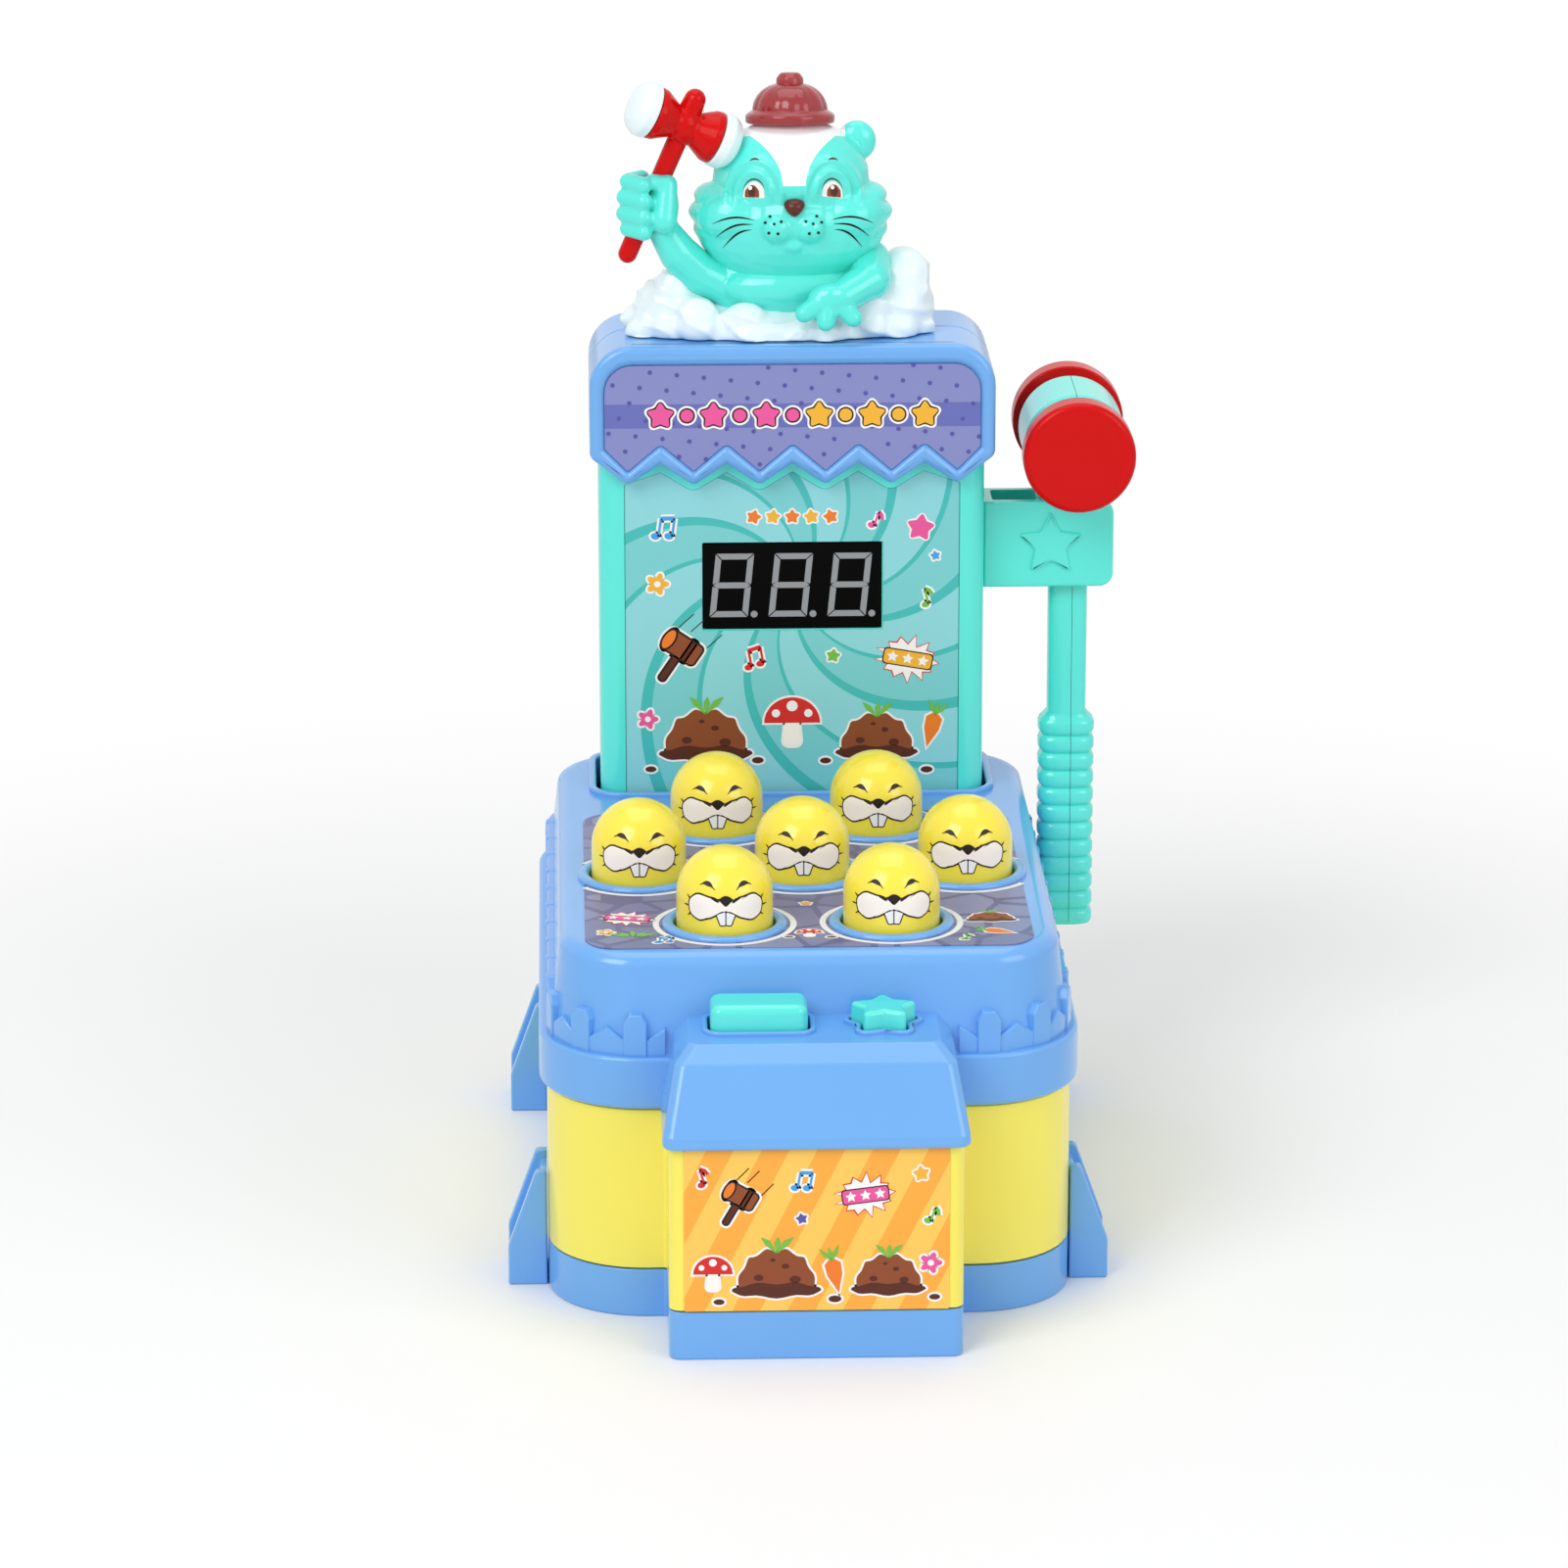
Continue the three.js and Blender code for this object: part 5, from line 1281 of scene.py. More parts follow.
    def tray(self) -> None:
        """The blue tray, open below the batteries, the speaker and the screws."""
        front, rear = self.door_span
        right = [(self.latch_half, self.latch_front, self.latch_corner),
                 (self.latch_half, front, self.door_corner),
                 (self.door_half, front, self.door_corner), (self.door_half, rear, self.door_corner)]
        corners = right + Draw.mirrored(right)
        door = Draw.filleted(corners[-3:] + corners[:-3], 5)
        screws = [Draw.ellipse(side * x, y, self.screw_hole, steps=24)
                  for side in (-1, 1) for x, y in self.screw_places]
        slits = [self.grille_front + i * self.grille_pitch for i in range(self.grille_rows)]
        grille = [Draw.rounded(*self.grille_span, y - self.slit_half, y + self.slit_half, self.slit_round, 4)
                  for y in slits]
        form = Form().plate(self.footprint(), 0.0, self.tray_top, holes=[door, *screws, *grille],
                            edge=self.tray_edge, foot=self.tray_foot)
        self.piece("tray", form, [BLUE], ["base_tray"])

    def wall_shell(self) -> None:
        """The yellow wall, with the slot of the power switch at the rear."""
        form = Form().plate(self.footprint(), self.tray_top + self.gap, self.rim_base - self.gap,
                            holes=[self.footprint(self.wall)], edge=self.wall_edge, foot=self.wall_edge)
        slot = Form().slab(Draw.rounded(*self.switch_slot, self.slot_round), self.body_rear - self.cut_reach,
                           self.body_rear + self.cut_reach)
        self.piece("wall_shell", form, [YELLOW], ["body_shell"], cuts=[slot])

    def rim_outline(self, inset: float) -> Outline:
        """The outline of the rim, drawn in by an inset, less so at the sides, where the wall is steeper."""
        out = self.rim_proud - inset
        lean = (inset - self.ledge) / (self.top_inset - self.ledge)
        half = self.body_half + out + self.side_steep * min(max(lean, 0.0), 1.0)
        return Draw.rounded(-half, half, self.body_front - out, self.body_rear + out, self.corner + out, 16)

    def cover_outline(self, side: float, front: float) -> Outline:
        """The outline of the console cover, drawn in at the sides and at the front."""
        half = self.console_half + self.cover_proud - side
        near, far = self.console_front - self.cover_nose + front, self.body_front + self.cover_tail
        return Draw.rounded(-half, half, near, far, self.console_corner, 6)

    def upper_shell(self) -> None:
        """The blue shell: rim, deck wall, deck, fence, mole rings, tower recess and console cover."""
        form = Form()
        top, flat = self.deck_top, Plane.TOP.place()
        corners = [(self.rim_lip, self.rim_base, 0.0), (0.0, self.rim_base, self.rim_foot_round),
                   (0.0, self.rim_top, self.rim_crown_round), (self.ledge, self.rim_top, self.ledge_round),
                   (self.top_inset, top, self.top_round), (self.deck_reach, top, 0.0)]
        path = Draw.bent(corners, 8)[:-1]
        form.loft([Draw.ring(self.rim_outline(p.x), p.y) for p in path])
        gap = self.recess_gap
        recess = Draw.rounded(-self.tower_half - gap, self.tower_half + gap, self.tower_front - gap,
                              self.tower_rear + gap, self.tower_corner + gap, 8)
        holes = [Draw.ellipse(x, y, self.mole_hole, steps=56) for x, y in self.moles]
        form.cap([self.rim_outline(path[-1].x), recess, *holes], top, flat)
        form.cap([self.rim_outline(self.under_inset), recess, *holes], top - self.wall, flat, False)
        for hole, drop in [(recess, self.recess_drop)] + [(hole, self.hole_drop) for hole in holes]:
            form.loft([Draw.ring(hole, level) for level in (top, top - drop)])
        for x, y in self.moles:
            self.mole_ring(form, x, y)
        form.plate(Draw.inset(recess, -self.collar_width), top - self.seat, top + self.collar_height,
                   holes=[recess], edge=self.collar_edge)
        self.cover(form)
        self.fence(form)
        self.piece("upper_housing", form, [BLUE], ["upper_shell"])

    def mole_ring(self, form: Form, x: float, y: float) -> None:
        """A raised ring with a round crown."""
        inner, outer = self.mole_hole, self.mole_hole + self.ring_width
        crown = self.deck_top + self.ring_height
        outside, inside = self.ring_rounds
        profile = Draw.bent([(outer, self.deck_top - self.seat, 0.0), (outer, crown, outside),
                             (inner, crown, inside), (inner, self.deck_top - self.wall, 0.0)], 5)
        form.turned(profile, Plane.TOP.place(x, y))

    def cover(self, form: Form) -> None:
        """The console cover with the holes and collars of its buttons."""
        top, level = self.cover_top, Plane.TOP.place()
        edge, flat = self.cover_crown
        corners = [(self.rim_lip, self.rim_lip, self.rim_base, 0.0),
                   (0.0, 0.0, self.rim_base, self.cover_round),
                   *self.cover_slope, (*edge, top, self.cover_round), (*flat, top, 0.0)]
        path = Draw.bent(corners, 4)[:-1]
        form.loft([Draw.ring(self.cover_outline(p.x, p.y), p.z) for p in path])
        keys = Buttons()
        holes = [keys.mode_outline(self.key_gap), keys.star_outline(self.key_gap)]
        form.cap([self.cover_outline(path[-1].x, path[-1].y), *holes], top, level)
        for hole in holes:
            form.loft([Draw.ring(hole, height) for height in (top, top - self.key_drop)])
            form.plate(Draw.inset(hole, -self.key_collar), top - self.key_collar_sunk,
                       top + self.key_collar_height, holes=[hole], edge=self.key_collar_edge)

    def along_fence(self, distance: float) -> tuple[float, float, float]:
        """The place and the heading on the rim at a distance from the middle of the front, toward +X."""
        inset = self.ledge - self.rim_proud
        corner = self.corner - inset
        flat = self.body_half - self.corner
        quarter = corner * math.pi / 2
        side = self.body_rear - self.body_front - 2 * self.corner
        if distance < flat:
            return distance, self.body_front + inset, 0.0
        if distance < flat + quarter:
            turn = (distance - flat) / corner
            away = self.corner - corner * math.cos(turn)
            return flat + corner * math.sin(turn), self.body_front + away, turn
        if distance < flat + quarter + side:
            rest = distance - flat - quarter
            return self.body_half - inset, self.body_front + self.corner + rest, math.pi / 2
        if distance < flat + 2 * quarter + side:
            turn = (distance - flat - quarter - side) / corner + math.pi / 2
            away = self.corner + corner * math.cos(turn)
            return flat + corner * math.sin(turn), self.body_rear - away, turn
        return flat - (distance - flat - 2 * quarter - side), self.body_rear - inset, math.pi

    def beside(self, distance: float) -> float:
        """How far the fence is closed at a distance: not at all at the front, wholly along the sides."""
        begin = self.body_half - self.corner + self.fence_closes * self.corner * math.pi / 2
        return min(max((distance - begin) / self.pale_pitch, 0.0), 1.0)

    def fence(self, form: Form) -> None:
        """The fence in relief: pales with a low zigzag of grass between them."""
        start = self.console_half + self.cover_proud + self.pale_width
        bend = (self.corner - self.ledge + self.rim_proud) * math.pi
        end = 2 * (self.body_half - self.corner) + (self.body_rear - self.body_front - 2 * self.corner) + bend
        for side in (1, -1):
            self.pales(form, side, start, end)
            self.grass(form, side, start, end)

    def pales(self, form: Form, side: int, start: float, end: float) -> None:
        """The pales of one side, from a start to an end along the rim."""
        half, top = self.pale_width / 2, self.rim_top + self.pale_height
        foot, shoulder = self.rim_top - self.fence_sunk, top - self.pale_point
        low, high = self.pale_rounds
        pale = Draw.filleted([(-half, foot, 0.0), (half, foot, 0.0), (half, shoulder, low),
                              (half / 2, top, high), (-half / 2, top, high), (-half, shoulder, low)], 4)
        distance = start
        while distance < end - half:
            x, y, turn = self.along_fence(distance)
            place = Matrix.Translation((x * side, y, 0)) @ Matrix.Rotation(turn * side, 4, "Z")
            form.plate(pale, -self.pale_back, self.pale_proud, place @ Plane.FRONT.place(),
                       edge=self.pale_edge)
            distance += self.pale_pitch

    def grass(self, form: Form, side: int, start: float, end: float) -> None:
        """The zigzag between the pales of one side, which rises to a closed band along the sides."""
        mirror = Matrix.Diagonal((side, 1.0, 1.0, 1.0))
        foot = self.rim_top - self.fence_sunk
        rings = []
        distance = start - self.pale_pitch / 2
        while distance < end:
            x, y, turn = self.along_fence(distance)
            phase = ((distance - start) / self.pale_pitch) % 1.0
            rise = self.grass_low + self.grass_rise * max(0.0, 1 - abs(phase - 0.5) / self.grass_share)
            rise += (self.pale_height - self.side_drop - rise) * self.beside(distance)
            top = self.rim_top + rise
            section = ((self.grass_face, foot), (self.grass_face, top - self.grass_bevel),
                       (self.grass_crown, top), (-self.grass_back, top), (-self.grass_back, foot))
            out = Vector((math.sin(turn), -math.cos(turn), 0.0))
            ring = [mirror @ (Vector((x, y, z)) + out * reach) for reach, z in section]
            rings.append(ring if side > 0 else ring[::-1])
            distance += self.grass_step
        form.loft(rings, capped=True)

    def deck_label(self) -> None:
        """The label of the deck, with white circles round the moles and motifs in its corners."""
        inset = self.ledge - self.rim_proud + self.label_inset + self.label_margin
        half = self.body_half - inset
        top = self.deck_top + self.label_thickness
        outline = Draw.rounded(-half, half, self.body_front + inset, self.label_rear, self.label_corner, 8)
        holes = [Draw.ellipse(x, y, self.mole_hole + self.gap, steps=56) for x, y in self.moles]
        form = Form().plate(outline, self.deck_top + self.label_lift, top, holes=holes, edge=self.label_edge)
        art = Motifs(form, lambda x, y, lift: Vector((x, y, top + lift)))
        reach, step = self.circle_radius, self.circle_step
        for x, y in self.moles:
            for start in range(0, 360, step):
                middle = math.radians(start + step / 2)
                if Draw.holds(outline, x + reach * math.cos(middle), y + reach * math.sin(middle), 0.0):
                    end = start + step + self.circle_overlap
                    art.arc(x, y, reach, reach, start, end, self.circle_width, Ink.WHITE)
        art.lay(self.deck_spots)
        self.piece("deck_print", form, [DECK_PRINT, *inks()], ["deck_label"])

    def console_label(self) -> None:
        """The label of the console, slanted stripes with motifs."""
        half = self.console_half - self.console_margin
        face = self.console_front - self.console_proud
        outline = Draw.rounded(-half, half, self.tray_top + self.gap, self.rim_base - self.gap,
                               self.console_label_corner, 3)
        form = Form().slab(outline, face, self.console_front + self.console_seat, edge=self.label_edge)
        art = Motifs(form, lambda x, z, lift: Vector((x, face - lift, z)))
        art.lay(self.console_spots)
        self.piece("console_print", form, [CONSOLE_PRINT, *inks()], ["console_label"])

    def foot(self, side: int, front: float, name: str) -> None:
        """A side foot: two pointed plates with a sunk web between them."""
        inner, outer = self.body_half + self.foot_gap, self.body_half + self.foot_reach
        toe, knee, crown = self.foot_rounds
        rib, rear = self.foot_rib, front + self.foot_depth
        form = Form()
        for near, far, sunk in ((front, front + rib, 0.0), (front + rib / 2, rear - rib / 2, self.foot_sunk),
                                (rear - rib, rear, 0.0)):
            top = self.foot_height - sunk
            corners = [(inner, 0.0, 0.0), (outer - sunk, 0.0, toe), (outer - sunk, self.foot_knee, knee),
                       (inner + self.foot_crown - sunk * self.foot_ease, top, crown), (inner, top, 0.0)]
            outline = Draw.filleted(corners, 5)
            if side < 0:
                outline = [(-x, z) for x, z in reversed(outline)]
            form.slab(outline, near, far, edge=self.foot_edge, foot=self.foot_edge)
        self.piece(name.replace("foot", "stand"), form, [BLUE], [name])


@dataclass
class Buttons(SubAssembly):
    """The two buttons of the console."""

    mode_top: float = 69.0
    mode_edge: float = 1.7
    mode_box: Row = (-20.6, -1.2, -75.55, -64.95)  # left, right, front and rear
    mode_corner: float = 2.2
    star_top: float = 67.8
    star_edge: float = 1.0
    star_middle: Point = (14.0, -70.25)
    star_reach: float = 7.5
    star_tip: float = 0.9
    foot: float = 59.6

    def mode_outline(self, grow: float = 0.0) -> Outline:
        """The outline of the mode button."""
        return Draw.inset(Draw.rounded(*self.mode_box, self.mode_corner, 6), -grow)

    def star_outline(self, grow: float = 0.0) -> Outline:
        """The outline of the star button."""
        return Draw.inset(Draw.star(*self.star_middle, self.star_reach, tip=self.star_tip), -grow)

    def build(self) -> None:
        """Builds both buttons, each with a soft top edge."""
        for name, node, outline, top, edge in (
                ("mode_key", "mode_button", self.mode_outline(), self.mode_top, self.mode_edge),
                ("star_key", "start_button", self.star_outline(), self.star_top, self.star_edge)):
            self.piece(name, Form().plate(outline, self.foot, top, edge=edge), [TURQUOISE], [node], node)


@dataclass
class Moles(SubAssembly):
    """The seven sprung domes with their printed faces."""

    radius: float = 9.8
    dome_base: float = 82.4
    shell: float = 1.6
    skirt_base: float = 67.0
    hollow_top: float = 78.6
    flange_reach: float = 2.2
    flange_drop: float = 2.3
    flange_thickness: float = 1.6
    ink_lift: float = 0.02
    muzzle: tuple[Row, ...] = (
        (0.0, 81.6, 0.2), (3.2, 80.1, 3.0), (5.5, 79.35, 1.7), (7.85, 80.4, 1.9), (8.15, 83.1, 1.7),
        (6.2, 84.7, 1.9), (3.6, 84.15, 3.0), (0.0, 83.6, 0.2))
    nose: tuple[Row, ...] = (
        (-1.55, 83.9, 0.5), (0.0, 82.3, 0.5), (1.55, 83.9, 0.5), (0.0, 84.9, 1.4))
    tooth: tuple[Row, ...] = (
        (0.12, 81.6, 0.0), (0.12, 78.6, 0.1), (1.05, 78.5, 0.3), (1.85, 80.7, 0.1))
    lid: tuple[Row, ...] = (
        (2.3, 85.7, 0.0), (3.4, 86.65, 2.5), (4.7, 86.95, 2.0), (6.0, 86.4, 0.0))
    whiskers: tuple[tuple[Point, Point], ...] = (
        ((7.6, 83.2), (8.9, 84.1)), ((7.9, 81.9), (9.7, 81.95)), ((7.3, 80.6), (8.6, 79.8)))
    muzzle_line: float = 0.34
    tooth_line: float = 0.26
    lid_line: float = 0.9
    whisker_line: float = 0.32

    def build(self) -> None:
        """Builds the domes."""
        for number, (x, y) in enumerate(self.moles, 1):
            form = Form()
            form.turned(self.profile(), Plane.TOP.place(x, y), 72)
            self.face(Print(form, lambda u, v, lift, x=x, y=y: self.on_dome(x, y, u, v, lift)))
            self.piece(f"dome_{number}", form, [DOME_YELLOW, *inks()], [f"mole_{number}"], f"mole_{number}")

    def profile(self) -> list[Point]:
        """The section of the dome, from its hollow round to its crown."""
        inner, reach = self.radius - self.shell, self.radius + self.flange_reach
        flange = self.deck_top - self.flange_drop
        below = flange - self.flange_thickness
        section = [(0.0, self.hollow_top), (inner, self.hollow_top), (inner, self.skirt_base),
                   (self.radius, self.skirt_base), (self.radius, below), (reach, below), (reach, flange),
                   (self.radius, flange)]
        arc = [math.radians(a) for a in range(0, 91, 5)]
        return section + [(self.radius * math.cos(a),
                           self.dome_base + self.radius * math.sin(a)) for a in arc]

    def on_dome(self, x: float, y: float, u: float, v: float, lift: float) -> Vector:
        """The point of the dome at u round its front and at height v, lifted off the surface."""
        rise = max(v - self.dome_base, 0.0)
        reach = math.sqrt(self.radius ** 2 - rise ** 2)
        turn = u / self.radius
        level = reach / self.radius
        out = Vector((math.sin(turn) * level, -math.cos(turn) * level, rise / self.radius))
        skin = Vector((x + math.sin(turn) * reach, y - math.cos(turn) * reach, v))
        return skin + out * (lift + self.ink_lift)

    def face(self, art: Print) -> None:
        """A squeezed face: shut eyes, a pale muzzle in two pads, a nose, two teeth and short whiskers."""
        pads = Draw.filleted([*self.muzzle, *Draw.mirrored(self.muzzle[1:-1])], 5)
        art.shape(Draw.inset(pads, -self.muzzle_line), Ink.DARK, 3, rows=8)
        art.shape(pads, Ink.CREAM, 4, rows=8)
        art.shape(Draw.filleted(self.nose, 5), Ink.DARK, 5, rows=3)
        lid = [(p.x, p.y) for p in Draw.bent(self.lid, 6)]
        lines = [(lid, self.lid_line)]
        for (ax, az), (bx, bz) in self.whiskers:
            lines.append(([(ax + (bx - ax) * t / 4, az + (bz - az) * t / 4) for t in range(5)],
                          self.whisker_line))
        for side in (-1, 1):
            tooth = Draw.filleted([(side * x, z, r) for x, z, r in self.tooth[::side]], 3)
            art.shape(Draw.inset(tooth, -self.tooth_line), Ink.DARK, 1, rows=3)
            art.shape(tooth, Ink.WHITE, 2, rows=3)
            for line, width in lines:
                art.stroke([(side * x, z) for x, z in line[::side]], width, Ink.DARK, 3, taper=True)


@dataclass
class Tower(SubAssembly):
    """The score tower with its label and its window of digits."""

    foot: float = 71.2
    top: float = 163.0
    wall: float = 2.0
    seam_gap: float = 0.12
    seam_rounds: Point = (0.3, 0.1)  # outside and inside
    casing_edge: float = 0.2
    recess: float = 0.6
    cut_reach: float = 3.0
    window_cut: float = 4.0
    label_half: float = 35.8
    label_foot: float = 0.2
    label_shoulder: float = 1.6
    label_tip_drop: float = 2.1
    label_valley_drop: float = 2.5
    label_rounds: Point = (0.3, 2.8)  # valleys and tips
    label_gap: float = 0.12
    label_lift: float = 0.35
    label_thickness: float = 0.3
    label_edge: float = 0.08
    window_half: float = 18.9
    window_base: float = 112.5
    window_top: float = 131.1
    window_corners: Point = (0.3, 0.2)  # of its opening and of its face
    window_proud: float = 0.2
    window_depth: float = 7.6
    window_edge: float = 0.15
    reveal: float = 0.6
    figures: int = 3
    figure_middle: float = -0.3
    figure_pitch: float = 12.6
    figure_rise: float = 0.2
    figure_lift: float = 0.04
    digit_half: float = 4.1
    digit_rise: float = 7.0
    segment: float = 1.3
    segment_cut: float = 0.16
    segment_tips: Point = (0.26, 0.46)  # where an upright segment ends beside the middle bar
    segment_point: float = 0.6
    slant: float = 0.1
    dot_shift: Point = (4.75, -6.2)
    dot_radius: float = 0.75
    star_count: int = 5
    star_pitch: float = 4.1
    star_level: float = 137.0
    star_size: float = 1.75
    star_turn: float = 8.0
    spots: tuple[Spot, ...] = (
        Spot(Motif.NOTES, -27.8, 134.6, 2.3, Ink.BLUE, -8), Spot(Motif.NOTE, 17.6, 136.4, 1.9, Ink.PINK, -20),
        Spot(Motif.STAR, 27.4, 134.4, 3.3, Ink.PINK, -8), Spot(Motif.STAR, 30.6, 128.2, 1.2, Ink.BLUE, 10),
        Spot(Motif.FLOWER, -28.8, 122.4, 2.5, Ink.GOLD), Spot(Motif.NOTE, 28.4, 119.0, 2.0, Ink.GREEN, 14),
        Spot(Motif.MALLET, -24.4, 106.8, 5.4, Ink.BROWN, -34),
        Spot(Motif.BURST, 24.8, 105.4, 6.6, Ink.GOLD, -10),
        Spot(Motif.NOTES, -8.6, 105.6, 2.1, Ink.RED, 10), Spot(Motif.STAR, 8.8, 106.2, 1.7, Ink.GREEN, -8),
        Spot(Motif.FLOWER, -31.0, 92.4, 2.3, Ink.PINK), Spot(Motif.HILL, -18.6, 84.6, 8.4, Ink.BROWN),
        Spot(Motif.TOADSTOOL, 0.0, 91.8, 6.0, Ink.RED), Spot(Motif.HILL, 18.2, 84.6, 7.4, Ink.BROWN),
        Spot(Motif.CARROT, 30.2, 90.6, 3.2, Ink.ORANGE, -14), Spot(Motif.CLOD, -7.4, 83.0, 1.3),
        Spot(Motif.CLOD, 7.2, 82.8, 1.2), Spot(Motif.CLOD, -30.4, 81.2, 1.2),
        Spot(Motif.CLOD, 29.0, 80.6, 1.3))

    def build(self) -> None:
        """Builds the tower."""
        self.casing("tower_casing_front", "tower_front", True)
        self.casing("tower_casing_rear", "tower_rear", False)
        self.label()
        self.window()

    def casing(self, name: str, node: str, front: bool) -> None:
        """One half of the casing, split at the seam."""
        half, corner, wall = self.tower_half, self.tower_corner, self.wall
        seam = self.seam - self.seam_gap if front else self.seam + self.seam_gap
        end = self.tower_front if front else self.tower_rear
        inside = end + wall if front else end - wall
        outer, inner = self.seam_rounds
        left = [(-half, seam, outer), (-half, end, corner)]
        hollow = [(half - wall, seam, inner), (half - wall, inside, corner - wall)]
        corners = left + Draw.mirrored(left) + hollow + Draw.mirrored(hollow)
        form = Form().plate(Draw.filleted(corners if front else corners[::-1], 8), self.foot, self.top,
                            edge=self.casing_edge)
        cuts = []
        if front:
            floor = self.tower_front + self.recess
            cuts = [Form().slab(self.label_outline(0.0), floor - self.cut_reach, floor),
                    Form().slab(self.window_outline(self.gap, self.gap), floor - self.cut_reach,
                                floor + self.window_cut)]
        self.piece(name, form, [TURQUOISE], [node], cuts=cuts)

    def window_outline(self, out: float, reveal: float) -> Outline:
        """The outline of the window, let out at its left and top, and by a reveal at its right and foot."""
        return Draw.rounded(-self.window_half - out, self.window_half + reveal, self.window_base - reveal,
                            self.window_top + out, self.window_corners[0], 3)

    def label_outline(self, inset: float) -> Outline:
        """The outline of the label, whose top follows the pennants."""
        half = self.label_half
        low = self.pennant_tip - self.label_tip_drop
        high = self.pennant_tip - self.label_valley_drop + self.pennant_depth
        foot, shoulder = self.deck_top - self.label_foot, low + self.label_shoulder
        valley, tip_round = self.label_rounds
        corners = [(-half, foot, 0.0), (half, foot, 0.0), (half, shoulder, valley)]
        for i in range(4, 0, -1):
            corners += [(self.pennant_x(i + 0.5), high, valley), (self.pennant_x(i), low, tip_round)]
        corners += [(self.pennant_x(0.5), high, valley), (-half, shoulder, valley)]
        return Draw.inset(Draw.filleted(corners, 5), inset)

    def label(self) -> None:
        """The swirl label with its motifs."""
        face = self.tower_front + self.recess - self.label_lift
        hole = self.window_outline(self.gap, self.reveal)
        form = Form().slab(self.label_outline(self.label_gap), face, face + self.label_thickness, [hole],
                           self.label_edge)
        art = Motifs(form, lambda x, z, lift: Vector((x, face - lift, z)))
        for i in range(self.star_count):
            away = i - self.star_count // 2
            art.lay([Spot(Motif.STAR, away * self.star_pitch, self.star_level, self.star_size,
                          Ink.GOLD if i % 2 else Ink.ORANGE, away * self.star_turn)])
        art.lay(self.spots)
        self.piece("tower_print", form, [TOWER_PRINT, *inks()], ["tower_label"])

    def window(self) -> None:
        """The black window with three slanted figures of seven unlit segments and their points."""
        face = self.tower_front + self.window_proud
        level, front = self.figure_lift - face, Plane.FRONT.place()
        outline = Draw.rounded(-self.window_half, self.window_half, self.window_base, self.window_top,
                               self.window_corners[1], 3)
        form = Form().slab(outline, face, face + self.window_depth, edge=self.window_edge)
        middle = (self.window_base + self.window_top) / 2
        aside, below = self.dot_shift
        for i in range(self.figures):
            x = self.figure_middle + (i - self.figures // 2) * self.figure_pitch
            for outline in self.segments():
                leaning = [(x + px + pz * self.slant, middle + self.figure_rise + pz) for px, pz in outline]
                form.cap([leaning], level, front, slot=1)
            form.cap([Draw.ellipse(x + aside, middle + below, self.dot_radius, steps=20)], level, front,
                     slot=1)
        self.piece("score_window", form, [WINDOW, SEGMENT], ["display_module"])
        self.dress(BOARD, "display_board")

    def segments(self) -> list[Outline]:
        """The seven bars of a figure about its middle."""
        w, h, t, cut = self.digit_half, self.digit_rise, self.segment, self.segment_cut
        low_tip, high_tip = self.segment_tips
        bars = []
        for level in (h, -h):
            inner = level - math.copysign(t, level)
            bar = [(-w + cut, level), (w - cut, level), (w - t - cut, inner), (t + cut - w, inner)]
            bars.append(bar if level < 0 else bar[::-1])
        inside = w - t * self.segment_point - cut
        right = [(inside, -t / 2), (w - cut, 0.0), (inside, t / 2)]
        bars.append(right + [(-x, -z) for x, z in right])
        for side in (-1, 1):
            for up in (-1, 1):
                bar = [(w, h - cut), (w - t, h - t - cut), (w - t, t / 2 + cut), (w - cut / 2, low_tip),
                       (w, high_tip)]
                bars.append([(side * x, up * z) for x, z in bar[::side * up]])
        return bars


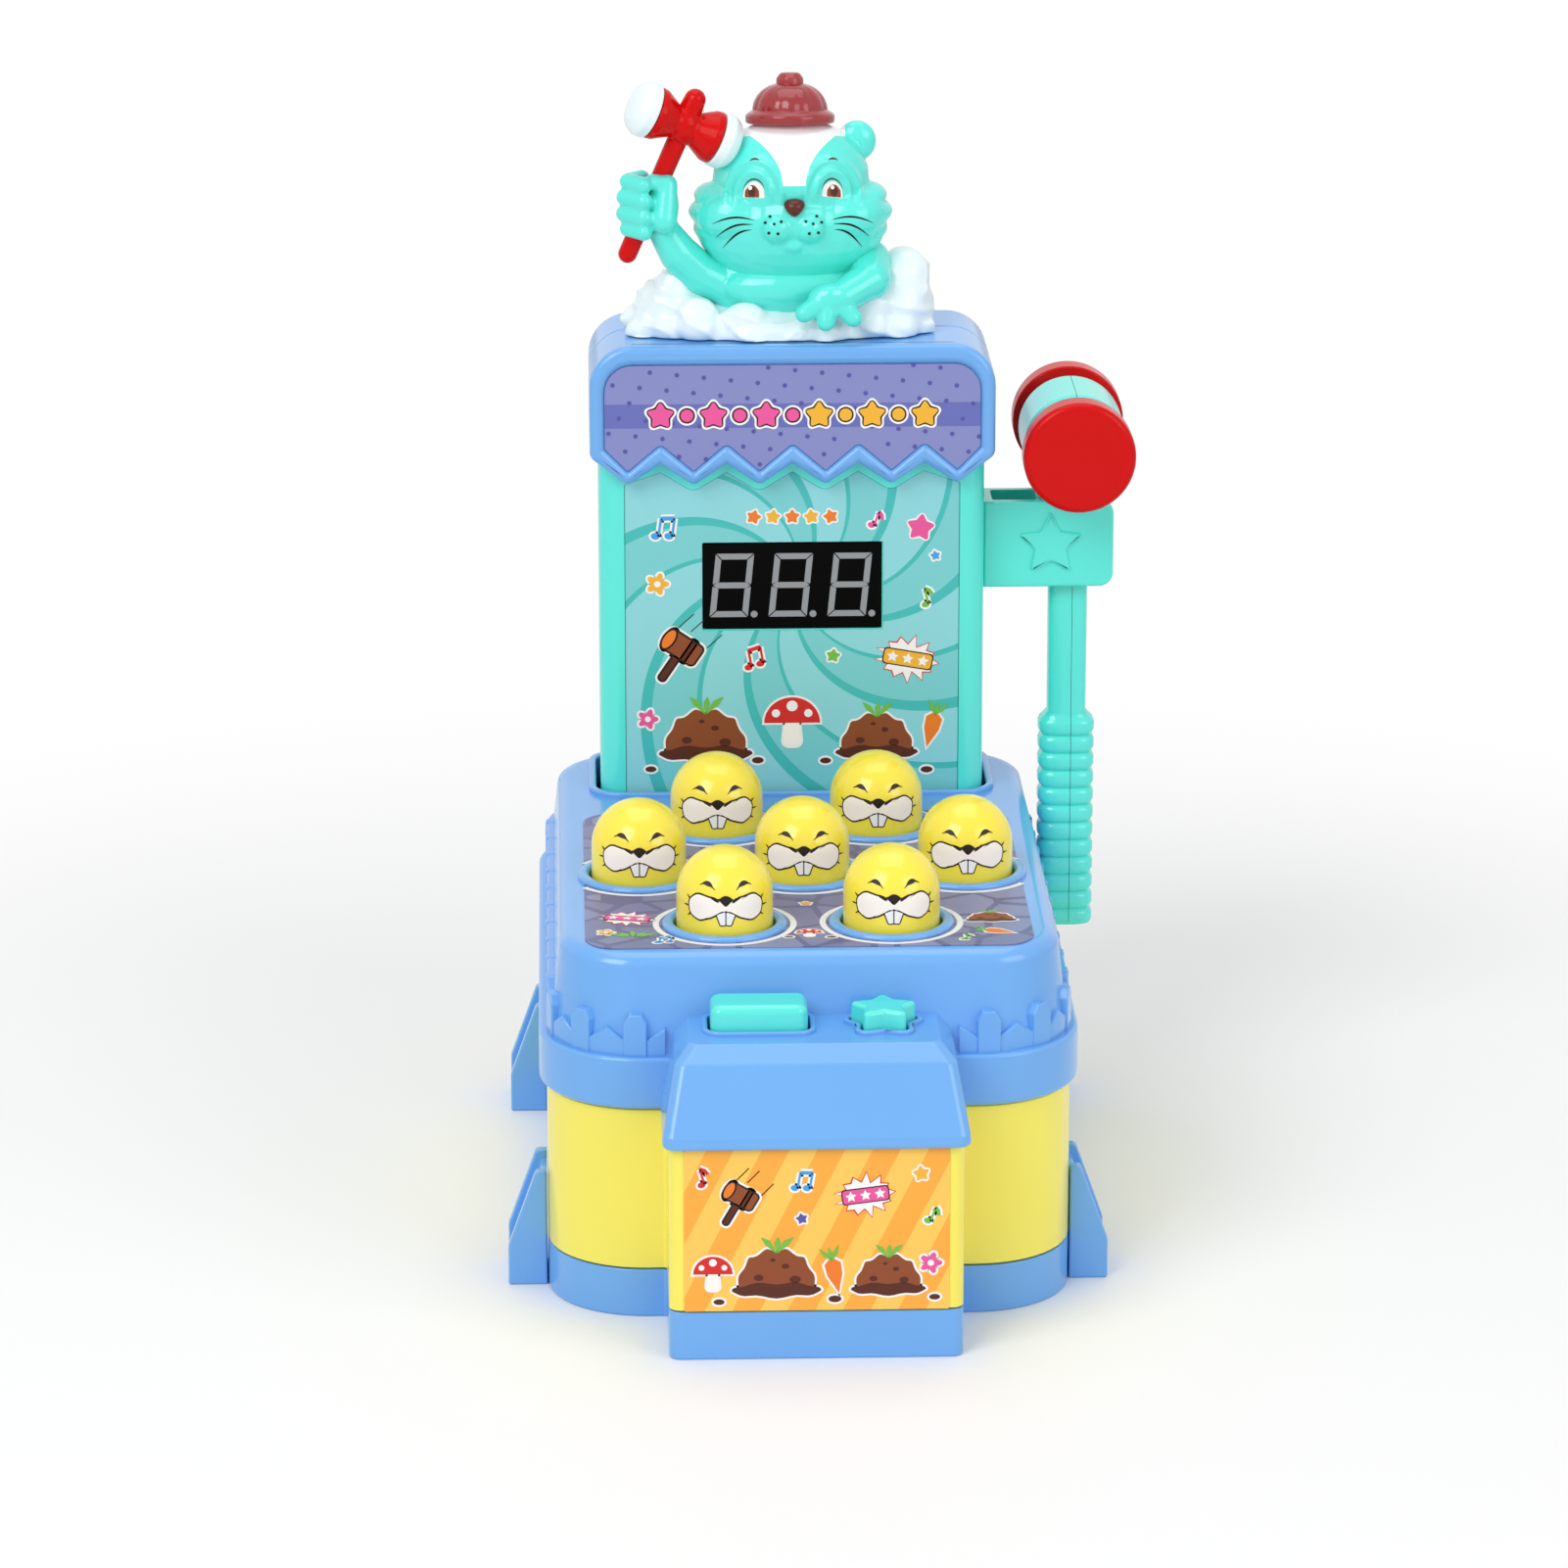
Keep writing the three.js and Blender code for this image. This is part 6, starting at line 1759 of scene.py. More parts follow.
@dataclass
class Marquee(SubAssembly):
    """The marquee with its pennant edge and its label."""

    corner: float = 9.0
    least_rounds: Row = (0.4, 0.5, 0.3)  # of the sides, the roof and the tips
    inset_shares: Row = (0.6, 1.4, 0.45, 1.3)  # of the sides, the valleys, the tips' radius and the top
    side_base: float = 151.0
    side_round: float = 2.2
    pennant_count: int = 6
    tip_round: float = 1.7
    valley_round: float = 0.3
    inner_valley_round: float = 1.4
    frame_width: float = 3.1
    frame_edge: float = 1.35
    frame_foot: float = 0.3
    floor_inset: float = 1.0
    label_depth: float = 1.2
    label_gap: float = 0.1
    label_lift: float = 0.4
    label_thickness: float = 0.35
    label_edge: float = 0.08
    rear: float = 80.55
    hood_wall: Point = (1.0, 2.0)  # at the sides and at the top
    hood_rounds: Point = (0.3, 0.1)  # outside and inside
    hood_edge: float = 0.25
    hood_overlap: float = 1.2
    seam_gap: float = 0.15
    back_wall: Point = (1.5, 1.7)  # how far the hood stops short of the back, and the back's thickness
    back_foot: float = 0.8
    ground: int = 2
    dark_edge: float = 0.35
    band: Point = (157.4, 162.6)
    band_gap: float = 0.15
    dot_rows: int = 12
    dot_origin: float = 141.6
    dot_across: Point = (5.7, -0.6)  # from a dot to the next one
    dot_up: Point = (2.2, 3.3)  # from a row to the next one
    dot_radius: float = 0.5
    dot_margin: float = 0.9
    count: int = 11
    row_half: float = 28.0
    row_level: float = 160.1
    star_size: float = 3.2
    bead_size: float = 1.35

    def build(self) -> None:
        """Builds both halves and the label."""
        self.front_half()
        self.rear_half()
        self.label()

    def pennants(self, inset: float = 0.0) -> Outline:
        """The outline of the face, drawn in by an inset, with the tips and the roof drawn in further."""
        half, tip = self.marquee_half, self.pennant_tip + inset
        side_share, valley_share, tip_share, top_share = self.inset_shares
        least_side, least_corner, least_tip = self.least_rounds
        side = self.side_base + side_share * inset
        valley = self.pennant_tip + self.pennant_depth + valley_share * inset
        tip_round = max(self.tip_round - tip_share * inset, least_tip)
        top, corner = self.marquee_top - top_share * inset, max(self.corner - inset, least_corner)
        side_round = max(self.side_round - inset, least_side)
        right = [(half - inset, side, side_round), (half - inset, top, corner)]
        corners = right + Draw.mirrored(right)
        valley_round = self.inner_valley_round if inset else self.valley_round
        for i in range(self.pennant_count):
            if i:
                corners.append((self.pennant_x(i - 0.5), valley, valley_round))
            corners.append((self.pennant_x(i), tip, tip_round))
        return Draw.filleted(corners, 8)

    def hood_corners(self, aside: float = 0.0, above: float = 0.0, foot_round: float = 0.0) -> list[Row]:
        """The corners of the hood's arch, drawn in at its sides and its top, from its right foot."""
        half, top, corner = self.marquee_half - aside, self.marquee_top - above, self.corner - aside
        right = [(half, self.side_base, foot_round), (half, top, corner)]
        return right + Draw.mirrored(right)

    def hood(self, near: float, far: float, form: Form) -> None:
        """The roof and the sides from a near to a far depth."""
        outer, inner = self.hood_rounds
        corners = self.hood_corners(foot_round=outer) + self.hood_corners(*self.hood_wall, inner)[::-1]
        form.slab(Draw.filleted(corners, 10), near, far, edge=self.hood_edge, foot=self.hood_edge)

    def front_half(self) -> None:
        """The face with its frame, and the roof as far as the seam."""
        form = Form()
        near, far = self.marquee_front, self.tower_front - self.gap
        form.slab(self.pennants(), near, far, [self.pennants(self.frame_width)], self.frame_edge,
                  self.frame_foot)
        form.slab(self.pennants(self.floor_inset), near + self.label_depth, far)
        self.hood(self.tower_front - self.hood_overlap, self.seam - self.seam_gap, form)
        self.piece("marquee_casing_front", form, [BLUE], ["marquee_front"])

    def rear_half(self) -> None:
        """The roof behind the seam, with a closed back."""
        form = Form()
        sunk, wall = self.back_wall
        self.hood(self.seam + self.seam_gap, self.rear - sunk, form)
        back = Draw.filleted(self.hood_corners(foot_round=self.hood_rounds[0]), 10)
        form.slab(back, self.rear - wall, self.rear, foot=self.back_foot)
        self.piece("marquee_casing_rear", form, [BLUE], ["marquee_rear"])

    def label(self) -> None:
        """A violet label with small dots, a darker band and a row of stars and beads."""
        face = self.marquee_front + self.label_depth - self.label_lift
        outline = self.pennants(self.frame_width + self.label_gap)
        form = Form().slab(outline, face, face + self.label_thickness, edge=self.label_edge)
        art = Motifs(form, lambda x, z, lift: Vector((x, face - lift, z)), self.ground, self.dark_edge)
        half = self.marquee_half - self.frame_width - self.band_gap
        low, high = self.band
        art.patch([(-half, low), (half, low)], [(-half, high), (half, high)], Ink.LILAC)
        for row in range(self.dot_rows):
            for column in range(-self.dot_rows, self.dot_rows + 1):
                x = column * self.dot_across[0] + row * self.dot_up[0]
                z = self.dot_origin + row * self.dot_up[1] + column * self.dot_across[1]
                if Draw.holds(outline, x, z, self.dot_margin):
                    art.shape(Draw.ellipse(x, z, self.dot_radius, steps=10), Ink.VIOLET, 2)
        for i in range(self.count):
            x = self.row_half * (2 * i / (self.count - 1) - 1)
            ink = Ink.GOLD if i > self.count // 2 else Ink.PINK
            motif, size = (Motif.BEAD, self.bead_size) if i % 2 else (Motif.STAR, self.star_size)
            art.lay([Spot(motif, x, self.row_level, size, ink)])
        self.piece("marquee_print", form, [MARQUEE_PRINT, *inks()], ["marquee_label"])


@dataclass
class Hammer(SubAssembly):
    """The hammer in its holder."""

    x: float = 60.9
    y: float = 65.05
    head_z: float = 150.5
    radius: float = 11.2
    neck: float = 9.6
    taper: float = 5.0
    barrel_half: float = 14.0
    barrel_round: float = 1.6
    cap_radius: float = 12.0
    cap_far: float = 21.0
    cap_bore: float = 7.4
    cap_inside: float = 11.0
    cap_gap: float = 0.2
    cap_rounds: Point = (0.5, 1.5)  # back and rim
    handle_shift: float = -0.8
    handle_power: float = 0.62
    grip_end: float = 41.2
    grip_length: float = 47.2
    grip: Point = (6.1, 4.8)  # half its width and half its depth
    ribs: int = 12
    # Share of a rib's pitch, and how far the grip is sunk there.
    crests: tuple[Point, ...] = ((0.12, 0.35), (0.3, 0.0), (0.68, 0.0), (0.88, 0.35), (1.0, 0.85))
    foot_rings: tuple[Row, ...] = ((3.4, 2.8, 0.0), (4.4, 3.8, 0.5))  # half width, half depth and rise
    neck_ring: Row = (4.2, 3.6, 1.2)
    shaft: Point = (4.3, 3.6)
    shaft_sunk: float = 6.0
    collar: Point = (7.8, 5.3)
    collar_corner: float = 1.5
    collar_sunk: float = 4.0
    collar_foot: float = 0.5
    seam_half: float = 0.06
    holder_front: float = 58.15
    holder_depth: float = 12.6
    holder_reach: float = 28.2
    holder_top: float = 137.8
    holder_base: float = 118.8
    holder_corner: float = 3.0
    holder_edges: Point = (0.6, 0.4)  # front and rear
    slot_half: float = 6.0
    slot_span: Point = (1.6, 16.0)
    slot_corner: float = 1.2
    hollow_wall: float = 1.8
    hollow_gap: float = 8.0
    hollow_rear: float = 10.6
    hollow_corner: float = 0.8
    cut_reach: float = 2.0
    star_shift: float = 14.6
    star_level: float = 128.3
    star_reach: float = 7.4
    star_share: float = 0.5
    star_tip: float = 0.35
    star_rise: float = 0.8
    star_sunk: float = 0.3
    star_edge: float = 0.55
    half_box: Row = (30.0, 40.0, 30.0, 180.0)  # reach across, half depth, lowest and highest level
    half_corner: float = 0.1

    def build(self) -> None:
        """Builds the holder, both halves of the hammer and its caps."""
        self.holder()
        for side, word in ((-1, "left"), (1, "right")):
            self.half(side, word)
        for side, word in ((-1, "front"), (1, "rear")):
            self.cap(side, word)

    def holder(self) -> None:
        """The arm on the tower with its open slot and a star in relief."""
        start, end = self.tower_half + self.gap, self.tower_half + self.holder_reach
        near, corner = self.holder_front, self.holder_corner
        edge, foot = self.holder_edges
        outline = Draw.filleted([(start, self.holder_base, 0.0), (end, self.holder_base, corner),
                                 (end, self.holder_top, corner), (start, self.holder_top, 0.0)], 8)
        form = Form().slab(outline, near, near + self.holder_depth, edge=edge, foot=foot)
        first, last = self.slot_span
        slot = Draw.rounded(self.x - self.slot_half, self.x + self.slot_half, near + first, near + last,
                            self.slot_corner, 4)
        hollow = Draw.rounded(start + self.hollow_wall, self.x - self.hollow_gap, near + self.hollow_wall,
                              near + self.hollow_rear, self.hollow_corner, 4)
        cuts = [Form().plate(hole, self.holder_base + side * self.cut_reach, self.holder_top + self.cut_reach)
                for hole, side in ((slot, -1), (hollow, 1))]
        self.piece("hammer_arm", form, [TURQUOISE], ["hammer_holder"], cuts=cuts)
        outline = Draw.star(self.tower_half + self.star_shift, self.star_level, self.star_reach,
                            self.star_share, self.star_tip)
        star = Form().slab(outline, near - self.star_rise, near + self.star_sunk, edge=self.star_edge)
        self.piece("hammer_arm_star", star, [TURQUOISE])

    def handle_ring(self, half_x: float, half_y: float, z: float) -> list[Vector]:
        """A level ring of the handle, between an oval and a rectangle."""
        ring = []
        for i in range(40):
            angle = (i + 0.5) / 40 * math.tau
            c, s = math.cos(angle), math.sin(angle)
            across, back = (math.copysign(abs(v) ** self.handle_power, v) for v in (c, s))
            ring.append(Vector((self.x + self.handle_shift + half_x * across, self.y + half_y * back, z)))
        return ring

    def body(self) -> Form:
        """Handle, grip, collar and barrel as closed forms that overlap."""
        form = Form()
        pitch, top = self.grip_length / self.ribs, self.grip_end + self.grip_length
        wide, deep = self.grip
        rings = [self.handle_ring(x, y, self.grip_end + rise) for x, y, rise in self.foot_rings]
        for i in range(self.ribs):
            for share, sunk in self.crests:
                rings.append(self.handle_ring(wide - sunk, deep - sunk, self.grip_end + (i + share) * pitch))
        neck_x, neck_y, rise = self.neck_ring
        rings += [self.handle_ring(neck_x, neck_y, top + rise),
                  self.handle_ring(*self.shaft, self.head_z - self.shaft_sunk)]
        form.loft(rings, capped=True)
        half_x, half_y = self.collar
        collar = Draw.rounded(self.x - half_x, self.x + half_x, self.y - half_y, self.y + half_y,
                              self.collar_corner, 5)
        form.plate(collar, self.holder_top + self.gap, self.head_z - self.collar_sunk, foot=self.collar_foot)
        near, shoulder = self.barrel_half, self.barrel_half - self.taper
        barrel = [(0.0, -near, 0.0), (self.neck, -near, 0.0), (self.radius, -shoulder, self.barrel_round),
                  (self.radius, shoulder, self.barrel_round), (self.neck, near, 0.0), (0.0, near, 0.0)]
        form.turned(Draw.bent(barrel, 5), self.along_head(1))
        return form

    def along_head(self, side: int) -> Matrix:
        """The matrix that lays a turned form along the head, toward the front or the rear."""
        turn = Matrix.Rotation(math.radians(-90 * side), 4, "X")
        return Matrix.Translation((self.x, self.y, self.head_z)) @ turn

    def half(self, side: int, word: str) -> None:
        """One half of the hammer, on its side of the middle seam."""
        reach, deep, low, high = self.half_box
        ends = sorted((self.x + side * self.seam_half, self.x - side * reach))
        outline = Draw.rounded(*ends, self.y - deep, self.y + deep, self.half_corner, 1)
        self.piece(f"hammer_shell_{word}", self.body(), [TURQUOISE], [f"hammer_{word}_half"], "hammer",
                   [Form().plate(outline, low, high)])

    def cap(self, side: int, word: str) -> None:
        """A red striking cap with a soft rim round a flat face."""
        near, far = self.barrel_half + self.cap_gap, self.cap_far
        back, rim = self.cap_rounds
        profile = Draw.bent([(0.0, self.cap_inside, 0.0), (self.cap_bore, self.cap_inside, 0.0),
                             (self.cap_bore, near, 0.0), (self.cap_radius, near, back),
                             (self.cap_radius, far, rim), (0.0, far, 0.0)], 6)
        form = Form()
        form.turned(profile, self.along_head(side), 96)
        self.piece(f"hammer_pad_{word}", form, [RED], [f"hammer_{word}_cap"], "hammer", sharp=50)


@dataclass
class Figure(SubAssembly):
    """The gopher on its mound, with its mallet and its hat lamp.

    Rows of balls hold a place and three radii, and rows of limbs hold both ends and the radius at each. Their
    y is counted from the figure's middle, and the fist's rows from the fist. Rows of corners hold across or
    radius, level and corner radius.
    """

    y: float = 61.95
    base: float = 175.4
    middle: float = 0.2
    voxel: float = 0.4
    mound_voxel: float = 0.5
    mound_balls: tuple[Row, ...] = (
        (-2.5, 0.0, 0.5, 32.0, 12.4, 6.6), (-25.0, 0.5, 4.0, 8.6, 9.0, 8.0),
        (-25.0, -3.2, 9.2, 4.6, 4.2, 4.8), (22.4, 1.0, 5.0, 8.4, 9.6, 9.4),
        (24.0, 2.0, 10.4, 6.2, 6.6, 6.8), (0.0, 6.0, 4.0, 24.0, 6.5, 7.0))
    # Count, share of the reach, level and size.
    lump_rows: tuple[tuple[int, float, float, float], ...] = ((17, 1.0, 1.4, 4.6), (13, 0.84, 5.0, 4.9))
    lump_middle: Point = (-2.5, -0.4)
    lump_reach: Point = (29.3, 9.6)
    lump_wander: Row = (0.7, 0.4, 0.8)  # across, back and in size
    lump_beats: Row = (2.4, 1.7, 3.1, 1.9)  # of the wander, and of the height
    lump_turn: float = 0.4
    lump_flat: Point = (0.7, 0.75)  # depth and height as shares of the size
    lump_power: float = 0.75
    flow_scale: float = 0.05
    flow_reach: float = 2.0
    fold_scale: Row = (0.1, 0.12, 0.22)
    fold_rise: float = 0.7
    fold_sink: float = 0.3
    torso_balls: tuple[Row, ...] = (
        (0.0, 1.0, 185.0, 20.0, 9.8, 10.6), (0.0, -4.0, 185.5, 15.5, 6.5, 5.5),
        (8.6, -12.8, 184.4, 5.4, 2.9, 3.7))
    arm_limbs: tuple[Row, ...] = (
        (-13.0, -1.0, 184.6, -19.6, -3.0, 188.2, 4.9, 4.6),
        (-19.6, -3.0, 188.2, -23.8, -4.5, 192.8, 4.6, 4.2),
        (-23.8, -4.5, 192.8, -27.0, -5.4, 198.0, 4.2, 3.4),
        (16.6, -1.0, 190.0, 16.6, -8.0, 187.6, 4.8, 4.4),
        (16.6, -8.0, 187.6, 10.6, -12.6, 185.0, 4.2, 3.5),
        (6.0, -13.2, 183.6, 2.4, -14.6, 181.8, 2.4, 2.0),
        (7.84, -13.2, 183.6, 7.0, -14.6, 179.9, 2.4, 2.0),
        (10.16, -13.2, 183.6, 12.8, -14.6, 180.8, 2.4, 2.0))
    fist: Row = (-30.3, 56.2, 203.4)
    palm: Row = (2.9, 0.6, -0.2, 3.7, 4.4, 6.9)
    # Level, reach and radius.
    knuckles: tuple[Row, ...] = ((5.3, 0.7, 1.75), (1.9, 0.1, 1.85), (-1.6, 0.0, 1.85), (-4.9, 0.6, 1.7))
    knuckle: Point = (-4.9, -0.4)
    finger_front: Row = (-0.8, -4.0, -0.2)
    finger_rear: Row = (-1.2, 3.0, 0.0)
    thumb_limbs: tuple[Row, ...] = ((4.1, -1.8, 4.8, 3.4, -3.4, -2.6, 2.2, 2.8),
                                    (1.0, -2.6, 5.6, 4.2, -1.8, 4.6, 1.7, 2.1))
    skull: Row = (0.12, 0.0, 208.0, 16.6, 12.6, 12.9)
    chin: Row = (0.0, -1.0, 199.6, 20.6, 11.8, 15.0)
    chin_crown: float = 0.6
    muzzle_balls: tuple[Row, ...] = ((0.2, -8.4, 200.6, 9.4, 5.2, 6.2), (0.2, -11.0, 195.8, 2.6, 2.2, 1.7))
    cheek: Row = (11.8, -2.4, 201.0, 8.8, 9.3, 6.8)
    tufts: tuple[Row, ...] = (
        (16.1, -0.4, 204.4, 4.4, 7.0, 2.7), (17.3, -0.4, 201.0, 4.4, 7.0, 2.7),
        (16.3, -0.4, 197.4, 4.4, 7.0, 2.7))
    pad: Row = (3.4, -11.6, 199.6, 3.5, 3.2, 3.2)
    ear: Row = (13.9, 2.2, 215.4, 4.2, 2.6, 4.4)
    nose_place: Row = (0.4, -12.7, 204.1)
    nose_radii: Row = (2.75, 2.1, 1.95)
    nose_flare: Point = (0.76, 0.17)  # share of the width at mid height, and its growth upward
    paint_lean: float = FACE.lean
    paint_lift: float = 0.02
    ray_reach: float = 100.0
    eye_reach: float = 8.25
    eye_foot: float = 212.0
    lid_rear: float = 2.0
    lid_fade: Point = (1.6, 2.4)
    inner_lid: Row = (3.7, 5.4, 0.8, 5.6)  # half width, height, rise, narrowness
    outer_lid: Row = (5.9, 7.7, 0.75, 7.4)
    socket: Row = (0.35, 0.7)  # depth and reach
    groove: Row = (0.2, 0.82, 12.0)  # depth, reach, narrowness
    eye_white: tuple[Row, ...] = (
        (-2.3, 0.1, 0.3), (2.3, -0.2, 0.3), (2.1, 1.9, 1.2), (0.2, 3.9, 1.6), (-1.9, 2.2, 1.4))
    iris: tuple[Row, ...] = (
        (-1.5, 0.15, 0.2), (1.5, 0.0, 0.2), (1.45, 1.4, 0.9), (0.0, 3.3, 1.4), (-1.45, 1.5, 0.9))
    iris_shift: float = 0.35
    pupil: Row = (1.25, 0.75, 1.05)  # rise and radii
    glint: Row = (2.05, 0.42)  # rise and radius
    lash: Row = (0.6, 2.35, 3.2, 20.0, 160.0, 0.28)  # rise, radii, first and last angle, width
    brow: Row = (7.2, 1.15, 0.75, 30.0, 150.0, 0.42)
    brow_shift: float = 0.2
    whiskers: tuple[Row, ...] = (  # start, end and bow
        (8.1, 207.3, 17.0, 206.7, 0.85), (8.5, 206.4, 16.2, 204.1, 0.9), (8.7, 205.3, 14.7, 201.9, 1.0))
    whisker_width: float = 0.42
    freckles: tuple[Point, ...] = (
        (4.9, 207.9), (5.9, 206.6), (4.1, 206.2), (2.6, 206.7), (5.2, 204.4), (3.3, 204.2))
    freckle_radius: float = 0.32
    mallet_middle: Row = (-22.6, 56.2, 220.55)
    tilt: Row = (0.4, 0.0, 0.9165)
    across: Row = (0.888, 0.197, -0.414)
    handle: Row = (30.0, 2.0, 2.2)  # reach below the middle, radius at its foot and in the head
    handle_top: Row = (5.9, 2.9, 2.3)
    head_half: float = 7.3
    head_ends: tuple[Row, ...] = ((5.7, 0.0, 0.3), (5.5, 1.4, 0.6))
    head_waist: Row = (3.6, 2.4, 0.8)  # radius, height, corner radius
    head_hub: Row = (4.0, 3.9, 4.4)
    end_dome: tuple[Row, ...] = (
        (0.0, 0.2, 0.0), (5.9, 0.2, 0.5), (6.0, 2.4, 1.5), (4.6, 4.9, 3.0), (0.0, 5.3, 0.0))
    lamp_base: float = 219.3
    lamp_back: float = 2.0
    lamp_lean: float = 8.0
    dome: Row = (8.0, 0.8, 2.7, 5.9)  # radius, power, foot, rise
    hollow: tuple[Point, ...] = ((0.0, 7.4), (3.5, 7.0), (5.8, 5.0), (6.7, 2.6))
    brim: tuple[Row, ...] = (
        (6.7, 0.0, 0.0), (9.45, 0.0, 0.5), (9.45, 1.9, 0.9), (8.0, 2.8, 0.5), (7.9, 3.0, 0.0))
    knob: tuple[Row, ...] = ((2.9, 7.7, 0.0), (2.85, 9.5, 0.6), (2.0, 10.7, 1.2), (0.0, 10.7, 0.0))
    flutes: int = 14
    flute_depth: float = 0.03

    def build(self) -> None:
        """Builds the figure."""
        self.mound()
        self.body()
        self.head()
        self.mallet()
        self.lamp()
        self.dress(CLEAR, "lamp_led")

    def ball(self, form: Form, row: Row, base: float = 0.0, steps: int = 24, crown: float = 1.0) -> None:
        """Adds the ball of a row, over a base."""
        x, y, z, *radii = row
        form.ball((x, self.y + y, base + z), radii, steps=steps, crown=crown)

    def limb(self, form: Form, row: Row, origin: Row) -> None:
        """Adds the limb of a row, counted from an origin."""
        start, end = ([a + b for a, b in zip(origin, row[i:i + 3])] for i in (0, 3))
        form.limb(start, end, *row[6:])

    def mound(self) -> None:
        """The lumpy white mound."""
        form = Form()
        for row in self.mound_balls:
            self.ball(form, row, self.base)
        (middle_x, middle_y), (wide, deep) = self.lump_middle, self.lump_reach
        for count, share, level, size in self.lump_rows:
            for i in range(count):
                angle = (i + self.lump_turn * share) / count * math.tau
                aside, back, swell, rise = (math.sin(i * beat) for beat in self.lump_beats)
                reach_x = share * (wide + self.lump_wander[0] * aside)
                reach_y = share * (deep + self.lump_wander[1] * back)
                c, s = math.cos(angle), math.sin(angle)
                lump = size + self.lump_wander[2] * swell
                place = (middle_x + reach_x * math.copysign(abs(c) ** self.lump_power, c),
                         self.y + middle_y + reach_y * math.copysign(abs(s) ** self.lump_power, s),
                         self.base + level + rise)
                form.ball(place, (lump, *(lump * flat for flat in self.lump_flat)), steps=18)
        piece = form.build("mound_skin")
        fuse(piece, self.mound_voxel, 9)
        displace(piece, self.fold)
        for vertex in piece.data.vertices:
            vertex.co.z = max(vertex.co.z, self.base * MM)
        calm = piece.modifiers.new("Calm", "SMOOTH")
        calm.iterations = 3
        bake(piece)
        self.settle(piece, [WHITE], ["mound"], sharp=70)

    def fold(self, place: Vector) -> float:
        """The height of the mound's soft folds at a place of its skin."""
        flow = noise.noise(place * self.flow_scale) * self.flow_reach
        x, y, z = (value * scale for value, scale in zip(place, self.fold_scale))
        crest = 1 - abs(noise.noise(Vector((x + flow, y, z - flow)))) * 2
        return self.fold_rise * max(crest, 0.0) ** 4 - self.fold_sink

    def body(self) -> None:
        """Torso, arms and hands."""
        form = Form()
        for row in self.torso_balls:
            self.ball(form, row)
        for row in self.arm_limbs:
            self.limb(form, row, (0.0, self.y, 0.0))
        fx, fy, fz = self.fist
        x, y, z, *radii = self.palm
        form.ball((fx + x, fy + y, fz + z), radii)
        knuckle_x, knuckle_y = self.knuckle
        for level, out, thick in self.knuckles:
            for x, y, z in (self.finger_front, self.finger_rear):
                self.limb(form, (knuckle_x + out, knuckle_y, level, x, y, level + z, thick, thick), self.fist)
        for row in self.thumb_limbs:
            self.limb(form, row, self.fist)
        piece = form.build("gopher_torso")
        fuse(piece, self.voxel, 4)
        for vertex in piece.data.vertices:
            vertex.co.z = max(vertex.co.z, (self.base + self.voxel) * MM)
        self.settle(piece, [TURQUOISE], ["gopher_body"], sharp=70)

    def level(self, y: float, z: float) -> float:
        """The level of a place, square to the leaning line along which the face is painted."""
        lean = math.radians(self.paint_lean)
        return z * math.cos(lean) + y * math.sin(lean)

    def head(self) -> None:
        """The head, with its painted face laid on the skin."""
        form = Form()
        self.ball(form, self.skull, steps=32)
        self.ball(form, self.chin, steps=32, crown=self.chin_crown)
        for row in self.muzzle_balls:
            self.ball(form, row)
        for side in (-1, 1):
            rows = [(self.cheek, 0.0, 24), (self.pad, self.middle, 24),
                    *((tuft, 0.0, 18) for tuft in self.tufts), (self.ear, self.middle, 24)]
            for (x, *rest), shift, steps in rows:
                self.ball(form, (side * x + shift, *rest), steps=steps)
        piece = form.build("gopher_skull")
        fuse(piece, self.voxel, 4)
        displace(piece, self.lid_fold)
        skin = BVHTree.FromObject(piece, bpy.context.evaluated_depsgraph_get())
        self.settle(piece, [FACE], ["gopher_head"], sharp=70)
        nose = Form()
        nose.ball((0.0, 0.0, 0.0), self.nose_radii)
        x, y, z = self.nose_place
        flat, flare = self.nose_flare
        for point in nose.points:
            point.x = x + point.x * (flat + flare * point.z)
            point.y += self.y + y
            point.z += z
        self.piece("gopher_nose", nose, [NOSE], sharp=80)
        self.paint(skin)

    def lid_fold(self, place: Vector) -> float:
        """The height of the two folds above each eye, and the depth of the socket, at a place of the skin."""
        if place.y > self.y - self.lid_rear:
            return 0.0
        up = self.level(place.y, place.z) - self.eye_foot
        height = 0.0
        for side in (-1, 1):
            aside = place.x - self.middle - side * self.eye_reach
            lids = (self.inner_lid, self.outer_lid)
            inner, outer = (math.hypot(aside / across, up / high) for across, high, _, _ in lids)
            for reach, (_, _, rise, narrow) in zip((inner, outer), lids):
                height += rise * math.exp(-((reach - 1) * narrow) ** 2)
            deep, wide = self.socket
            height -= deep * math.exp(-(inner / wide) ** 4)
            deep, reach, narrow = self.groove
            height -= deep * math.exp(-((outer - reach) * narrow) ** 2)
        begin, span = self.lid_fade
        return height * min(max((up + begin) / span, 0.0), 1.0)

    def paint(self, skin: BVHTree) -> None:
        """The painted eyes, brows, whiskers and freckles."""
        lean = math.radians(self.paint_lean)
        aim = Vector((0.0, math.cos(lean), -math.sin(lean)))
        rise = Vector((0.0, math.sin(lean), math.cos(lean)))

        def on_skin(x: float, level: float, lift: float) -> Vector:
            start = Vector((x, 0.0, 0.0)) + rise * level
            hit, normal, _, _ = skin.ray_cast((start - aim * self.ray_reach) * MM, aim)
            return hit / MM + normal * (lift + self.paint_lift) if hit else start

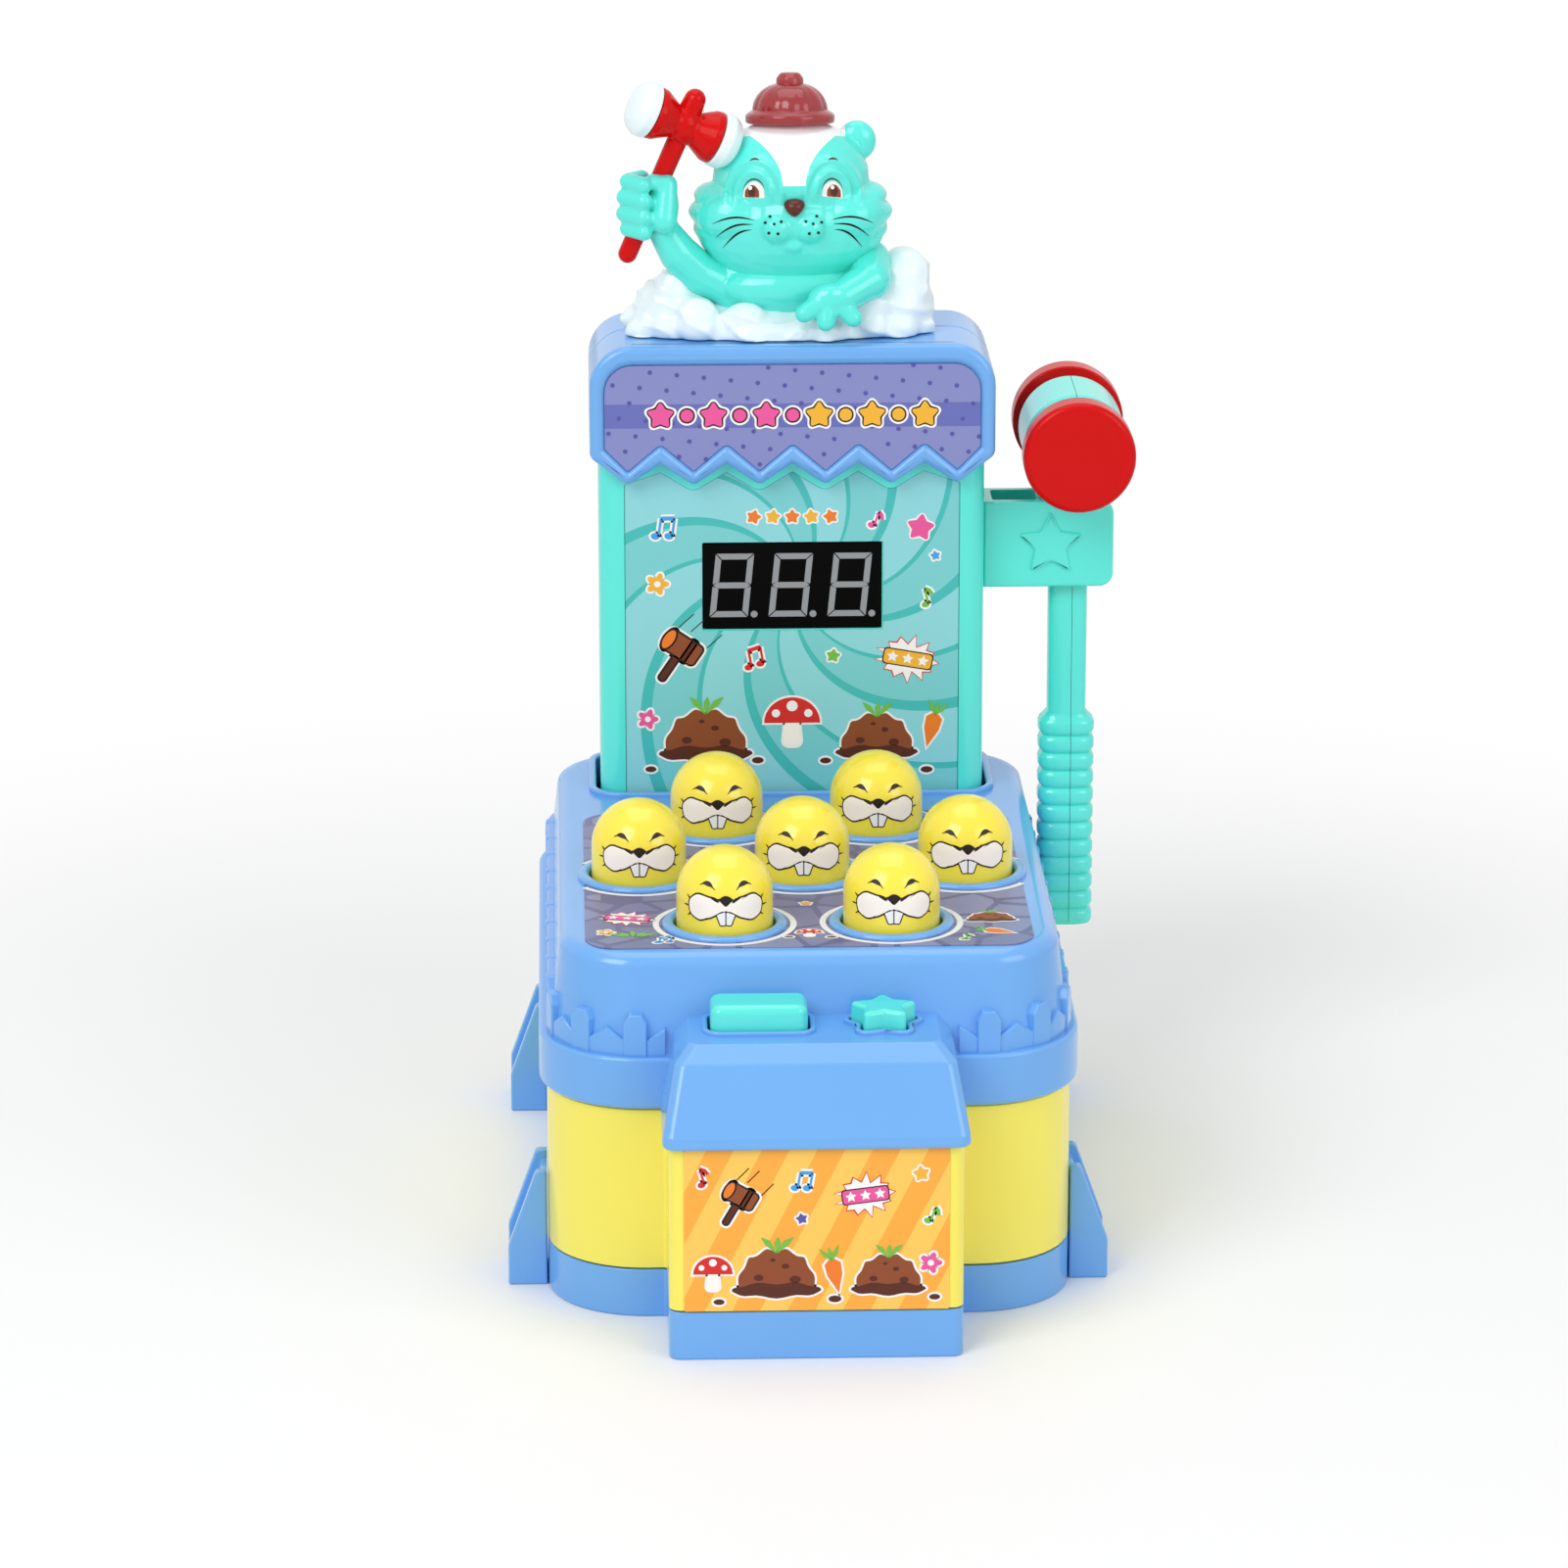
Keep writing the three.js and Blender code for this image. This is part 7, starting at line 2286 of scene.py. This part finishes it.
        form = Form()
        art = Print(form, on_skin)
        for side in (-1, 1):
            self.eye(art, side)
            for ax, az, bx, bz, bow in self.whiskers:
                line = [(self.middle + side * (ax + (bx - ax) * t),
                         az + (bz - az) * t + bow * math.sin(math.pi * t)) for t in Print.shares()]
                art.stroke(line[::side], self.whisker_width, Ink.DARK, taper=True)
            for x, level in self.freckles:
                art.disc(self.middle + side * x, level, self.freckle_radius, self.freckle_radius, Ink.DARK)
        self.piece("gopher_paint", form, [TURQUOISE, *inks()], sharp=80)

    def eye(self, art: Print, side: int) -> None:
        """One eye with its lash line and its brow."""
        x, foot, shift = self.middle + side * self.eye_reach, self.eye_foot, side * self.iris_shift
        for corners, ink, layer, aside in ((self.eye_white, Ink.WHITE, 1, 0.0),
                                           (self.iris, Ink.BROWN, 2, shift)):
            outline = [(x + aside + a, foot + b) for a, b in Draw.filleted(corners, 5)]
            art.shape(outline, ink, layer, rows=5)
        rise, wide, high = self.pupil
        art.disc(x + shift, foot + rise, wide, high, Ink.SOIL, 3)
        rise, radius = self.glint
        art.disc(x + shift - self.iris_shift, foot + rise, radius, radius, Ink.WHITE, 4)
        rise, *arc = self.lash
        art.arc(x, foot + rise, *arc, Ink.SOIL, 3, taper=True)
        rise, *arc = self.brow
        art.arc(x + self.brow_shift, foot + rise, *arc, Ink.SOIL, taper=True)

    def mallet(self) -> None:
        """The red mallet with its white ends."""
        tilt, across = Vector(self.tilt).normalized(), Vector(self.across).normalized()
        middle, half = Vector(self.mallet_middle), self.head_half
        form = Form()
        reach, first, last = self.handle
        form.limb(middle - tilt * reach, middle, first, last)
        reach, first, last = self.handle_top
        form.limb(middle, middle + tilt * reach, first, last)
        turn = Vector((0, 0, 1)).rotation_difference(across).to_matrix().to_4x4()
        place = Matrix.Translation(middle) @ turn
        upper = [(radius, half - sunk, soft) for radius, sunk, soft in self.head_ends]
        upper = [(0.0, half, 0.0), *upper, self.head_waist]
        lower = [(radius, -height, soft) for radius, height, soft in upper]
        form.turned(Draw.bent(lower + upper[::-1], 4), place, 40)
        form.ball(middle, self.head_hub)
        self.piece("figure_mallet", form, [RED], ["mallet"])
        dome = Draw.bent([(radius, half + rise, soft) for radius, rise, soft in self.end_dome], 6)
        for flip, node in ((math.pi, "mallet_left_end"), (0.0, "mallet_right_end")):
            end = Form()
            end.turned(dome, place @ Matrix.Rotation(flip, 4, "X"), 40)
            self.piece(f"figure_{node}", end, [WHITE], [node], sharp=50)

    def lamp(self) -> None:
        """The ribbed red dome with its brim and knob."""
        lean = Matrix.Rotation(math.radians(-self.lamp_lean), 4, "X")
        place = Plane.TOP.place(0.0, self.y + self.lamp_back, self.lamp_base) @ lean
        form = Form()
        radius, power, foot, rise = self.dome
        turns = [math.radians(a) for a in range(0, 81, 5)]
        form.turned([*self.hollow, *Draw.bent(self.brim, 4)], place, 96)
        form.turned([(radius * math.cos(a) ** power, foot + rise * math.sin(a)) for a in turns], place, 96,
                    flutes=self.flutes, depth=self.flute_depth)
        form.turned(Draw.bent(self.knob, 5), place, 48)
        self.piece("hat_dome", form, [LENS], ["hat_lamp"], sharp=50)


@dataclass
class Inside(SubAssembly):
    """What is inside the cabinet and on its underside, whose solids keep their shape."""

    screws: int = 4
    cells: int = 3

    def build(self) -> None:
        """Dresses the solids."""
        self.dress(STEEL, *(f"mole_spring_{i + 1}" for i in range(len(self.moles))),
                   *(f"base_screw_{i + 1}" for i in range(self.screws)), "battery_door_screw")
        self.dress(BOARD, "game_board", "button_board")
        self.dress(BLACK, "speaker", "power_switch")
        self.dress(SLEEVE, *(f"battery_{i + 1}" for i in range(self.cells)))
        self.dress(BLUE, "battery_door")


@dataclass(frozen=True)
class SoftLamp:
    """A soft square lamp, in metres and watts."""

    name: str
    place: Row
    size: float
    power: float
    aim: Row = (0.0, 0.0, 0.1)

    def build(self) -> None:
        """Hangs the lamp and turns it to the toy."""
        light = bpy.data.lights.new(self.name, "AREA")
        light.size = self.size
        light.energy = self.power
        lamp = bpy.data.objects.new(self.name, light)
        lamp.location = self.place
        lamp.rotation_euler = (Vector(self.aim) - Vector(self.place)).to_track_quat("-Z", "Y").to_euler()
        bpy.context.scene.collection.objects.link(lamp)


@dataclass
class Studio:
    """Floor, light and camera, in metres."""

    floor_half: float = 3.0
    floor_near: float = 0.16
    floor_far: float = 0.42
    floor_tone: float = 0.93
    floor_roughness: float = 0.55
    floor_shine: float = 0.2
    surround_light: float = 0.5
    camera_place: Row = (-0.04895, -1.33648, 0.49252)
    camera_turn: Row = (73.348, 0.0, -1.950)
    lens: float = 154.23
    sensor: float = 36.0
    lamps: tuple[SoftLamp, ...] = (
        SoftLamp("Key", (-0.75, -0.95, 1.1), 0.8, 10.0), SoftLamp("Fill", (0.95, -0.9, 0.7), 0.8, 4.5),
        SoftLamp("Top", (0.0, 0.2, 1.5), 1.1, 5.5))

    def build(self) -> None:
        """Builds the studio."""
        scene = bpy.context.scene
        scene.view_settings.view_transform = "Standard"
        self.floor()
        self.world(scene)
        for lamp in self.lamps:
            lamp.build()
        camera = bpy.data.cameras.new("Camera")
        camera.lens = self.lens
        camera.sensor_width = self.sensor
        holder = bpy.data.objects.new("Camera", camera)
        holder.location = self.camera_place
        holder.rotation_euler = [math.radians(angle) for angle in self.camera_turn]
        scene.collection.objects.link(holder)
        scene.camera = holder

    def floor(self) -> None:
        """A plain pale floor that looks as white as the surround where it is far away."""
        half, tone = self.floor_half, self.floor_tone
        mesh = bpy.data.meshes.new("Floor")
        mesh.from_pydata([(-half, -half, 0), (half, -half, 0), (half, half, 0), (-half, half, 0)], [],
                         [(0, 1, 2, 3)])
        material = bpy.data.materials.new("Floor")
        material.use_nodes = True
        nodes = Nodes(material.node_tree)
        paint = nodes.add("ShaderNodeBsdfPrincipled", {"Base Color": (tone, tone, tone, 1.0),
                                                       "Roughness": self.floor_roughness,
                                                       "Specular IOR Level": self.floor_shine})
        reach = nodes.add("ShaderNodeVectorMath", {0: nodes.where()}, operation="LENGTH").outputs["Value"]
        far = nodes.add("ShaderNodeMapRange",
                        {"Value": reach, "From Min": self.floor_near, "From Max": self.floor_far},
                        interpolation_type="SMOOTHSTEP").outputs[0]
        seen = nodes.math("MULTIPLY", far, nodes.add("ShaderNodeLightPath").outputs["Is Camera Ray"])
        glow = nodes.add("ShaderNodeEmission", {"Color": (1.0, 1.0, 1.0, 1.0)})
        mixed = nodes.add("ShaderNodeMixShader", {0: seen, 1: paint.outputs[0], 2: glow.outputs[0]})
        nodes.add("ShaderNodeOutputMaterial", {"Surface": mixed.outputs[0]})
        mesh.materials.append(material)
        floor = bpy.data.objects.new("Floor", mesh)
        bpy.context.scene.collection.objects.link(floor)

    def world(self, scene: bpy.types.Scene) -> None:
        """A white surround, plain white where the camera, a reflection or glass sees it."""
        world = bpy.data.worlds.new("Surround")
        scene.world = world
        world.use_nodes = True
        nodes = Nodes(world.node_tree)
        path = nodes.add("ShaderNodeLightPath").outputs
        seen = nodes.math("MAXIMUM", path["Is Camera Ray"],
                          nodes.math("MAXIMUM", path["Is Glossy Ray"], path["Is Transmission Ray"]))
        light = self.surround_light
        strength = nodes.math("ADD", nodes.math("MULTIPLY", seen, 1 - light), light)
        surround = nodes.add("ShaderNodeBackground", {"Color": (1.0, 1.0, 1.0, 1.0), "Strength": strength})
        nodes.add("ShaderNodeOutputWorld", {"Surface": surround.outputs[0]})


def main() -> None:
    """Builds the studio and each sub-assembly in order."""
    logging.basicConfig(level=logging.INFO, format="%(message)s")
    for part in (Studio(), Cabinet(), Buttons(), Moles(), Tower(), Marquee(), Hammer(), Figure(), Inside()):
        LOG.info("building %s", type(part).__name__)
        part.build()


if __name__ == "__main__":
    main()
